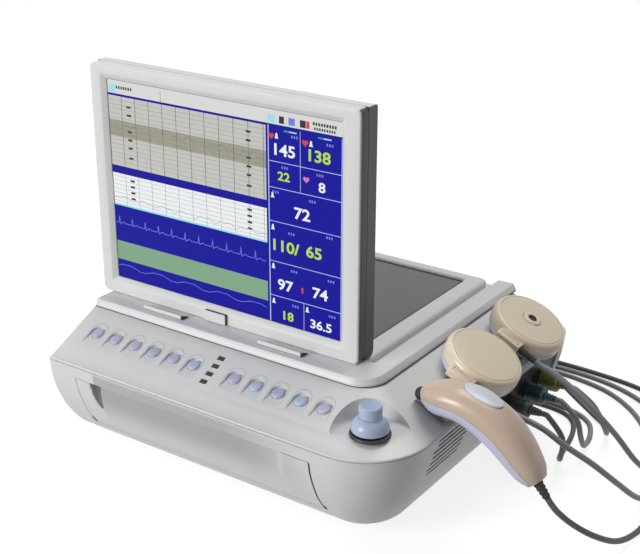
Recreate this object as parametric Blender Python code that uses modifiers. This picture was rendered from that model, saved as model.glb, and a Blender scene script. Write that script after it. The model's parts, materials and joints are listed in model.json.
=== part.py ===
"""Bedside fetal monitor made of separate solid parts, in metres with +Z up.

The parts are modelled in a working frame whose corner is the left front corner of the rim,
on the table. The last step moves everything so that the origin is at the bottom centre.
"""
import math

import bmesh
import bpy
from mathutils import Matrix, Vector

# General
GAP = 0.0003
WELD = 0.000005
OVERSHOOT = 0.0100
ROUND_STEPS = 24
FINE_STEPS = 32
KEY_STEPS = 16

# Housing plan
BODY_WIDTH = 0.3544
BODY_DEPTH = 0.3260
FRONT_CORNER_RADIUS = 0.0570
REAR_CORNER_RADIUS = 0.0200
CORNER_STEPS = 9
REAR_CORNER_STEPS = 4
ORIGIN_MARGIN = 0.13662
ORIGIN_DEPTH_SHARE = 0.5

# Lower housing: how its sections rise, and how far each wall is drawn in, as shares
WALL = 0.0030
RIM_BOTTOM = 0.0940
HULL_TOP = RIM_BOTTOM - GAP
HULL_TUCK = 0.0510
HULL_SIDE_SHARE = 0.85
HULL_REAR_SHARE = 0.20
HULL_RADIUS_SHARE = 0.57
HULL_SHARES = (
    (0.043757, 1.0), (0.090715, 0.880392), (0.148346, 0.745098), (0.218783, 0.613725),
    (0.302028, 0.490196), (0.388474, 0.374510), (0.474920, 0.274510), (0.589114, 0.176471),
    (0.753469, 0.068627), (0.864461, 0.027451), (1.0, 0.0),
)
HULL_LEVELS = tuple((HULL_TOP * rise, HULL_TUCK * tuck) for rise, tuck in HULL_SHARES)
HULL_FLOOR_TOP = HULL_LEVELS[0][0] + WALL

# Upper housing: rim, sloping panel and wing, and the level top under the platform
RIM_EDGE_OFFSET = 0.0016
RIM_EDGE = RIM_BOTTOM + RIM_EDGE_OFFSET
RIM_TOP_OFFSET = 0.0022
RIM_TOP = RIM_BOTTOM + RIM_TOP_OFFSET
RIM_CHAMFER = 0.0006
PANEL_FRONT = 0.0037
PANEL_REAR = 0.0609
WING_EDGE_INSET = 0.0010
REAR_EDGE_INSET = 0.0015
PANEL_RISE = 0.0271
WING_WIDTH = 0.0563
TOP_REAR_MARGIN = 0.0130
TOP_LEVEL = RIM_TOP + PANEL_RISE
TOP_RIGHT = BODY_WIDTH - WING_WIDTH
TOP_REAR = BODY_DEPTH - TOP_REAR_MARGIN
TOP_CORNER_RADIUS = 0.0220
TOP_REAR_RADIUS = 0.0100
PANEL_THICKNESS = 0.0065
SHELL_THICKNESS = 0.0035
VOID_BOTTOM_MARGIN = 0.0040
VOID_BOTTOM = RIM_BOTTOM - VOID_BOTTOM_MARGIN
VOID_TOP_MARGIN = 0.0038
VOID_TOP = TOP_LEVEL - VOID_TOP_MARGIN

# Raised platform, an L round the cradle
PLATFORM_HEIGHT = 0.0064
PLATFORM_LIP_HEIGHT = 0.0014
PLATFORM_OVERHANG = 0.0019
PLATFORM_BAND = 0.0186
PLATFORM_BOTTOM = TOP_LEVEL + GAP
PLATFORM_TOP = PLATFORM_BOTTOM + PLATFORM_HEIGHT
PLATFORM_LIP = PLATFORM_BOTTOM + PLATFORM_LIP_HEIGHT
PLATFORM_LEFT = 0.0004
PLATFORM_FRONT = PANEL_REAR
PLATFORM_RIGHT = TOP_RIGHT + PLATFORM_OVERHANG
PLATFORM_REAR = TOP_REAR
PLATFORM_SLOPE_WIDTH = 0.0031
PLATFORM_INNER_RIGHT = PLATFORM_RIGHT - PLATFORM_BAND
PLATFORM_INNER_FRONT_OFFSET = 0.0355
PLATFORM_INNER_FRONT = PLATFORM_FRONT + PLATFORM_INNER_FRONT_OFFSET

# Ridges over the hinges: (left, right) ends as shares of the body's width
RIDGE_SHARES = ((0.143341, 0.270598), (0.506208, 0.635722))
RIDGE_FRONT_OFFSET = 0.0094
RIDGE_FRONT = PLATFORM_FRONT + RIDGE_FRONT_OFFSET
RIDGE_REAR_OFFSET = 0.0090
RIDGE_REAR = RIDGE_FRONT + RIDGE_REAR_OFFSET
RIDGE_HEIGHT = 0.0040

# Cradle frame and its floor
CRADLE_BORDER = 0.0175
CRADLE_LEFT = 0.0030
CRADLE_RIGHT_MARGIN = 0.0094
CRADLE_RIGHT = PLATFORM_INNER_RIGHT - CRADLE_RIGHT_MARGIN
CRADLE_FRONT = PLATFORM_INNER_FRONT + 2.0 * GAP
CRADLE_REAR_MARGIN = 0.0025
CRADLE_REAR = TOP_REAR - CRADLE_REAR_MARGIN
CRADLE_INNER_LEFT = CRADLE_LEFT + CRADLE_BORDER
CRADLE_INNER_RIGHT_MARGIN = 0.0189
CRADLE_INNER_RIGHT = CRADLE_RIGHT - CRADLE_INNER_RIGHT_MARGIN
CRADLE_INNER_FRONT_OFFSET = 0.0150
CRADLE_INNER_FRONT = CRADLE_FRONT + CRADLE_INNER_FRONT_OFFSET
CRADLE_INNER_REAR_MARGIN = 0.0140
CRADLE_INNER_REAR = CRADLE_REAR - CRADLE_INNER_REAR_MARGIN
CRADLE_FLOOR_TOP_OFFSET = 0.0038
CRADLE_FLOOR_TOP = PLATFORM_BOTTOM + CRADLE_FLOOR_TOP_OFFSET
CRADLE_OUTER_RADIUS = 0.0060
CRADLE_INNER_RADIUS = 0.0030
CRADLE_ROUND_SHARE = 0.3

# Display
DISPLAY_LEFT = -0.0095
DISPLAY_RIGHT_MARGIN = 0.0001
DISPLAY_RIGHT = CRADLE_RIGHT - DISPLAY_RIGHT_MARGIN
DISPLAY_BOTTOM_OFFSET = 0.0005
DISPLAY_BOTTOM = PLATFORM_TOP + DISPLAY_BOTTOM_OFFSET
DISPLAY_TOP = 0.3440
DISPLAY_FRONT_OFFSET = 0.0221
DISPLAY_FRONT = PLATFORM_FRONT + DISPLAY_FRONT_OFFSET
BEZEL_DEPTH = 0.0110
BEZEL_REAR = DISPLAY_FRONT + BEZEL_DEPTH
SHELL_FRONT = BEZEL_REAR + 2.0 * GAP
SHELL_DEPTH = 0.0124
SHELL_REAR = SHELL_FRONT + SHELL_DEPTH
SHELL_EDGE_RADIUS = 0.0060
DISPLAY_CORNER_RADIUS = 0.0050
BEZEL_LEFT_BORDER = 0.0166
BEZEL_RIGHT_BORDER = 0.0188
BEZEL_LOWER_BORDER = 0.0155
BEZEL_UPPER_BORDER = 0.0135
SCREEN_LEFT = DISPLAY_LEFT + BEZEL_LEFT_BORDER
SCREEN_RIGHT = DISPLAY_RIGHT - BEZEL_RIGHT_BORDER
SCREEN_BOTTOM = DISPLAY_BOTTOM + BEZEL_LOWER_BORDER
SCREEN_TOP = DISPLAY_TOP - BEZEL_UPPER_BORDER
SCREEN_SLOPE = 0.0050
SCREEN_DEPTH = 0.0035
SCREEN_BORDER = 0.0040
PANEL_GLASS_FRONT_OFFSET = 0.0004
PANEL_GLASS_FRONT = DISPLAY_FRONT + SCREEN_DEPTH + PANEL_GLASS_FRONT_OFFSET
SHELL_POCKET_MARGIN = 0.0050
SHELL_POCKET_BOTTOM_OFFSET = 0.0125
SHELL_POCKET_BOTTOM = DISPLAY_BOTTOM + SHELL_POCKET_BOTTOM_OFFSET
SHELL_POCKET_REAR_MARGIN = 0.0025
SHELL_POCKET_REAR = SHELL_REAR - SHELL_POCKET_REAR_MARGIN

# Tilt hinge: the brackets stand at shares of the body's width
TILT_Y_OFFSET = 0.0205
TILT_Y = DISPLAY_FRONT + TILT_Y_OFFSET
TILT_Z_OFFSET = 0.0040
TILT_Z = DISPLAY_BOTTOM + TILT_Z_OFFSET
BRACKET_SHARES = (0.207111, 0.571106)
TILT_BRACKETS = tuple(BODY_WIDTH * share for share in BRACKET_SHARES)
BRACKET_HALF_WIDTH = 0.0060
BRACKET_RADIUS = 0.0037
TILT_PIN_RADIUS = 0.0016
TILT_PIN_REACH = 0.0140
BEARING_CLEARANCE = 0.0003
NOTCH_CLEARANCE = 0.0005

# Plain raised plate on the display's lower edge
PLATE_MIDDLE_SHARE = 0.352427
PLATE_WIDTH = 0.0230
PLATE_BOTTOM_OFFSET = 0.0007
PLATE_BOTTOM = DISPLAY_BOTTOM + PLATE_BOTTOM_OFFSET
PLATE_TOP_OFFSET = 0.0098
PLATE_TOP = PLATE_BOTTOM + PLATE_TOP_OFFSET
PLATE_FRONT_MARGIN = 0.0026
PLATE_FRONT = DISPLAY_FRONT - PLATE_FRONT_MARGIN

# Keys in arched recesses, at shares of the body's width
KEY_Y = 0.0376
KEY_FIRST_LEFT_SHARE = 0.069131
KEY_PITCH_LEFT_SHARE = 0.062923
KEY_COUNT_LEFT = 6
KEY_FIRST_RIGHT_SHARE = 0.507901
KEY_PITCH_RIGHT_SHARE = 0.063770
KEY_COUNT_RIGHT = 5
KEY_RADIUS = 0.00525
KEY_HOLE_CLEARANCE = 0.0004
KEY_RISE = 0.0029
KEY_DEPTH = 0.0033
KEY_EDGE = 0.0008
RECESS_RADIUS = 0.0075
RECESS_FRONT_MARGIN = 0.0126
RECESS_FRONT = KEY_Y - RECESS_FRONT_MARGIN
RECESS_TILT = math.radians(14.0)
KEY_BOARD_DEPTH = 0.0086
KEY_BOARD_THICKNESS = 0.0016
KEY_BOARD_FRONT = 0.0290
KEY_BOARD_REAR = 0.0540
KEY_BOARD_LEFT = 0.0150
KEY_BOARD_RIGHT_MARGIN = 0.0764
KEY_BOARD_RIGHT = BODY_WIDTH - KEY_BOARD_RIGHT_MARGIN

# Indicator windows
WINDOW_X_SHARE = 0.441591
WINDOW_X = BODY_WIDTH * WINDOW_X_SHARE
WINDOW_YS = (0.0255, 0.0335, 0.0416, 0.0497)
WINDOW_WIDTH = 0.0065
WINDOW_LENGTH = 0.0040
WINDOW_DEPTH = 0.0002
WINDOW_BAR_TOP = 0.0068
WINDOW_BAR_BOTTOM = 0.0081

# Jog knob, its pocket and encoder; the knob's profile is in shares of its radius and height
KNOB_X_MARGIN = 0.0388
KNOB_X = BODY_WIDTH - KNOB_X_MARGIN
KNOB_Y = 0.0350
POCKET_X_MARGIN = 0.0368
POCKET_X = BODY_WIDTH - POCKET_X_MARGIN
POCKET_Y = 0.0330
POCKET_RADIUS = 0.0330
POCKET_FLOOR_OFFSET = 0.0090
POCKET_FLOOR = RIM_BOTTOM + POCKET_FLOOR_OFFSET
POCKET_WALL = 0.0035
KNOB_RING_RADIUS = 0.0165
KNOB_RING_BORE = 0.0060
KNOB_RING_TOP_OFFSET = 0.0032
KNOB_RING_TOP = POCKET_FLOOR + KNOB_RING_TOP_OFFSET
KNOB_BOTTOM_OFFSET = 0.0046
KNOB_BOTTOM = POCKET_FLOOR + KNOB_BOTTOM_OFFSET
KNOB_RADIUS = 0.0150
KNOB_HEIGHT = 0.0214
SHAFT_RADIUS = 0.0030
SHAFT_CLEARANCE = 0.0004
SHAFT_BOTTOM_MARGIN = 0.0080
SHAFT_BOTTOM = POCKET_FLOOR - SHAFT_BOTTOM_MARGIN
SHAFT_TOP_OFFSET = 0.0164
SHAFT_TOP = KNOB_BOTTOM + SHAFT_TOP_OFFSET
KNOB_BORE_TOP_OFFSET = 0.0010
KNOB_BORE_TOP = SHAFT_TOP + KNOB_BORE_TOP_OFFSET
KNOB_SHARES = (
    (0.0, 1.0), (0.546667, 1.0), (0.613333, 0.953271), (0.613333, 0.602804),
    (0.646667, 0.485981), (0.746667, 0.345794), (0.893333, 0.196262), (0.973333, 0.112150),
    (1.0, 0.046729), (1.0, 0.0),
)
ENCODER_RADIUS = 0.0080
ENCODER_CLEARANCE = 0.0010
ENCODER_TOP = POCKET_FLOOR - POCKET_WALL - GAP
ENCODER_BOTTOM_MARGIN = 0.0132
ENCODER_BOTTOM = ENCODER_TOP - ENCODER_BOTTOM_MARGIN
ENCODER_BORE_BOTTOM_MARGIN = 0.0015
ENCODER_BORE_BOTTOM = SHAFT_BOTTOM - ENCODER_BORE_BOTTOM_MARGIN

# Recorder door, opening forward on two pins; levels and stations are shares of its height
# and width, and each station's second value is its share of the finger scoop
DOOR_LEFT = 0.0300
DOOR_RIGHT_MARGIN = 0.0744
DOOR_RIGHT = BODY_WIDTH - DOOR_RIGHT_MARGIN
DOOR_BOTTOM = 0.0280
DOOR_TOP_MARGIN = 0.0115
DOOR_TOP = RIM_BOTTOM - DOOR_TOP_MARGIN
DOOR_THICKNESS = 0.0030
DOOR_CLEARANCE = 0.0006
DOOR_LEVEL_SHARES = (
    0.0, 0.082569, 0.154128, 0.302752, 0.403670, 0.499083, 0.642202, 0.781651, 0.899083, 1.0)
DOOR_STATION_SHARES = (
    (0.0, 0.0), (0.058, 0.0), (0.072, 0.3), (0.084, 0.8), (0.104, 1.0), (0.48, 1.0),
    (0.852, 1.0), (0.872, 0.8), (0.884, 0.3), (0.898, 0.0), (1.0, 0.0),
)
SCOOP_DEPTH = 0.0060
SCOOP_BOTTOM_OFFSET = 0.0170
SCOOP_BOTTOM = DOOR_BOTTOM + SCOOP_BOTTOM_OFFSET
DOOR_AXIS_Y = 0.0270
DOOR_AXIS_Z_OFFSET = 0.0100
DOOR_AXIS_Z = DOOR_BOTTOM + DOOR_AXIS_Z_OFFSET
DOOR_PIN_RADIUS = 0.0016
EAR_RADIUS = 0.0034
EAR_FRONT_MARGIN = 0.0062
EAR_FRONT = DOOR_AXIS_Y - EAR_FRONT_MARGIN
EAR_MARGIN = 0.0062
EAR_WIDTH = 0.0038
PIN_MARGIN = 0.0018

# Recorder frame, roller, print head and paper
SIDE_PLATE_MARGIN = 0.0020
SIDE_PLATE_THICKNESS = 0.0036
SIDE_PLATE_CLEARANCE = 0.0042
SIDE_PLATE_SHARES = (0.302752, 0.499083, 0.781651)
PIVOT_BOSS_RADIUS = 0.0044
LIP_SWEEP_RADIUS = 0.0113
LIP_SWEEP_STEPS = 8
BOSS_SHOULDER = math.radians(20.0)
TRAY_BOTTOM_MARGIN = 0.0020
TRAY_BOTTOM = DOOR_BOTTOM - TRAY_BOTTOM_MARGIN
TRAY_TOP_OFFSET = 0.0022
TRAY_TOP = TRAY_BOTTOM + TRAY_TOP_OFFSET
TRAY_FRONT = 0.0330
TRAY_REAR = 0.1000
TRAY_BACK_THICKNESS = 0.0022
SIDE_PLATE_TOP_MARGIN = 0.0025
SIDE_PLATE_TOP = DOOR_TOP - SIDE_PLATE_TOP_MARGIN
POST_X_MARGIN = 0.0400
POST_XS = (DOOR_LEFT + POST_X_MARGIN, DOOR_RIGHT - POST_X_MARGIN)
POST_YS = (0.0620, 0.0900)
POST_RADIUS = 0.0040
ROLLER_Y = 0.0175
ROLLER_Z_MARGIN = 0.0085
ROLLER_Z = DOOR_TOP - ROLLER_Z_MARGIN
ROLLER_RADIUS = 0.0045
ROLLER_LEFT_OFFSET = 0.0070
ROLLER_LEFT = DOOR_LEFT + ROLLER_LEFT_OFFSET
ROLLER_RIGHT_MARGIN = 0.0120
ROLLER_RIGHT = DOOR_RIGHT - ROLLER_RIGHT_MARGIN
ROLLER_PIN_RADIUS = 0.0016
HEAD_FRONT_OFFSET = 0.0004
HEAD_FRONT = ROLLER_Y + ROLLER_RADIUS + HEAD_FRONT_OFFSET
HEAD_REAR_OFFSET = 0.0076
HEAD_REAR = HEAD_FRONT + HEAD_REAR_OFFSET
HEAD_BOTTOM_MARGIN = 0.0050
HEAD_BOTTOM = ROLLER_Z - HEAD_BOTTOM_MARGIN
HEAD_TOP_OFFSET = 0.0050
HEAD_TOP = ROLLER_Z + HEAD_TOP_OFFSET
PAPER_MARGIN = 0.0300
PAPER_LEFT = DOOR_LEFT + PAPER_MARGIN
PAPER_RIGHT = DOOR_RIGHT - PAPER_MARGIN
PAPER_FRONT = 0.0400
PAPER_REAR_MARGIN = 0.0030
PAPER_REAR = TRAY_REAR - PAPER_REAR_MARGIN
PAPER_TOP = 0.0600

# Electronics inside: blocks on the board as shares of its width, its depth and the rim's height
BOARD_LEFT = 0.0400
BOARD_RIGHT_MARGIN = 0.0844
BOARD_RIGHT = BODY_WIDTH - BOARD_RIGHT_MARGIN
BOARD_FRONT = 0.1250
BOARD_REAR_MARGIN = 0.0410
BOARD_REAR = BODY_DEPTH - BOARD_REAR_MARGIN
BOARD_BOTTOM = HULL_FLOOR_TOP + GAP
BOARD_TOP_OFFSET = 0.0016
BOARD_TOP = BOARD_BOTTOM + BOARD_TOP_OFFSET
BLOCK_SHARES = (
    (0.087, 0.261, 0.156, 0.469, 0.372), (0.435, 0.696, 0.125, 0.281, 0.234),
    (0.739, 0.913, 0.406, 0.781, 0.319),
)
INLET_LEFT = 0.0470
INLET_WIDTH = 0.0270
INLET_RIGHT = INLET_LEFT + INLET_WIDTH
INLET_BOTTOM = 0.0320
INLET_TOP = 0.0520
INLET_REAR_MARGIN = 0.0020
INLET_REAR = BODY_DEPTH - INLET_REAR_MARGIN
INLET_FRONT_MARGIN = 0.0260
INLET_FRONT = INLET_REAR - INLET_FRONT_MARGIN
INLET_POCKET_MARGIN = 0.0025
INLET_POCKET_DEPTH = 0.0140

# Vent slots in the right wall: front and rear end as shares of the depth, height of the rim's
VENT_SHARES = (
    (0.233129, 0.355828, 0.957447), (0.233129, 0.368098, 0.914894),
    (0.211656, 0.374233, 0.872340), (0.211656, 0.380368, 0.824468),
    (0.202454, 0.371166, 0.776596), (0.193252, 0.365031, 0.725532),
    (0.199387, 0.355828, 0.675532),
)
VENT_HEIGHT = 0.0020
VENT_INNER_MARGIN = 0.0244
VENT_INNER = BODY_WIDTH - VENT_INNER_MARGIN

# Connector panel and plugs on the right wall
CONNECTOR_REAR_MARGIN = 0.0280
CONNECTOR_REAR = BODY_DEPTH - CONNECTOR_REAR_MARGIN
CONNECTOR_LENGTH = 0.1150
CONNECTOR_FRONT = CONNECTOR_REAR - CONNECTOR_LENGTH
CONNECTOR_BOTTOM = 0.0360
CONNECTOR_TOP_MARGIN = 0.0060
CONNECTOR_TOP = RIM_BOTTOM - CONNECTOR_TOP_MARGIN
CONNECTOR_RECESS = 0.0015
CONNECTOR_THICKNESS = 0.0030
CONNECTOR_LEVEL_SHARES = (0.0, 0.163462, 0.369231, 0.665385, 1.0)
SOCKET_Z_OFFSET = 0.0300
SOCKET_Z = CONNECTOR_BOTTOM + SOCKET_Z_OFFSET
PLUG_MARGINS = (0.0920, 0.0620, 0.0330)
PLUG_YS = tuple(CONNECTOR_REAR - margin for margin in PLUG_MARGINS)
SOCKET_RADIUS = 0.0095
SOCKET_END_MARGIN = 0.0014
SOCKET_END = BODY_WIDTH - SOCKET_END_MARGIN
PLUG_RADIUS = 0.0080
PLUG_BODY = 0.0180
PLUG_NECK = 0.0100
PLUG_NECK_RADIUS = 0.0040
NECK_END_SHARE = 0.8
PLUG_ORDER = ("handset", "front_probe", "rear_probe")

# Feet
FOOT_WIDTH = 0.0160
FOOT_LEFT_MARGIN = 0.0140
FOOT_RIGHT_MARGIN = 0.0624
FOOT_FRONT = 0.0720
FOOT_REAR_MARGIN = 0.0260
FOOT_REAR = BODY_DEPTH - FOOT_REAR_MARGIN
FOOT_HEIGHT = HULL_LEVELS[0][0] - GAP

# Probes lying on the wing; their profiles are shares of the radius and of the thickness
WING_SLOPE = 0.4875
PROBE_TOP_X_MARGIN = 0.0074
PROBE_TOP_X = BODY_WIDTH - PROBE_TOP_X_MARGIN
PROBE_TOP_Z_OFFSET = 0.0067
PROBE_TOP_Z = TOP_LEVEL + PROBE_TOP_Z_OFFSET
PROBE_PITCH = 0.0850
REAR_PROBE_MARGIN = 0.0755
PROBE_YS = (BODY_DEPTH - REAR_PROBE_MARGIN - PROBE_PITCH, BODY_DEPTH - REAR_PROBE_MARGIN)
PROBE_RADIUS = 0.0345
PROBE_THICKNESS = 0.0240
PROBE_TILT = math.atan(WING_SLOPE)
PROBE_TOP_SHARES = (
    (0.0, 0.0), (0.521739, -0.016667), (0.753623, -0.05), (0.884058, -0.116667),
    (0.956522, -0.216667), (0.991304, -0.341667), (1.0, -0.520833), (0.0, -0.520833),
)
PROBE_BASE_SHARES = (
    (0.0, -0.5375), (0.994203, -0.5375), (0.979710, -0.6875), (0.927536, -0.833333),
    (0.826087, -0.95), (0.695652, -1.0), (0.0, -1.0),
)
GROOVE_RADIUS = 0.0235
GROOVE_WIDTH = 0.0012
GROOVE_DEPTH = 0.00184
SENSOR_RADIUS = 0.0085
SENSOR_POCKET_DEPTH = 0.0050
SENSOR_RISE = 0.0012
SENSOR_STROKE = 0.0010
TAB_NEAR = 0.0300
TAB_FAR_OFFSET = 0.0085
TAB_FAR = PROBE_RADIUS + TAB_FAR_OFFSET
TAB_HALF_LENGTH = 0.0120
TAB_TOP = 0.0050
TAB_BOTTOM = 0.0122
RELIEF_RADIUS = 0.0036
RELIEF_END_RADIUS = 0.0029
RELIEF_LENGTH = 0.0170
RELIEF_OFFSET = 0.0030
RELIEF_Y = -(PROBE_RADIUS + RELIEF_OFFSET)
RELIEF_DEPTH = 0.0088

# Rack on the wing: rests for the probes and an arm for the handset
RACK_LEFT_OFFSET = 0.0259
RACK_LEFT = TOP_RIGHT + RACK_LEFT_OFFSET
RACK_RIGHT_MARGIN = 0.0039
RACK_RIGHT = BODY_WIDTH - RACK_RIGHT_MARGIN
RACK_REAR_MARGIN = 0.0460
RACK_REAR = BODY_DEPTH - RACK_REAR_MARGIN
RACK_LENGTH = 0.1940
RACK_FRONT = RACK_REAR - RACK_LENGTH
RACK_THICKNESS = 0.0020
REST_RADIUS = 0.0160
REST_CLEARANCE = 0.0003

# Handset: its middle line, half heights and half width, as shares of its length
HANDSET_Y_MARGIN = 0.0760
HANDSET_Y = PROBE_YS[0] - HANDSET_Y_MARGIN
HANDSET_LEFT_MARGIN = 0.0214
HANDSET_LEFT = BODY_WIDTH - HANDSET_LEFT_MARGIN
HANDSET_RIGHT_OFFSET = 0.0786
HANDSET_RIGHT = BODY_WIDTH + HANDSET_RIGHT_OFFSET
HANDSET_TIP_Z_MARGIN = 0.0028
HANDSET_TIP_Z = TOP_LEVEL - HANDSET_TIP_Z_MARGIN
HANDSET_LENGTH = HANDSET_RIGHT - HANDSET_LEFT
HANDSET_SHARES = (
    (0.00, 0.000, 0.075, 0.070, 0.085), (0.05, 0.010, 0.105, 0.105, 0.125),
    (0.13, 0.017, 0.128, 0.130, 0.158), (0.23, 0.023, 0.142, 0.128, 0.176),
    (0.34, 0.020, 0.152, 0.128, 0.182), (0.46, -0.010, 0.160, 0.132, 0.182),
    (0.58, -0.060, 0.166, 0.140, 0.180), (0.69, -0.130, 0.168, 0.142, 0.176),
    (0.80, -0.230, 0.158, 0.135, 0.166), (0.89, -0.330, 0.140, 0.120, 0.150),
    (0.96, -0.405, 0.115, 0.100, 0.125), (1.00, -0.453, 0.080, 0.070, 0.090),
)
HANDSET_SECTIONS = tuple(
    (HANDSET_LEFT + HANDSET_LENGTH * along, HANDSET_TIP_Z + HANDSET_LENGTH * rise,
     HANDSET_LENGTH * high, HANDSET_LENGTH * low, HANDSET_LENGTH * wide)
    for along, rise, high, low, wide in HANDSET_SHARES)
HANDSET_ARC_STEPS = 10
HANDSET_FULLNESS_SHARE = 0.8
HANDSET_TIP_RADIUS_SHARE = 0.062
HANDSET_TIP_LENGTH_SHARE = 0.065
HANDSET_BUTTON_SECTION = 5
HANDSET_BUTTON_LENGTH = 0.0170
HANDSET_BUTTON_WIDTH = 0.0085
HANDSET_BUTTON_RISE = 0.0016
HANDSET_POCKET_DEPTH = 0.0034
HANDSET_STROKE = 0.0010
HANDSET_RELIEF_LENGTH = 0.0150
HANDSET_RELIEF_RADIUS = 0.0045
ARM_WIDTH = 0.0150
ARM_FRONT_OFFSET = 0.0025
ARM_FRONT = HANDSET_Y + ARM_FRONT_OFFSET
ARM_REAR = ARM_FRONT + ARM_WIDTH
ARM_THICKNESS = 0.0075
ARM_CLEARANCE = 0.00048
ARM_SECTIONS = (1, 8)
ARM_FREE_SECTION = 3

# Cables: route points from the body's right rear corner, and coils behind the housing
CABLE_RADIUS = 0.0025
CABLE_SPACING = 0.0160
COIL_RADIUS = 0.0275
COIL_PITCH = 0.0058
COIL_SEGMENTS = 20
COIL_BASE_OFFSET = 0.0004
COIL_BASE = CABLE_RADIUS + COIL_BASE_OFFSET

PARTS_NAME = "fetal_monitor"
CUTTERS_NAME = "cutters"
SLOTS = {
    "housing_white": ((0.80, 0.79, 0.75, 1.0), 0.45, 0.0),
    "shell_grey": ((0.24, 0.24, 0.25, 1.0), 0.50, 0.0),
    "gloss_grey": ((0.42, 0.42, 0.44, 1.0), 0.20, 0.0),
    "screen_glass": ((0.03, 0.03, 0.30, 1.0), 0.15, 0.0),
    "key_lavender": ((0.55, 0.56, 0.75, 1.0), 0.40, 0.0),
    "dark_plastic": ((0.05, 0.05, 0.06, 1.0), 0.50, 0.0),
    "knob_blue": ((0.38, 0.40, 0.62, 1.0), 0.40, 0.0),
    "probe_beige": ((0.68, 0.62, 0.48, 1.0), 0.45, 0.0),
    "probe_lavender": ((0.50, 0.48, 0.62, 1.0), 0.45, 0.0),
    "rubber_dark": ((0.04, 0.04, 0.04, 1.0), 0.80, 0.0),
    "cable_grey": ((0.30, 0.30, 0.31, 1.0), 0.60, 0.0),
    "plug_teal": ((0.02, 0.10, 0.10, 1.0), 0.45, 0.0),
    "plug_olive": ((0.22, 0.23, 0.04, 1.0), 0.45, 0.0),
    "steel": ((0.55, 0.56, 0.57, 1.0), 0.35, 1.0),
    "board_green": ((0.03, 0.18, 0.08, 1.0), 0.55, 0.0),
    "paper_white": ((0.85, 0.85, 0.82, 1.0), 0.85, 0.0),
}


# Scene and object helpers

def clear_scene():
    """Remove every object and make the two collections."""
    for old in list(bpy.data.objects):
        bpy.data.objects.remove(old)
    for name in (PARTS_NAME, CUTTERS_NAME):
        group = bpy.data.collections.new(name)
        bpy.context.scene.collection.children.link(group)


def material_for(slot, name):
    """Make the part's own material from its slot's colour, roughness and metallic value."""
    colour, roughness, metallic = SLOTS[slot]
    material = bpy.data.materials.new(name)
    material.use_nodes = True
    shader = material.node_tree.nodes["Principled BSDF"]
    shader.inputs["Base Color"].default_value = colour
    shader.inputs["Roughness"].default_value = roughness
    shader.inputs["Metallic"].default_value = metallic
    material.diffuse_color = colour
    return material


def object_from(bm, name, origin=(0.0, 0.0, 0.0)):
    """Turn a bmesh into an object whose origin is at the given point."""
    bmesh.ops.recalc_face_normals(bm, faces=bm.faces)
    bmesh.ops.translate(bm, verts=bm.verts, vec=-Vector(origin))
    mesh = bpy.data.meshes.new(name)
    bm.to_mesh(mesh)
    bm.free()
    obj = bpy.data.objects.new(name, mesh)
    obj.location = origin
    return obj


def as_part(obj, slot, smooth=False):
    """Put an object among the parts with its own material."""
    bpy.data.collections[PARTS_NAME].objects.link(obj)
    obj.data.materials.clear()
    obj.data.materials.append(material_for(slot, obj.name))
    if smooth:
        obj.data.shade_smooth()
        obj.data.set_sharp_from_angle(angle=math.radians(35.0))
    return obj


def as_cutter(obj):
    """Put an object among the cutters, drawn as wire and never rendered."""
    bpy.data.collections[CUTTERS_NAME].objects.link(obj)
    obj.hide_render = True
    obj.display_type = "WIRE"
    return obj


def combine(target, tool, operation):
    """Add a Boolean of one operation to the target."""
    modifier = target.modifiers.new(operation.lower(), "BOOLEAN")
    modifier.operation = operation
    modifier.solver = "EXACT"
    modifier.object = tool


def cut(target, tool):
    """Cut the tool's shape out of the target."""
    combine(target, tool, "DIFFERENCE")


def join(target, tool):
    """Fuse the tool's shape onto the target."""
    combine(target, tool, "UNION")


def soften(obj, width, segments=2, angle=30.0):
    """Round the object's edges sharper than the angle."""
    modifier = obj.modifiers.new("soft_edges", "BEVEL")
    modifier.width = width
    modifier.segments = segments
    modifier.limit_method = "ANGLE"
    modifier.angle_limit = math.radians(angle)


# Shape helpers, all in the working frame

def add_box(bm, low, high, matrix=Matrix.Identity(4)):
    """Add a box between two corners, then moved by the matrix."""
    size = Vector(high) - Vector(low)
    middle = (Vector(high) + Vector(low)) / 2.0
    place = matrix @ Matrix.Translation(middle) @ Matrix.Diagonal(size.to_4d())
    bmesh.ops.create_cube(bm, size=1.0, matrix=place)


def box(name, low, high, origin=(0.0, 0.0, 0.0)):
    """Make a box object between two corners."""
    bm = bmesh.new()
    add_box(bm, low, high)
    return object_from(bm, name, origin)


def add_rod(bm, start, end, radius, steps=ROUND_STEPS, end_radius=None):
    """Add a cylinder or cone between two points."""
    start, end = Vector(start), Vector(end)
    along = end - start
    turn = along.to_track_quat("Z", "Y").to_matrix().to_4x4()
    place = Matrix.Translation((start + end) / 2.0) @ turn
    tip = radius if end_radius is None else end_radius
    bmesh.ops.create_cone(
        bm, cap_ends=True, segments=steps, radius1=radius, radius2=tip,
        depth=along.length, matrix=place)


def rod(name, start, end, radius, origin=(0.0, 0.0, 0.0), steps=ROUND_STEPS):
    """Make a cylinder object between two points."""
    bm = bmesh.new()
    add_rod(bm, start, end, radius, steps)
    return object_from(bm, name, origin)


def turned(name, profile, place, steps=ROUND_STEPS, closed=False):
    """Make a turned object: a profile of (radius, height) points and a Screw modifier."""
    mesh = bpy.data.meshes.new(name)
    points = [(radius, 0.0, height) for radius, height in profile]
    edges = [(index, index + 1) for index in range(len(points) - 1)]
    if closed:
        edges.append((len(points) - 1, 0))
    mesh.from_pydata(points, edges, [])
    obj = bpy.data.objects.new(name, mesh)
    obj.matrix_world = place
    screw = obj.modifiers.new("turn", "SCREW")
    screw.angle = math.tau
    screw.steps = steps
    screw.render_steps = steps
    screw.use_merge_vertices = True
    screw.merge_threshold = WELD
    screw.use_smooth_shade = True
    return obj


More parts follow.
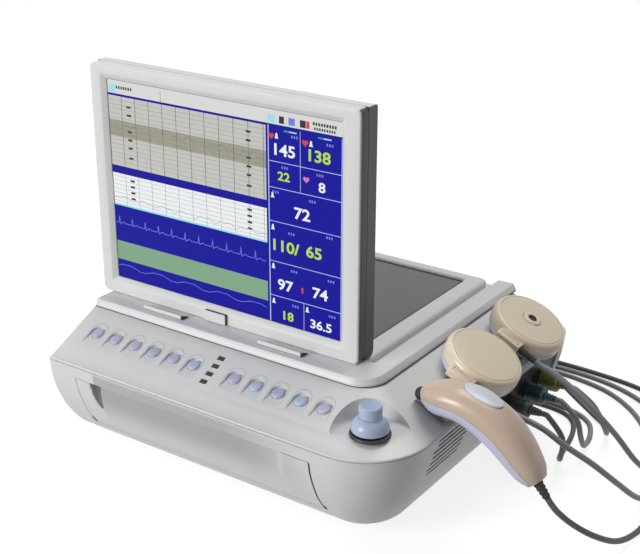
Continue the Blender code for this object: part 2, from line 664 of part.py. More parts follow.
def turned_ring(name, profile, place, steps=ROUND_STEPS):
    """Make a turned ring whose profile closes on itself."""
    return turned(name, profile, place, steps, closed=True)


def curve_to_object(curve, name, matrix, origin=(0.0, 0.0, 0.0)):
    """Turn a curve into a welded mesh object."""
    guide = bpy.data.objects.new(name + "_curve", curve)
    bpy.context.scene.collection.objects.link(guide)
    guide.matrix_world = matrix
    bpy.context.view_layer.update()
    graph = bpy.context.evaluated_depsgraph_get()
    mesh = bpy.data.meshes.new_from_object(guide.evaluated_get(graph))
    mesh.transform(matrix)
    bm = bmesh.new()
    bm.from_mesh(mesh)
    bmesh.ops.remove_doubles(bm, verts=bm.verts, dist=WELD)
    bpy.data.objects.remove(guide)
    bpy.data.meshes.remove(mesh)
    return object_from(bm, name, origin)


def extruded(name, outline, axis, low, high, origin=(0.0, 0.0, 0.0)):
    """Extrude a flat outline along an axis; it lies in the other two, in their order."""
    curve = bpy.data.curves.new(name, "CURVE")
    curve.dimensions = "2D"
    curve.fill_mode = "BOTH"
    curve.extrude = (high - low) / 2.0
    spline = curve.splines.new("POLY")
    spline.points.add(len(outline) - 1)
    for point, (across, up) in zip(spline.points, outline):
        point.co = (across, up, 0.0, 1.0)
    spline.use_cyclic_u = True
    middle = (low + high) / 2.0
    columns = {
        "X": ((0.0, 0.0, 1.0, middle), (1.0, 0.0, 0.0, 0.0), (0.0, 1.0, 0.0, 0.0)),
        "Y": ((1.0, 0.0, 0.0, 0.0), (0.0, 0.0, -1.0, middle), (0.0, 1.0, 0.0, 0.0)),
        "Z": ((1.0, 0.0, 0.0, 0.0), (0.0, 1.0, 0.0, 0.0), (0.0, 0.0, 1.0, middle)),
    }
    matrix = Matrix(columns[axis] + ((0.0, 0.0, 0.0, 1.0),))
    return curve_to_object(curve, name, matrix, origin)


def add_loft(bm, rings, closed=False):
    """Skin unlike sections of equal point count, capped at both ends unless closed."""
    rows = [[bm.verts.new(point) for point in ring] for ring in rings]
    pairs = list(zip(rows, rows[1:]))
    if closed:
        pairs.append((rows[-1], rows[0]))
    for first, second in pairs:
        count = len(first)
        for index in range(count):
            after = (index + 1) % count
            bm.faces.new((first[index], first[after], second[after], second[index]))
    if not closed:
        bm.faces.new(list(reversed(rows[0])))
        bm.faces.new(rows[-1])


def loft(name, rings, closed=False, origin=(0.0, 0.0, 0.0)):
    """Make an object from a skin over unlike sections."""
    bm = bmesh.new()
    add_loft(bm, rings, closed)
    return object_from(bm, name, origin)


def arc(centre, radii, start, end, steps):
    """Return points on an arc, with angles in degrees."""
    points = []
    for index in range(steps + 1):
        angle = math.radians(start + (end - start) * index / steps)
        points.append((
            centre[0] + radii[0] * math.cos(angle), centre[1] + radii[1] * math.sin(angle)))
    return points


def rounded_rectangle(left, right, low, high, radius, steps=4):
    """Return a rectangle with round corners, anticlockwise from the lower left."""
    pair = (radius, radius)
    points = arc((left + radius, low + radius), pair, 180.0, 270.0, steps)
    points += arc((right - radius, low + radius), pair, 270.0, 360.0, steps)
    points += arc((right - radius, high - radius), pair, 0.0, 90.0, steps)
    points += arc((left + radius, high - radius), pair, 90.0, 180.0, steps)
    return points


def body_outline(left, right, front, rear, front_radii, rear_radius):
    """Return a plan outline with square left corners and round right corners."""
    centre = (right - front_radii[0], front + front_radii[1])
    rear_pair = (rear_radius, rear_radius)
    points = [(left, front)]
    points += arc(centre, front_radii, -90.0, 0.0, CORNER_STEPS)
    rear_centre = (right - rear_radius, rear - rear_radius)
    points += arc(rear_centre, rear_pair, 0.0, 90.0, REAR_CORNER_STEPS)
    points.append((left, rear))
    return points


def at_height(points, height):
    """Lift plan points to a height."""
    return [(x, y, height) for x, y in points]


def interpolate(table, value):
    """Read a value from rising (key, value) pairs."""
    for (low_key, low), (high_key, high) in zip(table, table[1:]):
        if value <= high_key:
            share = (value - low_key) / (high_key - low_key)
            return low + (high - low) * max(share, 0.0)
    return table[-1][1]


def hull_inset(height):
    """Return how far the front wall lies behind the rim at a height."""
    return interpolate(HULL_LEVELS, height)


def panel_height(y):
    """Return the height of the sloping control panel at a depth."""
    share = (y - PANEL_FRONT) / (PANEL_REAR - PANEL_FRONT)
    return RIM_TOP + (TOP_LEVEL - RIM_TOP) * share


PANEL_ANGLE = math.atan2(TOP_LEVEL - RIM_TOP, PANEL_REAR - PANEL_FRONT)


def below_panel(y, depth):
    """Return (y, z) of a point under the panel, measured square to it."""
    return (y + depth * math.sin(PANEL_ANGLE), panel_height(y) - depth * math.cos(PANEL_ANGLE))


def wing_height(x):
    """Return the height of the sloping wing at a width."""
    return TOP_LEVEL - (x - TOP_RIGHT) * WING_SLOPE


# Housing

def hull_ring(height, wall):
    """Return the hull's section at a height, drawn in by the wall."""
    inset = hull_inset(height)
    radius = FRONT_CORNER_RADIUS - HULL_RADIUS_SHARE * inset - wall
    outline = body_outline(
        wall, BODY_WIDTH - HULL_SIDE_SHARE * inset - wall, inset + wall,
        BODY_DEPTH - HULL_REAR_SHARE * inset - wall, (radius, radius), REAR_CORNER_RADIUS - wall)
    return at_height(outline, height)


def make_lower_housing():
    """Make the open hull with its door opening, vents, connector opening and inlet hole."""
    levels = [height for height, inset in HULL_LEVELS]
    inner = [levels[-1]] + [level for level in reversed(levels[:-1]) if level > HULL_FLOOR_TOP]
    rings = [hull_ring(level, 0.0) for level in levels]
    rings += [hull_ring(level, WALL) for level in inner + [HULL_FLOOR_TOP]]
    hull = as_part(loft("lower_housing", rings), "housing_white", smooth=True)
    opening = box(
        "door_opening", (DOOR_LEFT - DOOR_CLEARANCE, -OVERSHOOT, DOOR_BOTTOM - DOOR_CLEARANCE),
        (DOOR_RIGHT + DOOR_CLEARANCE, PAPER_FRONT, DOOR_TOP + DOOR_CLEARANCE))
    bm = bmesh.new()
    for front, rear, rise in VENT_SHARES:
        height = RIM_BOTTOM * rise
        add_box(
            bm, (VENT_INNER, BODY_DEPTH * front, height - VENT_HEIGHT / 2.0),
            (BODY_WIDTH + OVERSHOOT, BODY_DEPTH * rear, height + VENT_HEIGHT / 2.0))
    vents = object_from(bm, "vent_slots")
    bm = bmesh.new()
    add_box(
        bm, (VENT_INNER - OVERSHOOT, CONNECTOR_FRONT - GAP, CONNECTOR_BOTTOM - GAP),
        (BODY_WIDTH + OVERSHOOT, CONNECTOR_REAR + GAP, CONNECTOR_TOP + GAP))
    add_box(
        bm, (INLET_LEFT - GAP, BODY_DEPTH - REAR_CORNER_RADIUS, INLET_BOTTOM - GAP),
        (INLET_RIGHT + GAP, BODY_DEPTH + OVERSHOOT, INLET_TOP + GAP))
    sockets = object_from(bm, "connector_openings")
    for tool in (opening, vents, sockets):
        cut(hull, as_cutter(tool))


def deck_void_ring(height):
    """Return the section of the space under the upper housing at a height."""
    rise = (height - RIM_TOP) / (TOP_LEVEL - RIM_TOP)
    level_front = PANEL_FRONT + (PANEL_REAR - PANEL_FRONT) * rise
    front = level_front + PANEL_THICKNESS / math.sin(PANEL_ANGLE)
    slope = math.atan(WING_SLOPE)
    right = TOP_RIGHT + (TOP_LEVEL - height) / WING_SLOPE - SHELL_THICKNESS / math.sin(slope)
    right = min(right, BODY_WIDTH - SHELL_THICKNESS)
    rear = min(BODY_DEPTH, BODY_DEPTH + (TOP_REAR - BODY_DEPTH) * rise) - SHELL_THICKNESS
    radius = FRONT_CORNER_RADIUS + (TOP_CORNER_RADIUS - FRONT_CORNER_RADIUS) * rise
    outline = body_outline(
        SHELL_THICKNESS, right, front, rear, (radius, radius), TOP_REAR_RADIUS)
    return outline


def make_upper_housing():
    """Make the rim, sloping panel and wing as one shell, with recesses, holes and pocket."""
    low = body_outline(
        0.0, BODY_WIDTH, 0.0, BODY_DEPTH, (FRONT_CORNER_RADIUS, FRONT_CORNER_RADIUS),
        REAR_CORNER_RADIUS)
    edge = body_outline(
        0.0, BODY_WIDTH - RIM_CHAMFER, RIM_CHAMFER, BODY_DEPTH - RIM_CHAMFER,
        (FRONT_CORNER_RADIUS - RIM_CHAMFER, FRONT_CORNER_RADIUS - RIM_CHAMFER),
        REAR_CORNER_RADIUS - RIM_CHAMFER)
    foot = body_outline(
        0.0, BODY_WIDTH - WING_EDGE_INSET, PANEL_FRONT, BODY_DEPTH - REAR_EDGE_INSET,
        (FRONT_CORNER_RADIUS - WING_EDGE_INSET, FRONT_CORNER_RADIUS - PANEL_FRONT),
        REAR_CORNER_RADIUS - REAR_EDGE_INSET)
    top = body_outline(
        0.0, TOP_RIGHT, PANEL_REAR, TOP_REAR, (TOP_CORNER_RADIUS, TOP_CORNER_RADIUS),
        TOP_REAR_RADIUS)
    rings = [
        at_height(low, RIM_BOTTOM), at_height(low, RIM_EDGE), at_height(edge, RIM_TOP),
        at_height(foot, RIM_TOP + GAP / 2.0), at_height(top, TOP_LEVEL)]
    deck = as_part(loft("upper_housing", rings), "housing_white", smooth=True)

    void = as_cutter(loft("deck_void", [
        at_height(deck_void_ring(RIM_BOTTOM), VOID_BOTTOM),
        at_height(deck_void_ring(RIM_BOTTOM), RIM_BOTTOM + GAP),
        at_height(deck_void_ring(VOID_TOP), VOID_TOP)]))
    cup_low = (POCKET_X, POCKET_Y, POCKET_FLOOR - POCKET_WALL)
    cup_high = (POCKET_X, POCKET_Y, TOP_LEVEL + OVERSHOOT)
    cup = as_cutter(rod("pocket_wall", cup_low, cup_high, POCKET_RADIUS + POCKET_WALL))
    cut(void, cup)
    cut(deck, void)
    pocket = rod(
        "knob_pocket", (POCKET_X, POCKET_Y, POCKET_FLOOR), cup_high, POCKET_RADIUS,
        steps=FINE_STEPS)
    cut(deck, as_cutter(pocket))
    room = rod(
        "encoder_room", (KNOB_X, KNOB_Y, VOID_BOTTOM), (KNOB_X, KNOB_Y, POCKET_FLOOR - POCKET_WALL),
        ENCODER_RADIUS + ENCODER_CLEARANCE)
    cut(deck, as_cutter(room))
    cut(deck, as_cutter(make_key_recesses()))
    cut(deck, as_cutter(make_panel_holes()))


def key_places():
    """Return the width position of each key, left group first."""
    left = [
        KEY_FIRST_LEFT_SHARE + KEY_PITCH_LEFT_SHARE * index for index in range(KEY_COUNT_LEFT)]
    right = [
        KEY_FIRST_RIGHT_SHARE + KEY_PITCH_RIGHT_SHARE * index for index in range(KEY_COUNT_RIGHT)]
    return [BODY_WIDTH * share for share in left + right]


def recess_floor(y):
    """Return the height of the key recesses' floor at a depth."""
    return panel_height(RECESS_FRONT) + (y - RECESS_FRONT) * math.tan(RECESS_TILT)


def key_matrix(x):
    """Return the frame of one key: origin on the recess floor, z along its travel."""
    place = Matrix.Translation((x, KEY_Y, recess_floor(KEY_Y)))
    return place @ Matrix.Rotation(RECESS_TILT, 4, "X")


def make_key_recesses():
    """Make the arched recess cutters, one closed body for each key."""
    bm = bmesh.new()
    reach = (KEY_Y - RECESS_FRONT) / math.cos(RECESS_TILT) + RECESS_RADIUS
    arch = [(-RECESS_RADIUS, -reach), (RECESS_RADIUS, -reach)]
    arch += arc((0.0, 0.0), (RECESS_RADIUS, RECESS_RADIUS), 0.0, 180.0, CORNER_STEPS)
    for x in key_places():
        matrix = key_matrix(x)
        floor = [matrix @ Vector((across, along, 0.0)) for across, along in arch]
        roof = [matrix @ Vector((across, along, OVERSHOOT)) for across, along in arch]
        add_loft(bm, [floor, roof])
    return object_from(bm, "key_recesses")


def make_panel_holes():
    """Make the cutters for the keys' holes, the indicator windows and the knob's shaft."""
    bm = bmesh.new()
    for x in key_places():
        matrix = key_matrix(x)
        add_rod(
            bm, matrix @ Vector((0.0, 0.0, -OVERSHOOT)), matrix @ Vector((0.0, 0.0, KEY_DEPTH)),
            KEY_RADIUS + KEY_HOLE_CLEARANCE, steps=KEY_STEPS)
    for y in WINDOW_YS:
        matrix = window_matrix(y)
        half_width = WINDOW_WIDTH / 2.0 + GAP
        half_length = WINDOW_LENGTH / 2.0 + GAP
        add_box(
            bm, (-half_width, -half_length, -OVERSHOOT),
            (half_width, half_length, OVERSHOOT), matrix)
    add_rod(
        bm, (KNOB_X, KNOB_Y, POCKET_FLOOR - POCKET_WALL - OVERSHOOT),
        (KNOB_X, KNOB_Y, POCKET_FLOOR + KEY_DEPTH), SHAFT_RADIUS + SHAFT_CLEARANCE, steps=KEY_STEPS)
    return object_from(bm, "panel_holes")


def window_matrix(y):
    """Return the frame of one indicator window, z square to the panel."""
    place = Matrix.Translation((WINDOW_X, y, panel_height(y)))
    return place @ Matrix.Rotation(PANEL_ANGLE, 4, "X")


def make_platform():
    """Make the raised L with its sloping outer sides and the two ridges over the hinges."""
    def outline(inset):
        front = PLATFORM_FRONT + inset
        right = PLATFORM_RIGHT - inset
        radius = TOP_CORNER_RADIUS + PLATFORM_RIGHT - TOP_RIGHT - inset
        centre = (right - radius, front + radius)
        points = [(PLATFORM_LEFT, front)]
        points += arc(centre, (radius, radius), -90.0, 0.0, CORNER_STEPS)
        points += [
            (right, PLATFORM_REAR), (PLATFORM_INNER_RIGHT, PLATFORM_REAR),
            (PLATFORM_INNER_RIGHT, PLATFORM_INNER_FRONT), (PLATFORM_LEFT, PLATFORM_INNER_FRONT)]
        return points

    rings = [
        at_height(outline(GAP), PLATFORM_BOTTOM), at_height(outline(GAP), PLATFORM_LIP),
        at_height(outline(PLATFORM_SLOPE_WIDTH), PLATFORM_TOP)]
    platform = as_part(loft("platform_ring", rings), "housing_white", smooth=True)
    for index, (left, right) in enumerate(RIDGE_SHARES):
        wedge = [
            (RIDGE_FRONT, PLATFORM_TOP - GAP), (RIDGE_REAR, PLATFORM_TOP - GAP),
            (RIDGE_REAR, PLATFORM_TOP + GAP), (RIDGE_FRONT, PLATFORM_TOP + RIDGE_HEIGHT)]
        ridge = extruded(
            f"ridge_{index + 1}", wedge, "X", BODY_WIDTH * left, BODY_WIDTH * right)
        join(platform, as_cutter(ridge))


def make_cradle():
    """Make the round-topped frame behind the display and its recessed floor."""
    def ring(inset, height):
        outer = rounded_rectangle(
            CRADLE_LEFT + inset, CRADLE_RIGHT - inset, CRADLE_FRONT + inset,
            CRADLE_REAR - inset, CRADLE_OUTER_RADIUS)
        return at_height(outer, height)

    def inner_ring(inset, height):
        points = rounded_rectangle(
            CRADLE_INNER_LEFT - inset, CRADLE_INNER_RIGHT + inset, CRADLE_INNER_FRONT - inset,
            CRADLE_INNER_REAR + inset, CRADLE_INNER_RADIUS)
        return at_height(points, height)

    crown = PLATFORM_TOP
    shoulder = (PLATFORM_LIP + CRADLE_FLOOR_TOP) / 2.0
    round_off = crown - shoulder
    soft = round_off * CRADLE_ROUND_SHARE
    rings = [
        ring(0.0, PLATFORM_BOTTOM), ring(0.0, shoulder), ring(soft, crown - soft),
        ring(round_off, crown), inner_ring(round_off, crown), inner_ring(soft, crown - soft),
        inner_ring(0.0, shoulder), inner_ring(0.0, PLATFORM_BOTTOM)]
    frame = as_part(loft("cradle_frame", rings, closed=True), "housing_white", smooth=True)
    bm = bmesh.new()
    for x in TILT_BRACKETS:
        add_box(
            bm,
            (x - BRACKET_HALF_WIDTH - GAP, TILT_Y - BRACKET_RADIUS - GAP, RIM_TOP),
            (x + BRACKET_HALF_WIDTH + GAP, TILT_Y + BRACKET_RADIUS + GAP, DISPLAY_TOP))
    cut(frame, as_cutter(object_from(bm, "bracket_slots")))
    inside = rounded_rectangle(
        CRADLE_INNER_LEFT + GAP, CRADLE_INNER_RIGHT - GAP, CRADLE_INNER_FRONT + GAP,
        CRADLE_INNER_REAR - GAP, CRADLE_INNER_RADIUS)
    floor = extruded("cradle_floor", inside, "Z", PLATFORM_BOTTOM, CRADLE_FLOOR_TOP)
    as_part(floor, "gloss_grey")


# Display

def upright(points, y):
    """Stand (x, z) points up at a depth."""
    return [(x, y, z) for x, z in points]


def make_display():
    """Make bezel, rear shell, screen and plain plate, with their origin on the tilt axis."""
    origin = (0.0, TILT_Y, TILT_Z)

    def outer(inset, y):
        points = rounded_rectangle(
            DISPLAY_LEFT + inset, DISPLAY_RIGHT - inset, DISPLAY_BOTTOM + inset,
            DISPLAY_TOP - inset, DISPLAY_CORNER_RADIUS)
        return upright(points, y)

    def screen(margin, y):
        points = rounded_rectangle(
            SCREEN_LEFT - margin, SCREEN_RIGHT + margin, SCREEN_BOTTOM - margin,
            SCREEN_TOP + margin, GAP)
        return upright(points, y)

    rings = [
        outer(0.0, BEZEL_REAR), outer(0.0, DISPLAY_FRONT + 2.0 * GAP),
        outer(RIM_CHAMFER, DISPLAY_FRONT), screen(SCREEN_SLOPE, DISPLAY_FRONT),
        screen(2.0 * GAP, DISPLAY_FRONT + SCREEN_DEPTH),
        screen(SCREEN_BORDER + GAP, DISPLAY_FRONT + SCREEN_DEPTH + GAP),
        screen(SCREEN_BORDER + GAP, BEZEL_REAR)]
    bezel = loft("display_bezel", rings, closed=True, origin=origin)
    as_part(bezel, "housing_white", smooth=True)

    glass = box(
        "screen_panel",
        (SCREEN_LEFT - SCREEN_BORDER, PANEL_GLASS_FRONT + GAP, SCREEN_BOTTOM - SCREEN_BORDER),
        (SCREEN_RIGHT + SCREEN_BORDER, BEZEL_REAR, SCREEN_TOP + SCREEN_BORDER), origin)
    as_part(glass, "screen_glass")

    corner = (SHELL_REAR - SHELL_EDGE_RADIUS, DISPLAY_BOTTOM + SHELL_EDGE_RADIUS)
    pair = (SHELL_EDGE_RADIUS, SHELL_EDGE_RADIUS)
    side = [(SHELL_FRONT, DISPLAY_TOP), (SHELL_FRONT, DISPLAY_BOTTOM)]
    side += arc(corner, pair, -90.0, 0.0, CORNER_STEPS)
    side.append((SHELL_REAR, DISPLAY_TOP))
    shell = extruded("display_shell", side, "X", DISPLAY_LEFT, DISPLAY_RIGHT, origin)
    as_part(shell, "shell_grey", smooth=True)
    pocket = box(
        "shell_pocket",
        (DISPLAY_LEFT + SHELL_POCKET_MARGIN, DISPLAY_FRONT, SHELL_POCKET_BOTTOM),
        (DISPLAY_RIGHT - SHELL_POCKET_MARGIN, SHELL_POCKET_REAR, DISPLAY_TOP - SHELL_POCKET_MARGIN))
    cut(shell, as_cutter(pocket))
    bm = bmesh.new()
    half = BRACKET_HALF_WIDTH + NOTCH_CLEARANCE
    for x in TILT_BRACKETS:
        add_box(
            bm, (x - half, TILT_Y - BRACKET_RADIUS - NOTCH_CLEARANCE, DISPLAY_BOTTOM - OVERSHOOT),
            (x + half, SHELL_REAR + OVERSHOOT, TILT_Z + BRACKET_RADIUS + NOTCH_CLEARANCE))
    cut(shell, as_cutter(object_from(bm, "bracket_notches")))
    bm = bmesh.new()
    reach = BRACKET_HALF_WIDTH + TILT_PIN_REACH
    for x in TILT_BRACKETS:
        add_rod(
            bm, (x - reach, TILT_Y, TILT_Z), (x + reach, TILT_Y, TILT_Z),
            TILT_PIN_RADIUS + BEARING_CLEARANCE, steps=ROUND_STEPS // 2)
    cut(shell, as_cutter(object_from(bm, "tilt_bores")))

    left = BODY_WIDTH * PLATE_MIDDLE_SHARE - PLATE_WIDTH / 2.0
    plate = box(
        "front_plate", (left, PLATE_FRONT, PLATE_BOTTOM),
        (left + PLATE_WIDTH, DISPLAY_FRONT - GAP, PLATE_TOP), origin)
    as_part(plate, "housing_white")
    soften(plate, RIM_CHAMFER)


def make_tilt_brackets():
    """Make the two steel brackets, each a post with a round head and its pin."""
    for name, x in zip(("left", "right"), TILT_BRACKETS):
        pair = (BRACKET_RADIUS, BRACKET_RADIUS)
        side = [
            (TILT_Y - BRACKET_RADIUS, PLATFORM_BOTTOM), (TILT_Y + BRACKET_RADIUS, PLATFORM_BOTTOM)]
        side += arc((TILT_Y, TILT_Z), pair, 0.0, 180.0, CORNER_STEPS)
        post = extruded(
            f"tilt_bracket_{name}", side, "X", x - BRACKET_HALF_WIDTH, x + BRACKET_HALF_WIDTH)
        as_part(post, "steel")
        reach = BRACKET_HALF_WIDTH + TILT_PIN_REACH - NOTCH_CLEARANCE
        pin = rod(
            f"tilt_pin_{name}", (x - reach, TILT_Y, TILT_Z), (x + reach, TILT_Y, TILT_Z),
            TILT_PIN_RADIUS, steps=ROUND_STEPS // 2)
        join(post, as_cutter(pin))


# Controls

def make_keys():
    """Make the round keys, each with its origin on its own line of travel."""
    profile = [
        (0.0, KEY_RISE), (KEY_RADIUS - KEY_EDGE, KEY_RISE), (KEY_RADIUS, KEY_RISE - KEY_EDGE),
        (KEY_RADIUS, -KEY_DEPTH), (0.0, -KEY_DEPTH)]
    for index, x in enumerate(key_places()):
        key = turned(f"key_{index + 1:02d}", profile, key_matrix(x), steps=KEY_STEPS)
        as_part(key, "key_lavender")


def make_key_board():
    """Make the switch board under the panel and the indicator windows' light bar."""
    corners = [
        below_panel(KEY_BOARD_FRONT, KEY_BOARD_DEPTH + KEY_BOARD_THICKNESS),
        below_panel(KEY_BOARD_REAR, KEY_BOARD_DEPTH + KEY_BOARD_THICKNESS),
        below_panel(KEY_BOARD_REAR, KEY_BOARD_DEPTH), below_panel(KEY_BOARD_FRONT, KEY_BOARD_DEPTH)]
    board = extruded("key_board", corners, "X", KEY_BOARD_LEFT, KEY_BOARD_RIGHT)
    as_part(board, "board_green")
    front = WINDOW_YS[0] - WINDOW_LENGTH
    rear = WINDOW_YS[-1] + WINDOW_LENGTH
    bar = [
        below_panel(front, WINDOW_BAR_BOTTOM), below_panel(rear, WINDOW_BAR_BOTTOM),
        below_panel(rear, WINDOW_BAR_TOP), below_panel(front, WINDOW_BAR_TOP)]
    lights = extruded(
        "indicator_bar", bar, "X", WINDOW_X - WINDOW_WIDTH, WINDOW_X + WINDOW_WIDTH)
    as_part(lights, "dark_plastic")
    bm = bmesh.new()
    for y in WINDOW_YS:
        add_box(
            bm, (-WINDOW_WIDTH / 2.0, -WINDOW_LENGTH / 2.0, -WINDOW_BAR_TOP - GAP),
            (WINDOW_WIDTH / 2.0, WINDOW_LENGTH / 2.0, -WINDOW_DEPTH), window_matrix(y))
    join(lights, as_cutter(object_from(bm, "indicator_windows")))


def make_knob():
    """Make the jog knob, its push shaft, the ring under it and the encoder below the floor."""
    place = Matrix.Translation((KNOB_X, KNOB_Y, 0.0))
    bore = SHAFT_RADIUS + SHAFT_CLEARANCE
    profile = [
        (KNOB_RADIUS * across, KNOB_BOTTOM + KNOB_HEIGHT * rise) for across, rise in KNOB_SHARES]
    profile += [(bore, KNOB_BOTTOM), (bore, KNOB_BORE_TOP), (0.0, KNOB_BORE_TOP)]
    as_part(turned("control_knob", profile, place, FINE_STEPS), "knob_blue")
    shaft = [
        (0.0, SHAFT_TOP), (SHAFT_RADIUS, SHAFT_TOP), (SHAFT_RADIUS, SHAFT_BOTTOM),
        (0.0, SHAFT_BOTTOM)]
    as_part(turned("knob_shaft", shaft, place, KEY_STEPS), "steel")
    ring = [
        (KNOB_RING_BORE, KNOB_RING_TOP), (KNOB_RING_RADIUS, KNOB_RING_TOP),
        (KNOB_RING_RADIUS, POCKET_FLOOR + GAP), (KNOB_RING_BORE, POCKET_FLOOR + GAP)]
    as_part(turned_ring("knob_ring", ring, place, FINE_STEPS), "dark_plastic")
    encoder = [
        (bore, ENCODER_TOP), (ENCODER_RADIUS, ENCODER_TOP), (ENCODER_RADIUS, ENCODER_BOTTOM),
        (0.0, ENCODER_BOTTOM)]
    encoder = [(0.0, ENCODER_BORE_BOTTOM), (bore, ENCODER_BORE_BOTTOM)] + encoder
    as_part(turned("encoder_body", encoder, place, KEY_STEPS), "dark_plastic")


# Recorder

def door_scoop(x_share, z):
    """Return how far the finger scoop dips at a height, for a share across its edge."""
    rise = max(0.0, (z - SCOOP_BOTTOM) / (DOOR_TOP - SCOOP_BOTTOM))
    return SCOOP_DEPTH * x_share * rise * rise * (3.0 - 2.0 * rise) ** 0.5


def make_door():
    """Make the recorder door: a plate that follows the hull, with ears and pins."""
    origin = (0.0, DOOR_AXIS_Y, DOOR_AXIS_Z)
    rings = []
    levels = [DOOR_BOTTOM + (DOOR_TOP - DOOR_BOTTOM) * share for share in DOOR_LEVEL_SHARES]
    for across, share in DOOR_STATION_SHARES:
        x = DOOR_LEFT + (DOOR_RIGHT - DOOR_LEFT) * across
        outer = [(x, hull_inset(z) + door_scoop(share, z), z) for z in levels]
        inner = [(px, py + DOOR_THICKNESS, pz) for px, py, pz in reversed(outer)]
        rings.append(outer + inner)
    door = as_part(loft("recorder_door", rings, origin=origin), "housing_white", smooth=True)
    pair = (EAR_RADIUS, EAR_RADIUS)
    ear = [(EAR_FRONT, DOOR_AXIS_Z + EAR_RADIUS), (EAR_FRONT, DOOR_AXIS_Z - EAR_RADIUS)]
    ear += arc((DOOR_AXIS_Y, DOOR_AXIS_Z), pair, -90.0, 90.0, CORNER_STEPS)
    left = DOOR_LEFT + EAR_MARGIN
    right = DOOR_RIGHT - EAR_MARGIN
    for name, low, pin_end in (
            ("left", left, DOOR_LEFT + PIN_MARGIN),
            ("right", right - EAR_WIDTH, DOOR_RIGHT - PIN_MARGIN)):
        lug = extruded(f"door_ear_{name}", ear, "X", low, low + EAR_WIDTH)
        join(door, as_cutter(lug))
        pin = rod(
            f"door_pin_{name}", (pin_end, DOOR_AXIS_Y, DOOR_AXIS_Z),
            (low + EAR_WIDTH / 2.0, DOOR_AXIS_Y, DOOR_AXIS_Z), DOOR_PIN_RADIUS,
            steps=ROUND_STEPS // 2)
        join(door, as_cutter(pin))


def make_recorder_frame():
    """Make the paper tray with its two side plates, bored for the door and the roller."""
    left = DOOR_LEFT + SIDE_PLATE_MARGIN
    right = DOOR_RIGHT - SIDE_PLATE_MARGIN
    pivot = (DOOR_AXIS_Y, DOOR_AXIS_Z)
    sweep = (LIP_SWEEP_RADIUS, LIP_SWEEP_RADIUS)
    boss = (PIVOT_BOSS_RADIUS, PIVOT_BOSS_RADIUS)
    lowest = math.degrees(math.asin((TRAY_TOP - DOOR_AXIS_Z) / LIP_SWEEP_RADIUS))
    shoulder = math.degrees(BOSS_SHOULDER)
    level = math.degrees(math.asin(
        PIVOT_BOSS_RADIUS * math.sin(BOSS_SHOULDER) / LIP_SWEEP_RADIUS))
    side = [(TRAY_REAR, PAPER_TOP), (TRAY_REAR, TRAY_BOTTOM), (TRAY_FRONT, TRAY_BOTTOM)]
    side += arc(pivot, sweep, lowest, level, LIP_SWEEP_STEPS)
    side += arc(pivot, boss, shoulder, -180.0, LIP_SWEEP_STEPS)
    for share in SIDE_PLATE_SHARES:
        z = DOOR_BOTTOM + (DOOR_TOP - DOOR_BOTTOM) * share
        side.append((hull_inset(z) + SIDE_PLATE_CLEARANCE, z))
    side.append((hull_inset(SIDE_PLATE_TOP) + SIDE_PLATE_CLEARANCE, SIDE_PLATE_TOP))
    side += [(HEAD_REAR + ROLLER_RADIUS, SIDE_PLATE_TOP), (PAPER_FRONT, PAPER_TOP)]
    frame = as_part(
        extruded("recorder_frame", side, "X", left, left + SIDE_PLATE_THICKNESS), "shell_grey")
    other = extruded("right_side_plate", side, "X", right - SIDE_PLATE_THICKNESS, right)
    join(frame, as_cutter(other))
    tray = box(
        "tray", (left + GAP, TRAY_FRONT, TRAY_BOTTOM + GAP),
        (right - GAP, TRAY_REAR - GAP, TRAY_TOP))
    join(frame, as_cutter(tray))
    back = box(
        "tray_back",
        (left + GAP, TRAY_REAR - TRAY_BACK_THICKNESS, TRAY_BOTTOM + 2.0 * GAP),
        (right - GAP, TRAY_REAR - 2.0 * GAP, PAPER_TOP - GAP))
    join(frame, as_cutter(back))
    bm = bmesh.new()
    for x in POST_XS:
        for y in POST_YS:
            add_rod(
                bm, (x, y, HULL_FLOOR_TOP + GAP), (x, y, TRAY_BOTTOM + 4.0 * GAP), POST_RADIUS,
                steps=ROUND_STEPS // 2)
    join(frame, as_cutter(object_from(bm, "tray_posts")))
    bm = bmesh.new()
    for y, z, radius in (
            (DOOR_AXIS_Y, DOOR_AXIS_Z, DOOR_PIN_RADIUS), (ROLLER_Y, ROLLER_Z, ROLLER_PIN_RADIUS)):
        add_rod(
            bm, (DOOR_LEFT - OVERSHOOT, y, z), (DOOR_RIGHT + OVERSHOOT, y, z),
            radius + BEARING_CLEARANCE, steps=ROUND_STEPS // 2)
    cut(frame, as_cutter(object_from(bm, "frame_bores")))


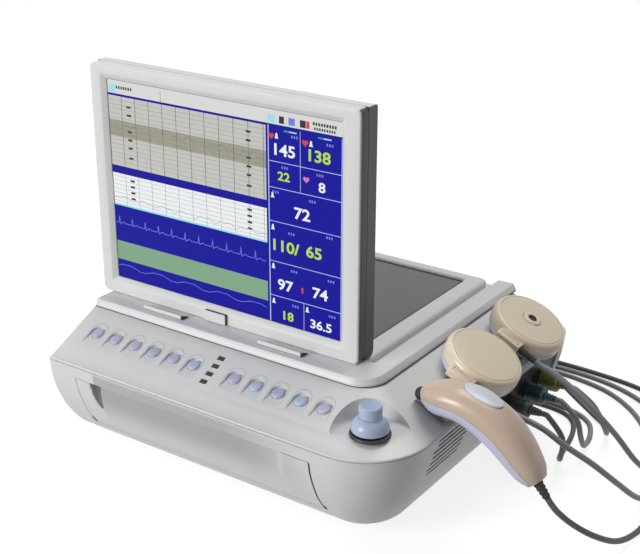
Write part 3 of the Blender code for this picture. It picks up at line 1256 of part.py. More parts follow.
def make_roller_and_head():
    """Make the paper roller with its pins, the print head bar and the folded paper."""
    middle = (ROLLER_LEFT + ROLLER_RIGHT) / 2.0
    half = (ROLLER_RIGHT - ROLLER_LEFT) / 2.0
    left_end = DOOR_LEFT + PIN_MARGIN - middle
    right_end = DOOR_RIGHT - PIN_MARGIN - middle
    profile = [
        (0.0, right_end), (ROLLER_PIN_RADIUS, right_end), (ROLLER_PIN_RADIUS, half),
        (ROLLER_RADIUS, half), (ROLLER_RADIUS, -half), (ROLLER_PIN_RADIUS, -half),
        (ROLLER_PIN_RADIUS, left_end), (0.0, left_end)]
    place = Matrix.Translation((middle, ROLLER_Y, ROLLER_Z)) @ Matrix.Rotation(
        math.radians(90.0), 4, "Y")
    as_part(turned("platen_roller", profile, place, KEY_STEPS), "rubber_dark")
    reach = SIDE_PLATE_MARGIN + SIDE_PLATE_THICKNESS + NOTCH_CLEARANCE
    head = box(
        "print_head", (DOOR_LEFT + reach, HEAD_FRONT, HEAD_BOTTOM),
        (DOOR_RIGHT - reach, HEAD_REAR, HEAD_TOP))
    as_part(head, "steel")
    paper = box(
        "paper_pack", (PAPER_LEFT, PAPER_FRONT, TRAY_TOP + GAP),
        (PAPER_RIGHT, PAPER_REAR, PAPER_TOP - GAP))
    as_part(paper, "paper_white")


# Electronics, connectors and feet

def make_electronics():
    """Make the main board with its blocks and the mains inlet in the rear wall."""
    board = box(
        "main_board", (BOARD_LEFT, BOARD_FRONT, BOARD_BOTTOM), (BOARD_RIGHT, BOARD_REAR, BOARD_TOP))
    as_part(board, "board_green")
    bm = bmesh.new()
    width = BOARD_RIGHT - BOARD_LEFT
    depth = BOARD_REAR - BOARD_FRONT
    for left, right, front, rear, rise in BLOCK_SHARES:
        add_box(
            bm, (BOARD_LEFT + width * left, BOARD_FRONT + depth * front, BOARD_TOP - GAP),
            (BOARD_LEFT + width * right, BOARD_FRONT + depth * rear, RIM_BOTTOM * rise))
    join(board, as_cutter(object_from(bm, "board_blocks")))
    inlet = box(
        "mains_inlet", (INLET_LEFT, INLET_FRONT, INLET_BOTTOM),
        (INLET_RIGHT, INLET_REAR, INLET_TOP))
    as_part(inlet, "dark_plastic")
    pocket = box(
        "inlet_pocket",
        (INLET_LEFT + INLET_POCKET_MARGIN, INLET_REAR - INLET_POCKET_DEPTH,
         INLET_BOTTOM + INLET_POCKET_MARGIN),
        (INLET_RIGHT - INLET_POCKET_MARGIN, INLET_REAR + OVERSHOOT,
         INLET_TOP - INLET_POCKET_MARGIN))
    cut(inlet, as_cutter(pocket))


def wall_x(height):
    """Return how far right the hull's wall reaches at a height."""
    return BODY_WIDTH - HULL_SIDE_SHARE * hull_inset(height)


def make_connectors():
    """Make the dark connector panel with its sockets, and the three plugs in them."""
    heights = [
        CONNECTOR_BOTTOM + (CONNECTOR_TOP - CONNECTOR_BOTTOM) * share
        for share in CONNECTOR_LEVEL_SHARES]
    outer = [(wall_x(z) - CONNECTOR_RECESS, z) for z in heights]
    inner = [(x - CONNECTOR_THICKNESS, z) for x, z in reversed(outer)]
    panel = as_part(
        extruded("connector_panel", outer + inner, "Y", CONNECTOR_FRONT, CONNECTOR_REAR),
        "dark_plastic")
    bm = bmesh.new()
    near = wall_x(SOCKET_Z - SOCKET_RADIUS) - CONNECTOR_RECESS - CONNECTOR_THICKNESS / 2.0
    for y in PLUG_YS:
        add_rod(bm, (near, y, SOCKET_Z), (SOCKET_END, y, SOCKET_Z), SOCKET_RADIUS)
    join(panel, as_cutter(object_from(bm, "sockets")))
    for name, slot, y in zip(PLUG_ORDER, ("dark_plastic", "plug_teal", "plug_olive"), PLUG_YS):
        end = PLUG_BODY + PLUG_NECK
        profile = [
            (0.0, end), (PLUG_NECK_RADIUS * NECK_END_SHARE, end),
            (PLUG_NECK_RADIUS, PLUG_BODY + GAP),
            (PLUG_RADIUS - RIM_CHAMFER, PLUG_BODY), (PLUG_RADIUS, PLUG_BODY - RIM_CHAMFER),
            (PLUG_RADIUS, 0.0), (0.0, 0.0)]
        place = Matrix.Translation((SOCKET_END + GAP, y, SOCKET_Z)) @ Matrix.Rotation(
            math.radians(90.0), 4, "Y")
        as_part(turned(f"{name}_plug", profile, place, KEY_STEPS), slot)


def make_feet():
    """Make the two rubber foot rails."""
    right = BODY_WIDTH - FOOT_RIGHT_MARGIN - FOOT_WIDTH
    for name, left in (("left", FOOT_LEFT_MARGIN), ("right", right)):
        rail = box(
            f"foot_rail_{name}", (left, FOOT_FRONT, 0.0),
            (left + FOOT_WIDTH, FOOT_REAR, FOOT_HEIGHT))
        as_part(rail, "rubber_dark")


# Probes, rack and handset

def probe_matrix(index):
    """Return the frame of a probe: origin at the middle of its top, z square to the wing."""
    place = Matrix.Translation((PROBE_TOP_X, PROBE_YS[index], PROBE_TOP_Z))
    return place @ Matrix.Rotation(PROBE_TILT, 4, "Y")


def probe_cable_start(index):
    """Return the point and direction where a probe's cable leaves its strain relief."""
    matrix = probe_matrix(index)
    reach = TAB_HALF_LENGTH + RELIEF_LENGTH + GAP
    point = matrix @ Vector((reach, RELIEF_Y, -RELIEF_DEPTH))
    return point, matrix.to_3x3() @ Vector((1.0, 0.0, 0.0))


def make_probe(name, index):
    """Make one probe: upper shell with its clip tab and strain relief, and lower shell."""
    matrix = probe_matrix(index)
    crown = [(PROBE_RADIUS * across, PROBE_THICKNESS * rise) for across, rise in PROBE_TOP_SHARES]
    top = as_part(turned(f"{name}_shell", crown, matrix, FINE_STEPS), "probe_beige")
    bm = bmesh.new()
    add_box(
        bm, (-TAB_HALF_LENGTH, -TAB_FAR, -TAB_BOTTOM), (TAB_HALF_LENGTH, -TAB_NEAR, -TAB_TOP),
        matrix)
    tab = object_from(bm, f"{name}_tab")
    join(top, as_cutter(tab))
    bm = bmesh.new()
    start = matrix @ Vector((TAB_HALF_LENGTH - RELIEF_RADIUS, RELIEF_Y, -RELIEF_DEPTH))
    end = matrix @ Vector((TAB_HALF_LENGTH + RELIEF_LENGTH, RELIEF_Y, -RELIEF_DEPTH))
    add_rod(bm, start, end, RELIEF_RADIUS, steps=KEY_STEPS, end_radius=RELIEF_END_RADIUS)
    join(top, as_cutter(object_from(bm, f"{name}_relief")))
    cup = [(PROBE_RADIUS * across, PROBE_THICKNESS * rise) for across, rise in PROBE_BASE_SHARES]
    as_part(turned(f"{name}_base", cup, matrix, FINE_STEPS), "probe_lavender")
    return top


def make_probes():
    """Make the ring-grooved front probe and the rear probe with its sensing button."""
    front = make_probe("front_probe", 0)
    half = GROOVE_WIDTH / 2.0
    ring = [
        (GROOVE_RADIUS - half, OVERSHOOT), (GROOVE_RADIUS + half, OVERSHOOT),
        (GROOVE_RADIUS + half, -GROOVE_DEPTH), (GROOVE_RADIUS - half, -GROOVE_DEPTH)]
    cut(front, as_cutter(turned_ring("probe_groove", ring, probe_matrix(0), FINE_STEPS)))
    rear = make_probe("rear_probe", 1)
    matrix = probe_matrix(1)
    bm = bmesh.new()
    add_rod(
        bm, matrix @ Vector((0.0, 0.0, -SENSOR_POCKET_DEPTH)),
        matrix @ Vector((0.0, 0.0, OVERSHOOT)), SENSOR_RADIUS + KEY_HOLE_CLEARANCE)
    cut(rear, as_cutter(object_from(bm, "sensor_pocket")))
    bottom = SENSOR_POCKET_DEPTH - SENSOR_STROKE - KEY_HOLE_CLEARANCE
    profile = [
        (0.0, SENSOR_RISE), (SENSOR_RADIUS - KEY_EDGE, SENSOR_RISE),
        (SENSOR_RADIUS, SENSOR_RISE - KEY_EDGE), (SENSOR_RADIUS, -bottom), (0.0, -bottom)]
    as_part(turned("probe_sensor", profile, matrix, ROUND_STEPS), "probe_lavender")


def handset_frame(index):
    """Return a section's middle, its direction along the handset and its upward normal."""
    before = HANDSET_SECTIONS[max(index - 1, 0)]
    after = HANDSET_SECTIONS[min(index + 1, len(HANDSET_SECTIONS) - 1)]
    along = Vector((after[0] - before[0], 0.0, after[1] - before[1])).normalized()
    up = Vector((-along.z, 0.0, along.x))
    here = HANDSET_SECTIONS[index]
    return Vector((here[0], HANDSET_Y, here[1])), along, up


def handset_half(sign, swell=0.0):
    """Return the D-shaped sections of the upper (1) or lower (-1) shell."""
    rings = []
    for index, section in enumerate(HANDSET_SECTIONS):
        middle, along, up = handset_frame(index)
        height = (section[2] if sign > 0.0 else section[3]) + swell
        width = section[4] + swell
        ring = []
        for step in range(HANDSET_ARC_STEPS + 1):
            angle = math.pi * step / HANDSET_ARC_STEPS
            across = math.copysign(
                abs(math.cos(angle)) ** HANDSET_FULLNESS_SHARE, math.cos(angle)) * width
            rise = max(math.sin(angle), 0.0) ** HANDSET_FULLNESS_SHARE * height + GAP / 2.0
            ring.append(middle + Vector((0.0, across, 0.0)) + up * (sign * rise))
        rings.append(ring)
    return rings


def add_oval(bm, matrix, half_length, half_width, low, high):
    """Add an upright oval block in a frame."""
    stretch = Matrix.Diagonal((half_length, half_width, high - low, 1.0))
    place = matrix @ Matrix.Translation((0.0, 0.0, (low + high) / 2.0)) @ stretch
    bmesh.ops.create_cone(
        bm, cap_ends=True, segments=ROUND_STEPS, radius1=1.0, radius2=1.0, depth=1.0, matrix=place)


def handset_button_matrix():
    """Return the frame of the handset's button on the crown of the upper shell."""
    middle, along, up = handset_frame(HANDSET_BUTTON_SECTION)
    top = middle + up * HANDSET_SECTIONS[HANDSET_BUTTON_SECTION][2]
    columns = (along, up.cross(along), up)
    matrix = Matrix.Identity(4)
    for column, vector in enumerate(columns):
        for row in range(3):
            matrix[row][column] = vector[row]
    return Matrix.Translation(top) @ matrix


def make_handset():
    """Make the handset's two shells, black tip, oval button and strain relief."""
    upper = as_part(loft("handset_upper", handset_half(1.0)), "probe_beige", smooth=True)
    lower = as_part(loft("handset_lower", handset_half(-1.0)), "probe_lavender", smooth=True)
    end, along, up = handset_frame(len(HANDSET_SECTIONS) - 1)
    inside = end - along * HANDSET_RELIEF_RADIUS
    outside = end + along * HANDSET_RELIEF_LENGTH
    bm = bmesh.new()
    add_rod(
        bm, inside, outside, HANDSET_RELIEF_RADIUS, steps=KEY_STEPS,
        end_radius=PLUG_NECK_RADIUS * NECK_END_SHARE)
    join(lower, as_cutter(object_from(bm, "handset_relief")))
    bm = bmesh.new()
    add_rod(bm, inside - along * GAP, outside, HANDSET_RELIEF_RADIUS + GAP, steps=KEY_STEPS)
    cut(upper, as_cutter(object_from(bm, "relief_clearance")))

    start, along, up = handset_frame(0)
    tip = start - along * GAP
    turn = (-along).to_track_quat("Z", "Y").to_matrix().to_4x4()
    dome = [
        (HANDSET_LENGTH * HANDSET_TIP_RADIUS_SHARE * math.sin(math.radians(angle)),
         HANDSET_LENGTH * HANDSET_TIP_LENGTH_SHARE * math.cos(math.radians(angle)))
        for angle in range(0, 91, 15)]
    dome.append((0.0, 0.0))
    as_part(turned("handset_tip", dome, Matrix.Translation(tip) @ turn, KEY_STEPS), "rubber_dark")

    matrix = handset_button_matrix()
    skin = as_cutter(loft("button_skin", handset_half(1.0, HANDSET_BUTTON_RISE)))
    bm = bmesh.new()
    bottom = HANDSET_POCKET_DEPTH + GAP
    add_oval(bm, matrix, HANDSET_BUTTON_LENGTH, HANDSET_BUTTON_WIDTH, -bottom, OVERSHOOT)
    button = object_from(bm, "handset_button", matrix.translation)
    as_part(button, "probe_lavender", smooth=True)
    combine(button, skin, "INTERSECT")
    bm = bmesh.new()
    floor = bottom + HANDSET_STROKE + KEY_HOLE_CLEARANCE
    add_oval(
        bm, matrix, HANDSET_BUTTON_LENGTH + KEY_HOLE_CLEARANCE,
        HANDSET_BUTTON_WIDTH + KEY_HOLE_CLEARANCE, -floor, OVERSHOOT)
    cut(upper, as_cutter(object_from(bm, "button_pocket")))


def handset_cable_start():
    """Return the point and direction where the handset's cable leaves its strain relief."""
    end, along, up = handset_frame(len(HANDSET_SECTIONS) - 1)
    return end + along * (HANDSET_RELIEF_LENGTH + GAP), along


def make_rack():
    """Make the rubber rack on the wing: a base strip, two rests and the handset's arm."""
    def on_wing(x, lift):
        return (x, wing_height(x) + lift)

    lift = GAP / math.cos(PROBE_TILT)
    strip = [
        on_wing(RACK_LEFT, lift), on_wing(RACK_RIGHT, lift),
        on_wing(RACK_RIGHT, lift + RACK_THICKNESS), on_wing(RACK_LEFT, lift + RACK_THICKNESS)]
    rack = as_part(extruded("probe_rack", strip, "Y", RACK_FRONT, RACK_REAR), "rubber_dark")
    gap_to_wing = (PROBE_TOP_Z - wing_height(PROBE_TOP_X)) * math.cos(PROBE_TILT) - GAP
    for index in range(len(PROBE_YS)):
        matrix = probe_matrix(index)
        bm = bmesh.new()
        add_rod(
            bm, matrix @ Vector((0.0, 0.0, -gap_to_wing)),
            matrix @ Vector((0.0, 0.0, -PROBE_THICKNESS - REST_CLEARANCE)), REST_RADIUS)
        join(rack, as_cutter(object_from(bm, f"rest_{index + 1}")))
    upper = []
    under = []
    for index in range(*ARM_SECTIONS):
        middle, along, up = handset_frame(index)
        low = HANDSET_SECTIONS[index][3]
        point = middle - up * (low + ARM_CLEARANCE)
        upper.append((point.x, point.z))
        if index >= ARM_FREE_SECTION:
            point = middle - up * (low + ARM_THICKNESS)
            under.append((point.x, point.z))
    arm = [
        on_wing(RACK_LEFT + RACK_THICKNESS, lift * 2.0),
        on_wing(RACK_RIGHT - RACK_THICKNESS, lift * 2.0)]
    arm += under + list(reversed(upper))
    join(rack, as_cutter(extruded("handset_arm", arm, "Y", ARM_FRONT, ARM_REAR)))


# Cables

COILS = {
    "front_probe": ((-0.1394, 0.0500), 6),
    "rear_probe": ((-0.0694, 0.0500), 6),
    "handset": ((-0.2094, 0.0500), 4),
}
COIL_PART_TURN = 0.5
ROUTES_OUT = {
    "front_probe": (
        (0.0376, -0.1985, 0.1040), (0.0636, -0.1990, 0.0990), (0.0826, -0.1970, 0.0890),
        (0.1016, -0.1860, 0.0740), (0.1156, -0.1640, 0.0500), (0.1216, -0.1340, 0.0240),
        (0.1196, -0.1040, 0.0070), (0.1176, -0.0760, 0.0029), (0.1096, -0.0160, 0.0029),
        (0.0856, 0.0340, 0.0029), (0.0456, 0.0690, 0.0029), (-0.0044, 0.0860, 0.0029),
        (-0.0744, 0.0880, 0.0029), (-0.1064, 0.0840, 0.0029)),
    "rear_probe": (
        (0.0326, -0.1130, 0.1035), (0.0536, -0.1130, 0.0920), (0.0746, -0.1125, 0.0770),
        (0.0926, -0.1090, 0.0590), (0.1036, -0.0960, 0.0360), (0.1056, -0.0700, 0.0140),
        (0.1016, -0.0460, 0.0045), (0.0956, -0.0260, 0.0029), (0.0776, 0.0090, 0.0029),
        (0.0506, 0.0420, 0.0029), (0.0156, 0.0660, 0.0029), (-0.0244, 0.0760, 0.0029)),
    "handset": (
        (0.0976, -0.2350, 0.0530), (0.1076, -0.2290, 0.0430), (0.1196, -0.2140, 0.0290),
        (0.1286, -0.1880, 0.0130), (0.1326, -0.1580, 0.0045), (0.1336, -0.1260, 0.0029),
        (0.1326, -0.0660, 0.0029), (0.1236, -0.0010, 0.0029), (0.0956, 0.0540, 0.0029),
        (0.0506, 0.0870, 0.0029), (-0.0094, 0.0980, 0.0029), (-0.0944, 0.0980, 0.0029),
        (-0.1644, 0.0920, 0.0029)),
}
ROUTES_BACK = {
    "front_probe": (
        (-0.1094, 0.0140, 0.0300), (-0.0794, 0.0125, 0.0080), (-0.0494, 0.0125, 0.0029),
        (-0.0044, 0.0110, 0.0029), (0.0236, -0.0020, 0.0029), (0.0366, -0.0260, 0.0029),
        (0.0426, -0.0540, 0.0080), (0.0476, -0.0760, 0.0280), (0.0466, -0.0870, 0.0510)),
    "rear_probe": (
        (-0.0344, 0.0220, 0.0350), (-0.0044, 0.0200, 0.0160), (0.0196, 0.0140, 0.0050),
        (0.0406, -0.0010, 0.0035), (0.0516, -0.0240, 0.0100), (0.0546, -0.0440, 0.0300),
        (0.0496, -0.0580, 0.0530)),
    "handset": (
        (-0.1764, 0.0120, 0.0200), (-0.1444, 0.0055, 0.0045), (-0.1144, 0.0050, 0.0029),
        (-0.0544, 0.0050, 0.0029), (-0.0094, 0.0030, 0.0029), (0.0116, -0.0100, 0.0029),
        (0.0226, -0.0360, 0.0029), (0.0296, -0.0760, 0.0040), (0.0406, -0.1020, 0.0180),
        (0.0466, -0.1160, 0.0460)),
}
ROUTE_STEPS = 20


def smooth_route(points, spacing):
    """Read even points from a smooth curve; the first and last runs stay straight."""
    dense = []
    for index in range(1, len(points) - 2):
        before, first, second, after = points[index - 1:index + 3]
        for step in range(ROUTE_STEPS):
            t = step / ROUTE_STEPS
            dense.append(0.5 * (
                first * 2.0 + (second - before) * t
                + (before * 2.0 - first * 5.0 + second * 4.0 - after) * t * t
                + (first * 3.0 - before - second * 3.0 + after) * t * t * t))
    dense.append(points[-2])
    lengths = [0.0]
    for first, second in zip(dense, dense[1:]):
        lengths.append(lengths[-1] + (second - first).length)
    count = max(2, round(lengths[-1] / spacing))
    route = [points[0]]
    cursor = 0
    for step in range(count + 1):
        target = lengths[-1] * step / count
        while cursor < len(lengths) - 2 and lengths[cursor + 1] < target:
            cursor += 1
        share = (target - lengths[cursor]) / (lengths[cursor + 1] - lengths[cursor])
        route.append(dense[cursor].lerp(dense[cursor + 1], min(share, 1.0)))
    route.append(points[-1])
    return route, sum((b - a).length for a, b in zip(route, route[1:]))


def cable_tube(name, points, resolution):
    """Make a round cable along points."""
    curve = bpy.data.curves.new(name, "CURVE")
    curve.dimensions = "3D"
    curve.bevel_depth = CABLE_RADIUS
    curve.bevel_resolution = resolution
    curve.use_fill_caps = True
    spline = curve.splines.new("POLY")
    spline.points.add(len(points) - 1)
    for point, place in zip(spline.points, points):
        point.co = (place.x, place.y, place.z, 1.0)
    tube = curve_to_object(curve, name, Matrix.Identity(4))
    return as_part(tube, "cable_grey", smooth=True)


def coil_points(centre, turns):
    """Return the coil's points: straight in, whole turns upwards, straight out at the front."""
    start = Vector((centre[0], centre[1] + COIL_RADIUS, COIL_BASE))
    points = [start + Vector((2.0 * CABLE_RADIUS, 0.0, 0.0))]
    total = int((turns + COIL_PART_TURN) * COIL_SEGMENTS)
    for step in range(total + 1):
        turn = step / COIL_SEGMENTS
        angle = math.tau * turn + math.pi / 2.0
        points.append(Vector((
            centre[0] + COIL_RADIUS * math.cos(angle), centre[1] + COIL_RADIUS * math.sin(angle),
            COIL_BASE + COIL_PITCH * turn)))
    points.append(points[-1] + Vector((2.0 * CABLE_RADIUS, 0.0, 0.0)))
    return points


def from_corner(point):
    """Return a route point that is given from the body's right rear corner."""
    return Vector((BODY_WIDTH, BODY_DEPTH, 0.0)) + Vector(point)


def least_gap(points):
    """Return the least clear distance between runs that lie over half a turn apart."""
    apart = COIL_SEGMENTS // 2 + 1
    nearest = min(
        (points[index] - points[other]).length
        for index in range(len(points)) for other in range(index + apart, len(points)))
    return nearest - 2.0 * CABLE_RADIUS


def make_cable(name, start, direction, plug_index):
    """Make one cable: from its strain relief to the coil, the coil, and on to its plug."""
    place, turns = COILS[name]
    straight = 2.0 * CABLE_RADIUS
    coil = coil_points(from_corner((place[0], place[1], 0.0)), turns)
    print(name, "coil's least gap, mm", round(least_gap(coil) * 1000.0, 2))
    inward = coil[0] + Vector((GAP, 0.0, 0.0))
    route = [start, start + direction * straight]
    route += [from_corner(point) for point in ROUTES_OUT[name]]
    route += [inward + Vector((straight, 0.0, 0.0)), inward]
    out_points, out_length = smooth_route(route, CABLE_SPACING)
    cable_tube(f"{name}_cable_out", out_points, 2)
    cable_tube(f"{name}_cable_coil", coil, 1)
    leave = coil[-1] + Vector((GAP, 0.0, 0.0))
    plug = Vector((
        SOCKET_END + 2.0 * GAP + PLUG_BODY + PLUG_NECK, PLUG_YS[plug_index], SOCKET_Z))
    route = [leave, leave + Vector((straight, 0.0, 0.0))]
    route += [from_corner(point) for point in ROUTES_BACK[name]]
    route += [plug + Vector((straight, 0.0, 0.0)), plug]
    back_points, back_length = smooth_route(route, CABLE_SPACING)
    cable_tube(f"{name}_cable_back", back_points, 2)
    coil_length = sum((b - a).length for a, b in zip(coil, coil[1:]))
    print(name, "cable lengths", round(out_length, 3), round(coil_length, 3), round(back_length, 3))


def make_cables():
    """Make the three cables."""
    for index in range(2):
        start, direction = probe_cable_start(index)
        name = ("front_probe", "rear_probe")[index]
        make_cable(name, start, direction, PLUG_ORDER.index(name))
    start, direction = handset_cable_start()
    make_cable("handset", start, direction, PLUG_ORDER.index("handset"))


def place_at_origin():
    """Move everything so that the origin is under the middle of the monitor."""
    shift = Vector((ORIGIN_MARGIN - BODY_WIDTH, -BODY_DEPTH * ORIGIN_DEPTH_SHARE, 0.0))
    for name in (PARTS_NAME, CUTTERS_NAME):
        for obj in bpy.data.collections[name].objects:
            obj.location = obj.location + shift


def main():
    """Build every piece."""
    clear_scene()
    make_lower_housing()
    make_upper_housing()
    make_platform()
    make_cradle()
    make_display()
    make_tilt_brackets()
    make_keys()
    make_key_board()
    make_knob()
    make_door()
    make_recorder_frame()
    make_roller_and_head()
    make_electronics()
    make_connectors()
    make_feet()
    make_probes()
    make_handset()
    make_rack()
    make_cables()
    place_at_origin()


if __name__ == "__main__":
    main()
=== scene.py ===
"""Looks of a bedside fetal monitor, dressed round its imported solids.

Sizes are in millimetres in the working frame of the solids, whose corner is the left front
corner of the rim, on the table. They become metres in the row frame when a mesh is written.
Each sub-assembly is a class. Its surfaces are numpy grids: profiles turned about an axis,
sections skinned along a line, or flat outlines raised between heights.
"""
from __future__ import annotations

import json
import logging
import math
from dataclasses import dataclass, field
from enum import Enum
from functools import lru_cache

import bmesh
import bpy
import numpy as np
from mathutils import Matrix

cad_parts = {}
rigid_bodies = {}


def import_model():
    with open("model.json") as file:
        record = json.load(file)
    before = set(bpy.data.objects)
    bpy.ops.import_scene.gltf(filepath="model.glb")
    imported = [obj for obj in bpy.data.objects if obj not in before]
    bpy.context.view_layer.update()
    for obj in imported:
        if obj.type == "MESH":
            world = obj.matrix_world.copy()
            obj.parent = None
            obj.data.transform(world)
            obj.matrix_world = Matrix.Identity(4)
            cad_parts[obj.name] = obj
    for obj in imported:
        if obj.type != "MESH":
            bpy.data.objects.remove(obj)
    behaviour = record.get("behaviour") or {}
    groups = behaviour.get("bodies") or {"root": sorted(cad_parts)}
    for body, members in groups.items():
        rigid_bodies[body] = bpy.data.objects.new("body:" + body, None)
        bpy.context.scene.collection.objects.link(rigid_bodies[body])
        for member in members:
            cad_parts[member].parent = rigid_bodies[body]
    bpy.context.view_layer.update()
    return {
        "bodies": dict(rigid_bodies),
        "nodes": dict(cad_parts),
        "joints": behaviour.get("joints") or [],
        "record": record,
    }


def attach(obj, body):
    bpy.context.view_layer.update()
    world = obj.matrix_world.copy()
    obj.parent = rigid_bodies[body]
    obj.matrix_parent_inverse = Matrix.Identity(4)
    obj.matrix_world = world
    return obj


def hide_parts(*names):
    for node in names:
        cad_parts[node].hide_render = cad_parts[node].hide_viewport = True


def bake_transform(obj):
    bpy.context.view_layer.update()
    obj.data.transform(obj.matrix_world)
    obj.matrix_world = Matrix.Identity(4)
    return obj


LOG = logging.getLogger("fetal_monitor")
Points = np.ndarray
Object = bpy.types.Object

# Units and the sizes that several assemblies share

MM = 0.001
ORIGIN = np.array([217.78, 163.0, 0.0])
WELD = 2e-6
WIDTH = 354.4
DEPTH = 326.0
CORNER = np.array([WIDTH, DEPTH, 0.0])
RIM_FRONT = 3.7
RIM_TOP = 96.2
PANEL_RUN = 57.2
PANEL_RISE = 27.1
PANEL_ANGLE = math.atan2(PANEL_RISE, PANEL_RUN)
DECK_TOP = 123.3
DECK_RIGHT = 298.1
WING_SLOPE = 0.4875
WING_ANGLE = math.atan(WING_SLOPE)
RECESS_TILT = math.radians(14.0)
RECESS_FRONT = 25.0
KEY_DEPTH = 37.6
KEY_PLACES = [24.5 + 22.3 * i for i in range(6)] + [180.0 + 22.6 * i for i in range(5)]
KNOB_PLACE = (315.6, 35.0)
POCKET_FLOOR = 103.0
BRACKETS = (73.4, 202.4)
SCREEN_BOX = (7.1, 253.1, 146.0, 330.5)
TILT_AXIS = (103.5, 134.5)
SOCKET_FACE = 353.3
SOCKET_HEIGHT = 66.0
PLUG_REACH = 28.0
PLUG_DEPTHS = {"handset": 206.0, "front_probe": 236.0, "rear_probe": 265.0}
PROBE_DEPTHS = {"front_probe": 165.5, "rear_probe": 250.5}
HULL_LEVELS = np.array([
    (4.1, 51.0), (8.5, 44.9), (13.9, 38.0), (20.5, 31.3), (28.3, 25.0), (36.4, 19.1),
    (44.5, 14.0), (55.2, 9.0), (70.6, 3.5), (81.0, 1.4), (93.7, 0.0)])


# Frame and outline arithmetic

def unit(vector: Points) -> Points:
    """Return vectors divided by their lengths."""
    return vector / np.linalg.norm(vector, axis=-1, keepdims=True)


def arc(centre: tuple, radii: tuple, start: float, end: float, steps: int) -> Points:
    """Return an elliptical arc: the centre plus each radius times the angle's cosine or sine.

    Args:
        centre: middle of the ellipse.
        radii: half widths along the two axes.
        start: first angle in degrees.
        end: last angle in degrees.
        steps: number of equal parts.

    Returns:
        An array of (steps + 1, 2) points.
    """
    angle = np.radians(np.linspace(start, end, steps + 1))
    return np.column_stack(
        (centre[0] + radii[0] * np.cos(angle), centre[1] + radii[1] * np.sin(angle)))


def rounded_rectangle(left: float, right: float, low: float, high: float, radius: float,
                      steps: int = 10) -> Points:
    """Return a rectangle whose corners are quarter circles.

    Args:
        left, right, low, high: its four sides.
        radius: radius of each corner.
        steps: number of parts of each corner.

    Returns:
        The points, anticlockwise from the lower left corner.
    """
    middles = ((left + radius, low + radius), (right - radius, low + radius),
               (right - radius, high - radius), (left + radius, high - radius))
    return np.concatenate([
        arc(middle, (radius, radius), start, start + 90.0, steps)
        for middle, start in zip(middles, (180.0, 270.0, 0.0, 90.0))])


def body_outline(left: float, right: float, front: float, rear: float, radii: tuple,
                 rear_radius: float) -> Points:
    """Return the housing's plan: square left corners, an elliptical front right corner and a
    round rear right one.

    Args:
        left, right, front, rear: its four sides.
        radii: the front right corner's half widths.
        rear_radius: the rear right corner's radius.

    Returns:
        The points, anticlockwise from the left front corner.
    """
    pair = (rear_radius, rear_radius)
    return np.concatenate((
        [[left, front]],
        arc((right - radii[0], front + radii[1]), radii, -90.0, 0.0, 30),
        arc((right - rear_radius, rear - rear_radius), pair, 0.0, 90.0, 10),
        [[left, rear]]))


def lifted(plan: Points, height: float) -> Points:
    """Give (x, y) points one height."""
    return np.column_stack((plan, np.full(len(plan), height)))


def upright(front_view: Points, depth: float) -> Points:
    """Stand (x, z) points up at one depth."""
    return np.column_stack((front_view[:, 0], np.full(len(front_view), depth), front_view[:, 1]))


def sideways(side_view: Points) -> Points:
    """Stand (y, z) points up at the width 0."""
    return np.column_stack((np.zeros(len(side_view)), side_view))


def smooth_table(keys: Points, values: Points, wanted: Points) -> Points:
    """Read a smooth curve through a table: cubic pieces whose slopes average their neighbours'.

    Each piece is the cubic Hermite blend of its two values and slopes, where an inner slope is
    the mean of the straight slopes on both sides and an end slope is the straight one.

    Args:
        keys: rising positions, shape (n,).
        values: one row of values for each key, shape (n,) or (n, k).
        wanted: positions to read.

    Returns:
        The values at the wanted positions.
    """
    flat = values[:, None] if values.ndim == 1 else values
    rise = np.diff(flat, axis=0) / np.diff(keys)[:, None]
    slope = np.concatenate((rise[:1], (rise[:-1] + rise[1:]) / 2.0, rise[-1:]))
    place = np.clip(np.searchsorted(keys, wanted, side="right") - 1, 0, len(keys) - 2)
    span = (keys[place + 1] - keys[place])[:, None]
    t = ((wanted - keys[place])[:, None]) / span
    low, high = flat[place], flat[place + 1]
    out = (low * (2 * t**3 - 3 * t**2 + 1) + slope[place] * span * (t**3 - 2 * t**2 + t)
           + high * (3 * t**2 - 2 * t**3) + slope[place + 1] * span * (t**3 - t**2))
    return out[:, 0] if values.ndim == 1 else out


def smooth_path(table: Points, count: int) -> Points:
    """Return a smooth curve through points, read evenly along the sum of their distances.

    Args:
        table: the points, shape (n, 2).
        count: number of points to return.

    Returns:
        An array of (count, 2) points.
    """
    key = np.concatenate(([0.0], np.cumsum(np.hypot(*np.diff(table, axis=0).T))))
    return smooth_table(key, table, np.linspace(0.0, key[-1], count))


def filleted(corners: list, steps: int = 5) -> Points:
    """Round the corners of an open polyline with circular arcs.

    A corner of radius r is cut back r times the tangent of half its turn on both sides, and
    the arc's points blend the two tangents' directions evenly about the centre.

    Args:
        corners: (first, second, radius) for each corner; the ends keep radius 0.
        steps: number of parts of each arc.

    Returns:
        The rounded polyline as an array of (n, 2).
    """
    table = np.array(corners, float)
    out = [table[0, :2]]
    for before, here, after in zip(table, table[1:], table[2:]):
        radius = here[2]
        if radius <= 0.0:
            out.append(here[:2])
            continue
        back = unit(before[:2] - here[:2])
        ahead = unit(after[:2] - here[:2])
        half = math.acos(float(np.clip(back @ ahead, -1.0, 1.0))) / 2.0
        cut = radius / math.tan(half)
        centre = here[:2] + unit(back + ahead) * radius / math.sin(half)
        first = here[:2] + back * cut - centre
        last = here[:2] + ahead * cut - centre
        share = np.linspace(0.0, 1.0, steps + 1)[:, None]
        out.extend(centre + unit(first * (1.0 - share) + last * share) * radius)
    out.append(table[-1, :2])
    return np.array(out)


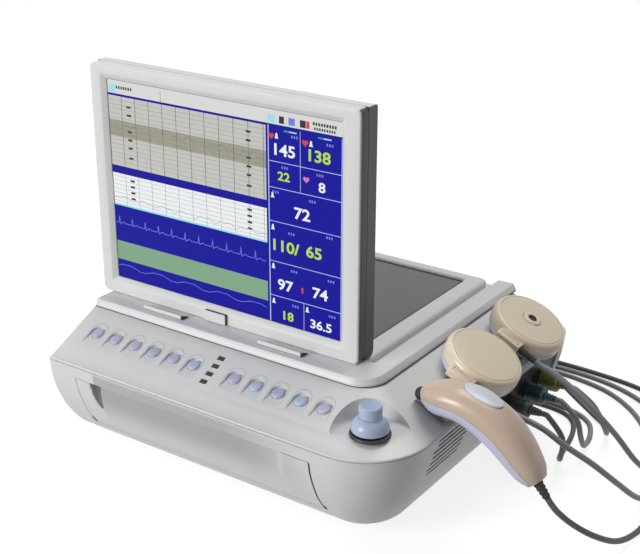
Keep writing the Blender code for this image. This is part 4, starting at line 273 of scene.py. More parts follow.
def turned(profile: Points, steps: int) -> Points:
    """Turn a profile about the third axis: x and y are the radius times the angle's cosine and
    sine, and z is the height.

    Args:
        profile: (radius, height) points.
        steps: number of places round the axis.

    Returns:
        A grid of shape (steps, n, 3).
    """
    angle = np.linspace(0.0, math.tau, steps, endpoint=False)[:, None]
    radius = profile[:, 0][None, :]
    height = np.broadcast_to(profile[:, 1][None, :], (steps, len(profile)))
    return np.stack((radius * np.cos(angle), radius * np.sin(angle), height), axis=-1)


@dataclass(frozen=True)
class Frame:
    """A place and three directions that local points are carried by."""

    place: tuple
    across: tuple = (1.0, 0.0, 0.0)
    along: tuple = (0.0, 1.0, 0.0)
    up: tuple = (0.0, 0.0, 1.0)

    def carry(self, points: Points) -> Points:
        """Return the place plus each local coordinate times its direction."""
        axes = np.array([self.across, self.along, self.up], float)
        return np.asarray(points) @ axes + np.array(self.place, float)

    def end_on(self) -> Frame:
        """Return the frame whose third axis is this one's first."""
        return Frame(self.place, self.along, self.up, self.across)


def sloped(place: tuple, angle: float) -> Frame:
    """Return a frame that leans back from level by an angle."""
    turn, rise = math.cos(angle), math.sin(angle)
    return Frame(place, (1.0, 0.0, 0.0), (0.0, turn, rise), (0.0, -rise, turn))


# Mesh writing

class Shape:
    """Patches of points and faces that become one mesh."""

    def __init__(self) -> None:
        """Start with nothing."""
        self.points: list = []
        self.faces: list = []
        self.marks: list = []
        self.count = 0

    def add(self, points: Points, faces: Points, mark: int = 0) -> Shape:
        """Add points and the faces between them.

        Args:
            points: array of any shape whose last axis is x, y, z.
            faces: rows of point numbers, of one length.
            mark: the faces' material number.

        Returns:
            The shape.
        """
        faces = np.asarray(faces)
        self.points.append(np.asarray(points, float).reshape(-1, 3))
        self.faces.extend((faces + self.count).tolist())
        self.marks.extend([mark] * len(faces))
        self.count += len(self.points[-1])
        return self

    def grid(self, points: Points, wrap_first: bool = False, wrap_second: bool = False,
             mark: int = 0) -> Shape:
        """Add a grid of quads, joined end to end in either direction where it wraps.

        Args:
            points: the grid, shape (n, m, 3).
            wrap_first: join the last row to the first.
            wrap_second: join the last column to the first.
            mark: the faces' material number.

        Returns:
            The shape.
        """
        first, second = points.shape[:2]
        row = np.arange(first if wrap_first else first - 1)
        column = np.arange(second if wrap_second else second - 1)
        i, j = np.meshgrid(row, column, indexing="ij")
        after_i, after_j = (i + 1) % first, (j + 1) % second
        quads = np.stack(
            (i * second + j, after_i * second + j, after_i * second + after_j,
             i * second + after_j), axis=-1)
        return self.add(points, quads.reshape(-1, 4), mark)

    def skin(self, rings: list, closed: bool = False) -> Shape:
        """Add a skin over closed rings of equal length.

        Args:
            rings: the rings in their order.
            closed: join the last ring to the first; without it both ends get a flat face.

        Returns:
            The shape.
        """
        points = np.stack([np.asarray(ring, float) for ring in rings])
        self.grid(points, wrap_first=closed, wrap_second=True)
        if not closed:
            around = np.arange(points.shape[1])[None]
            self.add(points[0], around)
            self.add(points[-1], around[:, ::-1])
        return self

    def prism(self, outline: Points, low: tuple, high: tuple) -> Shape:
        """Add the solid between an outline moved by two offsets."""
        return self.skin([outline + low, outline + high])

    def box(self, low: tuple, high: tuple, carrier: Frame | None = None) -> Shape:
        """Add a box.

        Args:
            low: its lowest corner.
            high: its highest corner.
            carrier: the frame that the corners are in, where it isn't the working one.

        Returns:
            The shape.
        """
        (x0, y0, z0), (x1, y1, z1) = low, high
        plan = np.array([[x0, y0], [x1, y0], [x1, y1], [x0, y1]])
        rings = [lifted(plan, z0), lifted(plan, z1)]
        return self.skin([carrier.carry(ring) for ring in rings] if carrier else rings)

    def turn(self, profile: Points, carrier: Frame, steps: int = 96,
             closed: bool = False) -> Shape:
        """Add a turned solid.

        Args:
            profile: (radius, height) points.
            carrier: the frame whose third axis is the axis.
            steps: number of places round the axis.
            closed: join the profile's ends, for a ring.

        Returns:
            The shape.
        """
        points = carrier.carry(turned(np.asarray(profile, float), steps))
        return self.grid(points, wrap_first=True, wrap_second=closed)

    def tool(self, name: str, solid: bool = True) -> Object:
        """Write the shape as an object, in metres in the row frame, with doubles merged.

        Args:
            name: the object's name.
            solid: turn its faces outward; an open sheet keeps the order of its points.

        Returns:
            The object, with neither body nor material.
        """
        points = (np.concatenate(self.points) - ORIGIN) * MM
        mesh = bpy.data.meshes.new(name)
        mesh.from_pydata(points.tolist(), [], self.faces)
        mesh.polygons.foreach_set("material_index", np.array(self.marks, np.int32))
        work = bmesh.new()
        work.from_mesh(mesh)
        bmesh.ops.remove_doubles(work, verts=work.verts, dist=WELD)
        if solid:
            bmesh.ops.recalc_face_normals(work, faces=work.faces)
        work.to_mesh(mesh)
        work.free()
        mesh.update()
        return linked(name, mesh)


def linked(name: str, data: bpy.types.ID) -> Object:
    """Make an object of some data and link it to the scene.

    Args:
        name: its name.
        data: a mesh, curve, lamp or camera.

    Returns:
        The object.
    """
    obj = bpy.data.objects.new(name, data)
    bpy.context.scene.collection.objects.link(obj)
    return obj


def evaluated_mesh(obj: Object) -> bpy.types.Mesh:
    """Return the mesh that an object's curve, text or modifiers come to."""
    graph = bpy.context.evaluated_depsgraph_get()
    return bpy.data.meshes.new_from_object(obj.evaluated_get(graph))


def read(items: bpy.types.bpy_prop_collection, key: str) -> Points:
    """Read a measure of three numbers of each item.

    Args:
        items: a mesh's vertices or polygons.
        key: the measure, such as "co" or "normal".

    Returns:
        One row for each item.
    """
    flat = np.empty(len(items) * 3)
    items.foreach_get(key, flat)
    return flat.reshape(-1, 3)


def read_mm(items: bpy.types.bpy_prop_collection, key: str) -> Points:
    """Read a place of each item in millimetres in the working frame, one row per axis."""
    return (read(items, key) / MM + ORIGIN).T


class Cut(Enum):
    """What a tool does to a piece."""

    AWAY = "DIFFERENCE"
    ONTO = "UNION"
    WITHIN = "INTERSECT"


def carved(target: Object, tools: list, kind: Cut = Cut.AWAY) -> Object:
    """Apply tools to a piece one after another and remove them.

    Args:
        target: the piece.
        tools: the tools in their order.
        kind: what they all do.

    Returns:
        The piece with its finished mesh.
    """
    for tool in tools:
        modifier = target.modifiers.new(tool.name, "BOOLEAN")
        modifier.operation = kind.value
        modifier.solver = "EXACT"
        modifier.object = tool
    mesh = evaluated_mesh(target)
    target.modifiers.clear()
    target.data = mesh
    for tool in tools:
        bpy.data.objects.remove(tool)
    return target


# Materials

def wire(tree: bpy.types.NodeTree, node: bpy.types.Node, inputs: dict) -> None:
    """Give a node its inputs.

    Args:
        tree: the nodes that it is one of.
        node: the node.
        inputs: a value, or a socket to link, for each input's name or number.
    """
    for socket, value in inputs.items():
        if isinstance(value, bpy.types.NodeSocket):
            tree.links.new(value, node.inputs[socket])
        else:
            node.inputs[socket].default_value = value


def add_node(tree: bpy.types.NodeTree, kind: str, inputs: dict | None = None,
             **settings: object) -> bpy.types.Node:
    """Add one node with its settings and links.

    Args:
        tree: the material's or world's nodes.
        kind: the node's type.
        inputs: a value or a socket for each input's name or number.
        settings: the node's own properties.

    Returns:
        The node.
    """
    node = tree.nodes.new(kind)
    for name, value in settings.items():
        setattr(node, name, value)
    wire(tree, node, inputs or {})
    return node


def linear(colour: str, factor: float = 1.0) -> tuple:
    """Turn an sRGB hex colour into linear light by the standard's two-part curve.

    Args:
        colour: the colour.
        factor: how much darker or lighter it gets, up to white.

    Returns:
        Red, green, blue and an opacity of 1.
    """
    parts = [int(colour[i:i + 2], 16) / 255.0 for i in (1, 3, 5)]
    light = [p / 12.92 if p <= 0.04045 else ((p + 0.055) / 1.055) ** 2.4 for p in parts]
    return (*(min(1.0, p * factor) for p in light), 1.0)


@dataclass(frozen=True)
class Finish:
    """What all finishes have: the real material's name and its colour."""

    name: str
    colour: str

    def start(self) -> tuple:
        """Start a material.

        Returns:
            The material, its nodes and its shader.
        """
        material = bpy.data.materials.new(self.name)
        material.use_nodes = True
        tree = material.node_tree
        return material, tree, tree.nodes["Principled BSDF"]

    def build(self) -> bpy.types.Material:
        """Build the material; each kind of finish has its own way."""
        raise NotImplementedError


@dataclass(frozen=True)
class MouldedPlastic(Finish):
    """Moulded plastic or rubber. Its fine spark-eroded grain breaks highlights up softly, and
    slow drifts of tone and gloss keep large faces from looking like paint."""

    roughness: float = 0.42
    grain_mm: float = 0.55
    grain_depth_mm: float = 0.012
    drift: float = 0.035
    ior: float = 1.53
    coat: float = 0.0
    # A second colour for painted shade, blended in by the mesh attribute "shade"
    shaded: str = ""

    def build(self) -> bpy.types.Material:
        """Build the plastic: noise at the grain's size bends the light and shifts the
        roughness by a twelfth, and slower noise shifts the colour by the drift. Where a second
        colour is given, the mesh attribute "shade" blends it in from 0 to 1.

        Returns:
            The material.
        """
        material, tree, shader = self.start()
        place = add_node(tree, "ShaderNodeTexCoord").outputs["Object"]
        slow = add_node(tree, "ShaderNodeTexNoise", {
            "Vector": place, "Scale": 28.0, "Detail": 3.0})
        fine = add_node(tree, "ShaderNodeTexNoise", {
            "Vector": place, "Scale": 1.0 / (self.grain_mm * MM), "Detail": 2.0})
        gloss = add_node(tree, "ShaderNodeMapRange", {
            "Value": fine.outputs["Fac"], "From Min": 0.3, "From Max": 0.7,
            "To Min": self.roughness * 0.92, "To Max": min(1.0, self.roughness * 1.08)})
        bump = add_node(tree, "ShaderNodeBump", {
            "Height": fine.outputs["Fac"], "Distance": self.grain_depth_mm * MM,
            "Strength": 0.6})
        tint = add_node(tree, "ShaderNodeMix", {
            0: slow.outputs["Fac"], 6: linear(self.colour, 1.0 - self.drift),
            7: linear(self.colour, 1.0 + self.drift)}, data_type="RGBA")
        # Painted shade: the second colour, as much as the attribute "shade" says
        if self.shaded:
            shade = add_node(tree, "ShaderNodeAttribute", attribute_name="shade")
            tint = add_node(tree, "ShaderNodeMix", {
                0: shade.outputs["Fac"], 6: tint.outputs[2], 7: linear(self.shaded)},
                data_type="RGBA")
        wire(tree, shader, {
            "Base Color": tint.outputs[2], "Roughness": gloss.outputs["Result"],
            "Normal": bump.outputs["Normal"], "IOR": self.ior, "Coat Weight": self.coat,
            "Coat Roughness": 0.12})
        return material


@dataclass(frozen=True)
class RolledSteel(Finish):
    """Plain rolled steel. Its fine drawn grain stretches highlights along the width."""

    colour: str = "#b4b6b8"
    roughness: float = 0.34

    def build(self) -> bpy.types.Material:
        """Build the metal: noise stretched along the width, in lines about 0.6 mm apart,
        drives its roughness and its bump.

        Returns:
            The material.
        """
        material, tree, shader = self.start()
        place = add_node(tree, "ShaderNodeTexCoord").outputs["Object"]
        stretch = add_node(tree, "ShaderNodeMapping", {
            "Vector": place, "Scale": (40.0, 1600.0, 1600.0)})
        lines = add_node(tree, "ShaderNodeTexNoise", {
            "Vector": stretch.outputs["Vector"], "Scale": 1.0, "Detail": 3.0})
        gloss = add_node(tree, "ShaderNodeMapRange", {
            "Value": lines.outputs["Fac"], "To Min": self.roughness * 0.8,
            "To Max": self.roughness * 1.3})
        bump = add_node(tree, "ShaderNodeBump", {
            "Height": lines.outputs["Fac"], "Distance": 0.004 * MM, "Strength": 0.5})
        wire(tree, shader, {
            "Base Color": linear(self.colour), "Metallic": 1.0,
            "Roughness": gloss.outputs["Result"], "Normal": bump.outputs["Normal"]})
        return material


@dataclass(frozen=True)
class FoldedPaper(Finish):
    """A pack of folded chart paper. Its layers show as thin lines on its sides."""

    colour: str = "#efefe8"
    pitch_mm: float = 0.9

    def build(self) -> bpy.types.Material:
        """Build the paper: a wave along the height darkens the sides. Its pitch is coarser
        than the real sheets', so that it shows.

        Returns:
            The material.
        """
        material, tree, shader = self.start()
        place = add_node(tree, "ShaderNodeTexCoord").outputs["Object"]
        sheets = add_node(tree, "ShaderNodeTexWave", {
            "Vector": place, "Scale": 1.0 / (self.pitch_mm * MM), "Distortion": 0.4},
            bands_direction="Z")
        tint = add_node(tree, "ShaderNodeMix", {
            0: sheets.outputs["Fac"], 6: linear(self.colour, 0.82), 7: linear(self.colour)},
            data_type="RGBA")
        wire(tree, shader, {"Base Color": tint.outputs[2], "Roughness": 0.85})
        return material


@dataclass(frozen=True)
class CoatedBoard(Finish):
    """A printed circuit board. Copper tracks show as paler lines through its green coat."""

    colour: str = "#14502b"
    track: str = "#2a7a45"

    def build(self) -> bpy.types.Material:
        """Build the board: a brick pattern's mortar lines stand for the tracks.

        Returns:
            The material.
        """
        material, tree, shader = self.start()
        place = add_node(tree, "ShaderNodeTexCoord").outputs["Object"]
        board = linear(self.colour)
        tracks = add_node(tree, "ShaderNodeTexBrick", {
            "Vector": place, "Scale": 120.0, "Mortar Size": 0.03, "Color1": board,
            "Color2": board, "Mortar": linear(self.track)})
        wire(tree, shader, {
            "Base Color": tracks.outputs["Color"], "Roughness": 0.4, "Coat Weight": 0.3})
        return material


@dataclass(frozen=True)
class LitPicture(Finish):
    """A lit part of a liquid crystal picture. It gives off its own light under a dim gloss."""

    light: float = 0.78
    mottle: float = 0.0
    cell_mm: float = 2.4

    def build(self) -> bpy.types.Material:
        """Build the picture's colour: most of it is given off and a little is reflected. Lines
        of cells, coarser than the real ones so that they show, dim it slightly, and a band of
        dense traces is mottled by upright noise.

        Returns:
            The material.
        """
        material, tree, shader = self.start()
        place = add_node(tree, "ShaderNodeTexCoord").outputs["Object"]
        cells = add_node(tree, "ShaderNodeTexWave", {
            "Vector": place, "Scale": 1.0 / (self.cell_mm * MM), "Distortion": 0.0},
            bands_direction="X")
        level = add_node(tree, "ShaderNodeMapRange", {
            "Value": cells.outputs["Fac"], "To Min": self.light * 0.96, "To Max": self.light})
        glow = linear(self.colour)
        wire(tree, shader, {
            "Base Color": linear(self.colour, 0.22), "Emission Color": glow,
            "Emission Strength": level.outputs["Result"], "Roughness": 0.3,
            "Specular IOR Level": 0.1})
        if self.mottle > 0.0:
            stretch = add_node(tree, "ShaderNodeMapping", {
                "Vector": place, "Scale": (420.0, 420.0, 260.0)})
            noise = add_node(tree, "ShaderNodeTexNoise", {
                "Vector": stretch.outputs["Vector"], "Scale": 1.0, "Detail": 4.0})
            tint = add_node(tree, "ShaderNodeMix", {
                0: noise.outputs["Fac"], 6: linear(self.colour, 1.0 - self.mottle), 7: glow},
                data_type="RGBA")
            wire(tree, shader, {"Emission Color": tint.outputs[2]})
        return material


@lru_cache(maxsize=None)
def material_of(finish: Finish) -> bpy.types.Material:
    """Build each finish's material once and hand it out again."""
    return finish.build()


class Slot(Enum):
    """The record's material slots."""

    HOUSING = "housing_white"
    SHELL = "shell_grey"
    GLOSS = "gloss_grey"
    SCREEN = "screen_glass"
    KEY = "key_lavender"
    DARK = "dark_plastic"
    KNOB = "knob_blue"
    BEIGE = "probe_beige"
    LAVENDER = "probe_lavender"
    RUBBER_AND_PAINTED_SHADOW = "rubber_dark"
    CABLE = "cable_grey"
    TEAL = "plug_teal"
    OLIVE = "plug_olive"
    STEEL = "steel"
    BOARD = "board_green"
    PAPER = "paper_white"


FINISHES = {
    # Satin white: wide soft highlights on the rim and the bezel
    Slot.HOUSING: MouldedPlastic("housing_abs", "#e2e2e1", 0.40),
    # Duller dark grey: the rear shell stays quiet behind the screen
    Slot.SHELL: MouldedPlastic("shell_abs", "#4b4c4f", 0.46),
    # Polished grey: mirrors the display's back in the cradle floor
    Slot.GLOSS: MouldedPlastic("gloss_pc", "#4d4e50", 0.13, 3.0, 0.006, ior=1.45),
    # Near black: dark plastic parts, and painted shadow in joint lines and recesses
    Slot.DARK: MouldedPlastic("dark_abs_and_painted_shadow", "#242426", 0.45),
    # Smoother pale blue: a bright rim on the knob's cap
    Slot.KNOB: MouldedPlastic("knob_abs", "#b3c2de", 0.30),
    # Smooth beige with a thin coat: a clear small highlight on each probe
    Slot.BEIGE: MouldedPlastic("probe_abs", "#ecdcc2", 0.32, coat=0.2),
    # Soft lavender elastomer: a wide pale sheen
    Slot.LAVENDER: MouldedPlastic("probe_tpe", "#cfd0e4", 0.36),
    # Black rubber: almost no highlight and a coarser grain; also painted shadow in the door's gap
    # and round the cradle's floor
    Slot.RUBBER_AND_PAINTED_SHADOW: MouldedPlastic("rubber_epdm_and_painted_shadow", "#1d1d1f", 0.70, 0.8, 0.03),
    # Grey cable jacket: one long even highlight
    Slot.CABLE: MouldedPlastic("cable_pvc", "#85878a", 0.48, 0.7, 0.01),
    # Dark teal and olive plug bodies: coloured satin, edges on the grip rings
    Slot.TEAL: MouldedPlastic("plug_pbt_teal", "#123f3c", 0.40),
    Slot.OLIVE: MouldedPlastic("plug_pbt_olive", "#6f7334", 0.40),
    # Steel: streaked reflections on brackets and shaft
    Slot.STEEL: RolledSteel("bracket_steel"),
    # Coated board: green with paler tracks
    Slot.BOARD: CoatedBoard("circuit_board"),
    # Chart paper: matt, with layered sides
    Slot.PAPER: FoldedPaper("chart_paper"),
    # Backing behind the picture: smooth and almost black
    Slot.SCREEN: MouldedPlastic("screen_backing", "#15151c", 0.25, 3.0, 0.002),
}

# Housing white with painted shade: it falls to grey where the mesh says, for the shadow under the
# rim
PAINTED_SHADE_ABS = MouldedPlastic("housing_abs_painted_shade", "#e2e2e1", 0.40, shaded="#979897")


@dataclass(frozen=True)
class Piece:
    """How a finished mesh joins the object.

    Its angle is where edges count as sharp: they are rounded where there is a bevel, and
    otherwise left crisp. A finish of its own takes the place of its slot's.
    """

    name: str
    body: str
    slot: Slot
    replaces: tuple = ()
    bevel: float = 0.0
    angle: float = 32.0
    finish: Finish | None = None

    def dress(self, obj: Object) -> Object:
        """Give an object its name, material, edges and body, and hide the solids that it stands
        for.

        Args:
            obj: the object.

        Returns:
            The same object.
        """
        obj.name = self.name
        obj.data.materials.clear()
        obj.data.materials.append(material_of(self.finish or FINISHES[self.slot]))
        obj.data.shade_smooth()
        if self.bevel > 0.0:
            edge = obj.modifiers.new("edge_round", "BEVEL")
            edge.width = self.bevel * MM
            edge.segments = 2
            edge.limit_method = "ANGLE"
            edge.angle_limit = math.radians(self.angle)
            edge.harden_normals = True
            edge.miter_outer = "MITER_ARC"
        else:
            obj.data.set_sharp_from_angle(angle=math.radians(self.angle))
        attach(obj, self.body)
        if self.replaces:
            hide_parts(*self.replaces)
        return obj

    def show(self, shape: Shape) -> Object:
        """Write a shape and dress it."""
        return self.dress(shape.tool(self.name))


def mark_faces(obj: Object, finish: Finish, chosen: Points) -> None:
    """Give the chosen faces a second finish."""
    obj.data.materials.append(material_of(finish))
    obj.data.polygons.foreach_set("material_index", chosen.astype(np.int32))


def set_shade(obj: Object, amount: Points) -> None:
    """Write how much of its finish's second colour each vertex gets."""
    shade = obj.data.attributes.new("shade", "FLOAT", "POINT")
    shade.data.foreach_set("value", amount.astype(np.float32))


# Housing

def hull_inset(height: Points) -> Points:
    """Return how far the front wall lies behind the rim at each height, read smoothly."""
    return smooth_table(HULL_LEVELS[:, 0], HULL_LEVELS[:, 1], np.atleast_1d(height))


def panel_height(depth: float) -> float:
    """Return the sloping panel's height at a depth: a straight line from rim to platform."""
    return RIM_TOP + PANEL_RISE * (depth - RIM_FRONT) / PANEL_RUN


def key_frame(across: float) -> Frame:
    """Return a key's frame: origin on its recess floor, third axis along its travel."""
    floor = panel_height(RECESS_FRONT) + (KEY_DEPTH - RECESS_FRONT) * math.tan(RECESS_TILT)
    return sloped((across, KEY_DEPTH, floor), RECESS_TILT)


@dataclass
class LowerHousing:
    """The deep hull that curves in towards its base, with its openings.

    A vent is its front end, its rear end and its height. The insets say how far the corners
    and sides follow the front wall's curve.
    """

    bottom: float = 4.1
    top: float = 93.7
    wall: float = 3.0
    floor_top: float = 7.1
    corner: float = 57.0
    rear_corner: float = 20.0
    side_shares: tuple = (0.57, 0.85, 0.2)
    vents: tuple = ((76, 116, 90), (76, 120, 86), (69, 122, 82), (69, 124, 77.5),
                    (66, 121, 73), (63, 119, 68.2), (65, 116, 63.5))
    door: tuple = ((29.4, -10.0, 27.4), (280.6, 40.0, 83.1))
    inlet: tuple = ((46.7, 306.0, 31.7), (74.3, 336.0, 52.3))
    connectors: tuple = (182.7, 298.3, 35.7, 88.3, 1.5)
    band_ends: tuple = (52.0, 276.0)

    def ring(self, height: float, wall: float) -> Points:
        """Return the hull's section.

        Args:
            height: where it is cut.
            wall: how far it is drawn in.

        Returns:
            The section's points.
        """
        inset = float(hull_inset(height)[0])
        corner, right, rear = (share * inset for share in self.side_shares)
        radius = self.corner - corner - wall
        plan = body_outline(wall, WIDTH - right - wall, inset + wall, DEPTH - rear - wall,
                            (radius, radius), self.rear_corner - wall)
        return lifted(plan, height)

    def stack(self, low: float, high: float, count: int, wall: float) -> list:
        """Return sections at evenly spaced heights."""
        return [self.ring(z, wall) for z in np.linspace(low, high, count)]

    def slots(self, inset: float, start: float, end: float) -> Shape:
        """Return the vent slots as solids.

        Args:
            inset: how far each slot is drawn in.
            start, end: the widths between which they reach.

        Returns:
            The solids' shape.
        """
        shape = Shape()
        for front, rear, height in self.vents:
            slot = rounded_rectangle(front + inset, rear - inset, height - 1.0 + inset,
                                     height + 1.0 - inset, 0.9 - inset, 5)
            shape.prism(sideways(slot), (start, 0, 0), (end, 0, 0))
        return shape

    def build(self) -> list:
        """Build the hull: an outer and an inner skin joined at the top edge, then cut.

        Returns:
            The hull, its vent filters, its door's pivot covers and painted gap shadow, and its
            band of painted shade.
        """
        rings = (self.stack(self.bottom, self.top, 34, 0.0)
                 + self.stack(self.top, self.floor_top, 20, self.wall))
        hull = Shape().skin(rings).tool("lower_housing_body")
        panel = sideways(rounded_rectangle(*self.connectors, 5))
        openings = Shape().prism(panel, (320.0, 0, 0), (364.4, 0, 0)).box(*self.inlet)
        grooves = Shape()
        for index in range(9):
            low = 34.0 + 5.2 * index
            line = rounded_rectangle(110.0, 250.0, low, low + 2.0, 0.9, 5)
            grooves.prism(upright(line, 0.0), (0, 315.0, 0), (0, 336.0, 0))
        limit = Shape().skin(self.stack(6.0, 92.0, 24, 1.2)).tool("groove_limit")
        lines = carved(grooves.tool("rear_lines"), [limit])
        carved(hull, [
            Shape().box(*self.door).tool("door_opening"),
            self.slots(0.0, 330.0, 364.4).tool("vent_slots"), openings.tool("openings"), lines])
        piece = Piece("lower_housing_body", "base", Slot.HOUSING, ("lower_housing",), 0.35, 40.0)
        return [piece.dress(hull), self.filters(), self.seals(), self.band()]

    def band(self) -> Object:
        """Build the strip of painted shade over the door's scoop, for the rim's shadow: its shade
        falls evenly to nothing over its last 80 mm and its uppermost 3 mm.

        Returns:
            The strip.
        """
        left, right = self.band_ends
        z = np.linspace(83.2, 93.6, 12)
        wall = hull_inset(z)
        front = np.column_stack((np.maximum(wall - 0.06, 0.0), z))
        back = np.column_stack((wall + 0.4, z))
        section = sideways(np.concatenate((front, back[::-1])))
        shape = Shape().skin([section + (x, 0, 0) for x in np.linspace(left, right, 30)])
        obj = Piece("rim_recess_band", "base", Slot.HOUSING, finish=PAINTED_SHADE_ABS).show(shape)
        x, _, z = read_mm(obj.data.vertices, "co")
        fade = np.clip((right - x) / 80.0, 0.0, 1.0) * np.clip((94.0 - z) / 3.0, 0.0, 1.0)
        # Painted shade: the rim's shadow, fading out towards the right end and the top
        set_shade(obj, 0.62 * fade)
        return obj

    def filters(self) -> Object:
        """Build the dark foam in the vent slots, trimmed half a millimetre inside the wall.

        Returns:
            The foam as one piece.
        """
        limit = Shape().skin(self.stack(50.0, 93.0, 24, 0.5)).tool("filter_limit")
        foam = carved(self.slots(0.1, 338.0, 362.0).tool("vent_filters"), [limit], Cut.WITHIN)
        return Piece("vent_filters", "base", Slot.RUBBER_AND_PAINTED_SHADOW).dress(foam)

    def seals(self) -> Object:
        """Build the dark strips in the door's gap and at the ends of its top seam, which are
        painted shadow of the gap, and the covers on its pivots: each follows the hull at its
        height.

        Returns:
            The strips and covers as one piece.
        """
        shape = Shape()
        z = np.linspace(28.2, 82.4, 30)
        wall = hull_inset(z)
        # Painted shadow: strips sunk in the gap and thin lips over its edges; the wider lips at
        # the lower corners are the pivot covers
        seal, lip = (0.25, 2.6), (-0.12, 0.4)
        for left, right, (near, far), part in (
                (280.08, 280.56, seal, slice(0, 30)), (29.44, 29.92, seal, slice(26, 30)),
                (29.44, 29.92, seal, slice(0, 6)), (280.5, 281.6, lip, slice(0, 30)),
                (280.5, 283.2, lip, slice(0, 4)), (27.2, 29.5, lip, slice(0, 5))):
            edges = [np.column_stack((np.full(len(z[part]), x), wall[part] + back, z[part]))
                     for x, back in ((left, near), (right, near), (right, far), (left, far))]
            shape.skin(list(np.stack(edges, axis=1)))
        # Painted shadow along the ends of the door's top seam
        edge = float(wall[-1])
        for left, right in ((29.44, 46.0), (252.0, 280.56)):
            shape.box((left, edge + 0.15, 82.6), (right, edge + 2.6, 83.06))
        return Piece("door_seals", "base", Slot.RUBBER_AND_PAINTED_SHADOW).show(shape)


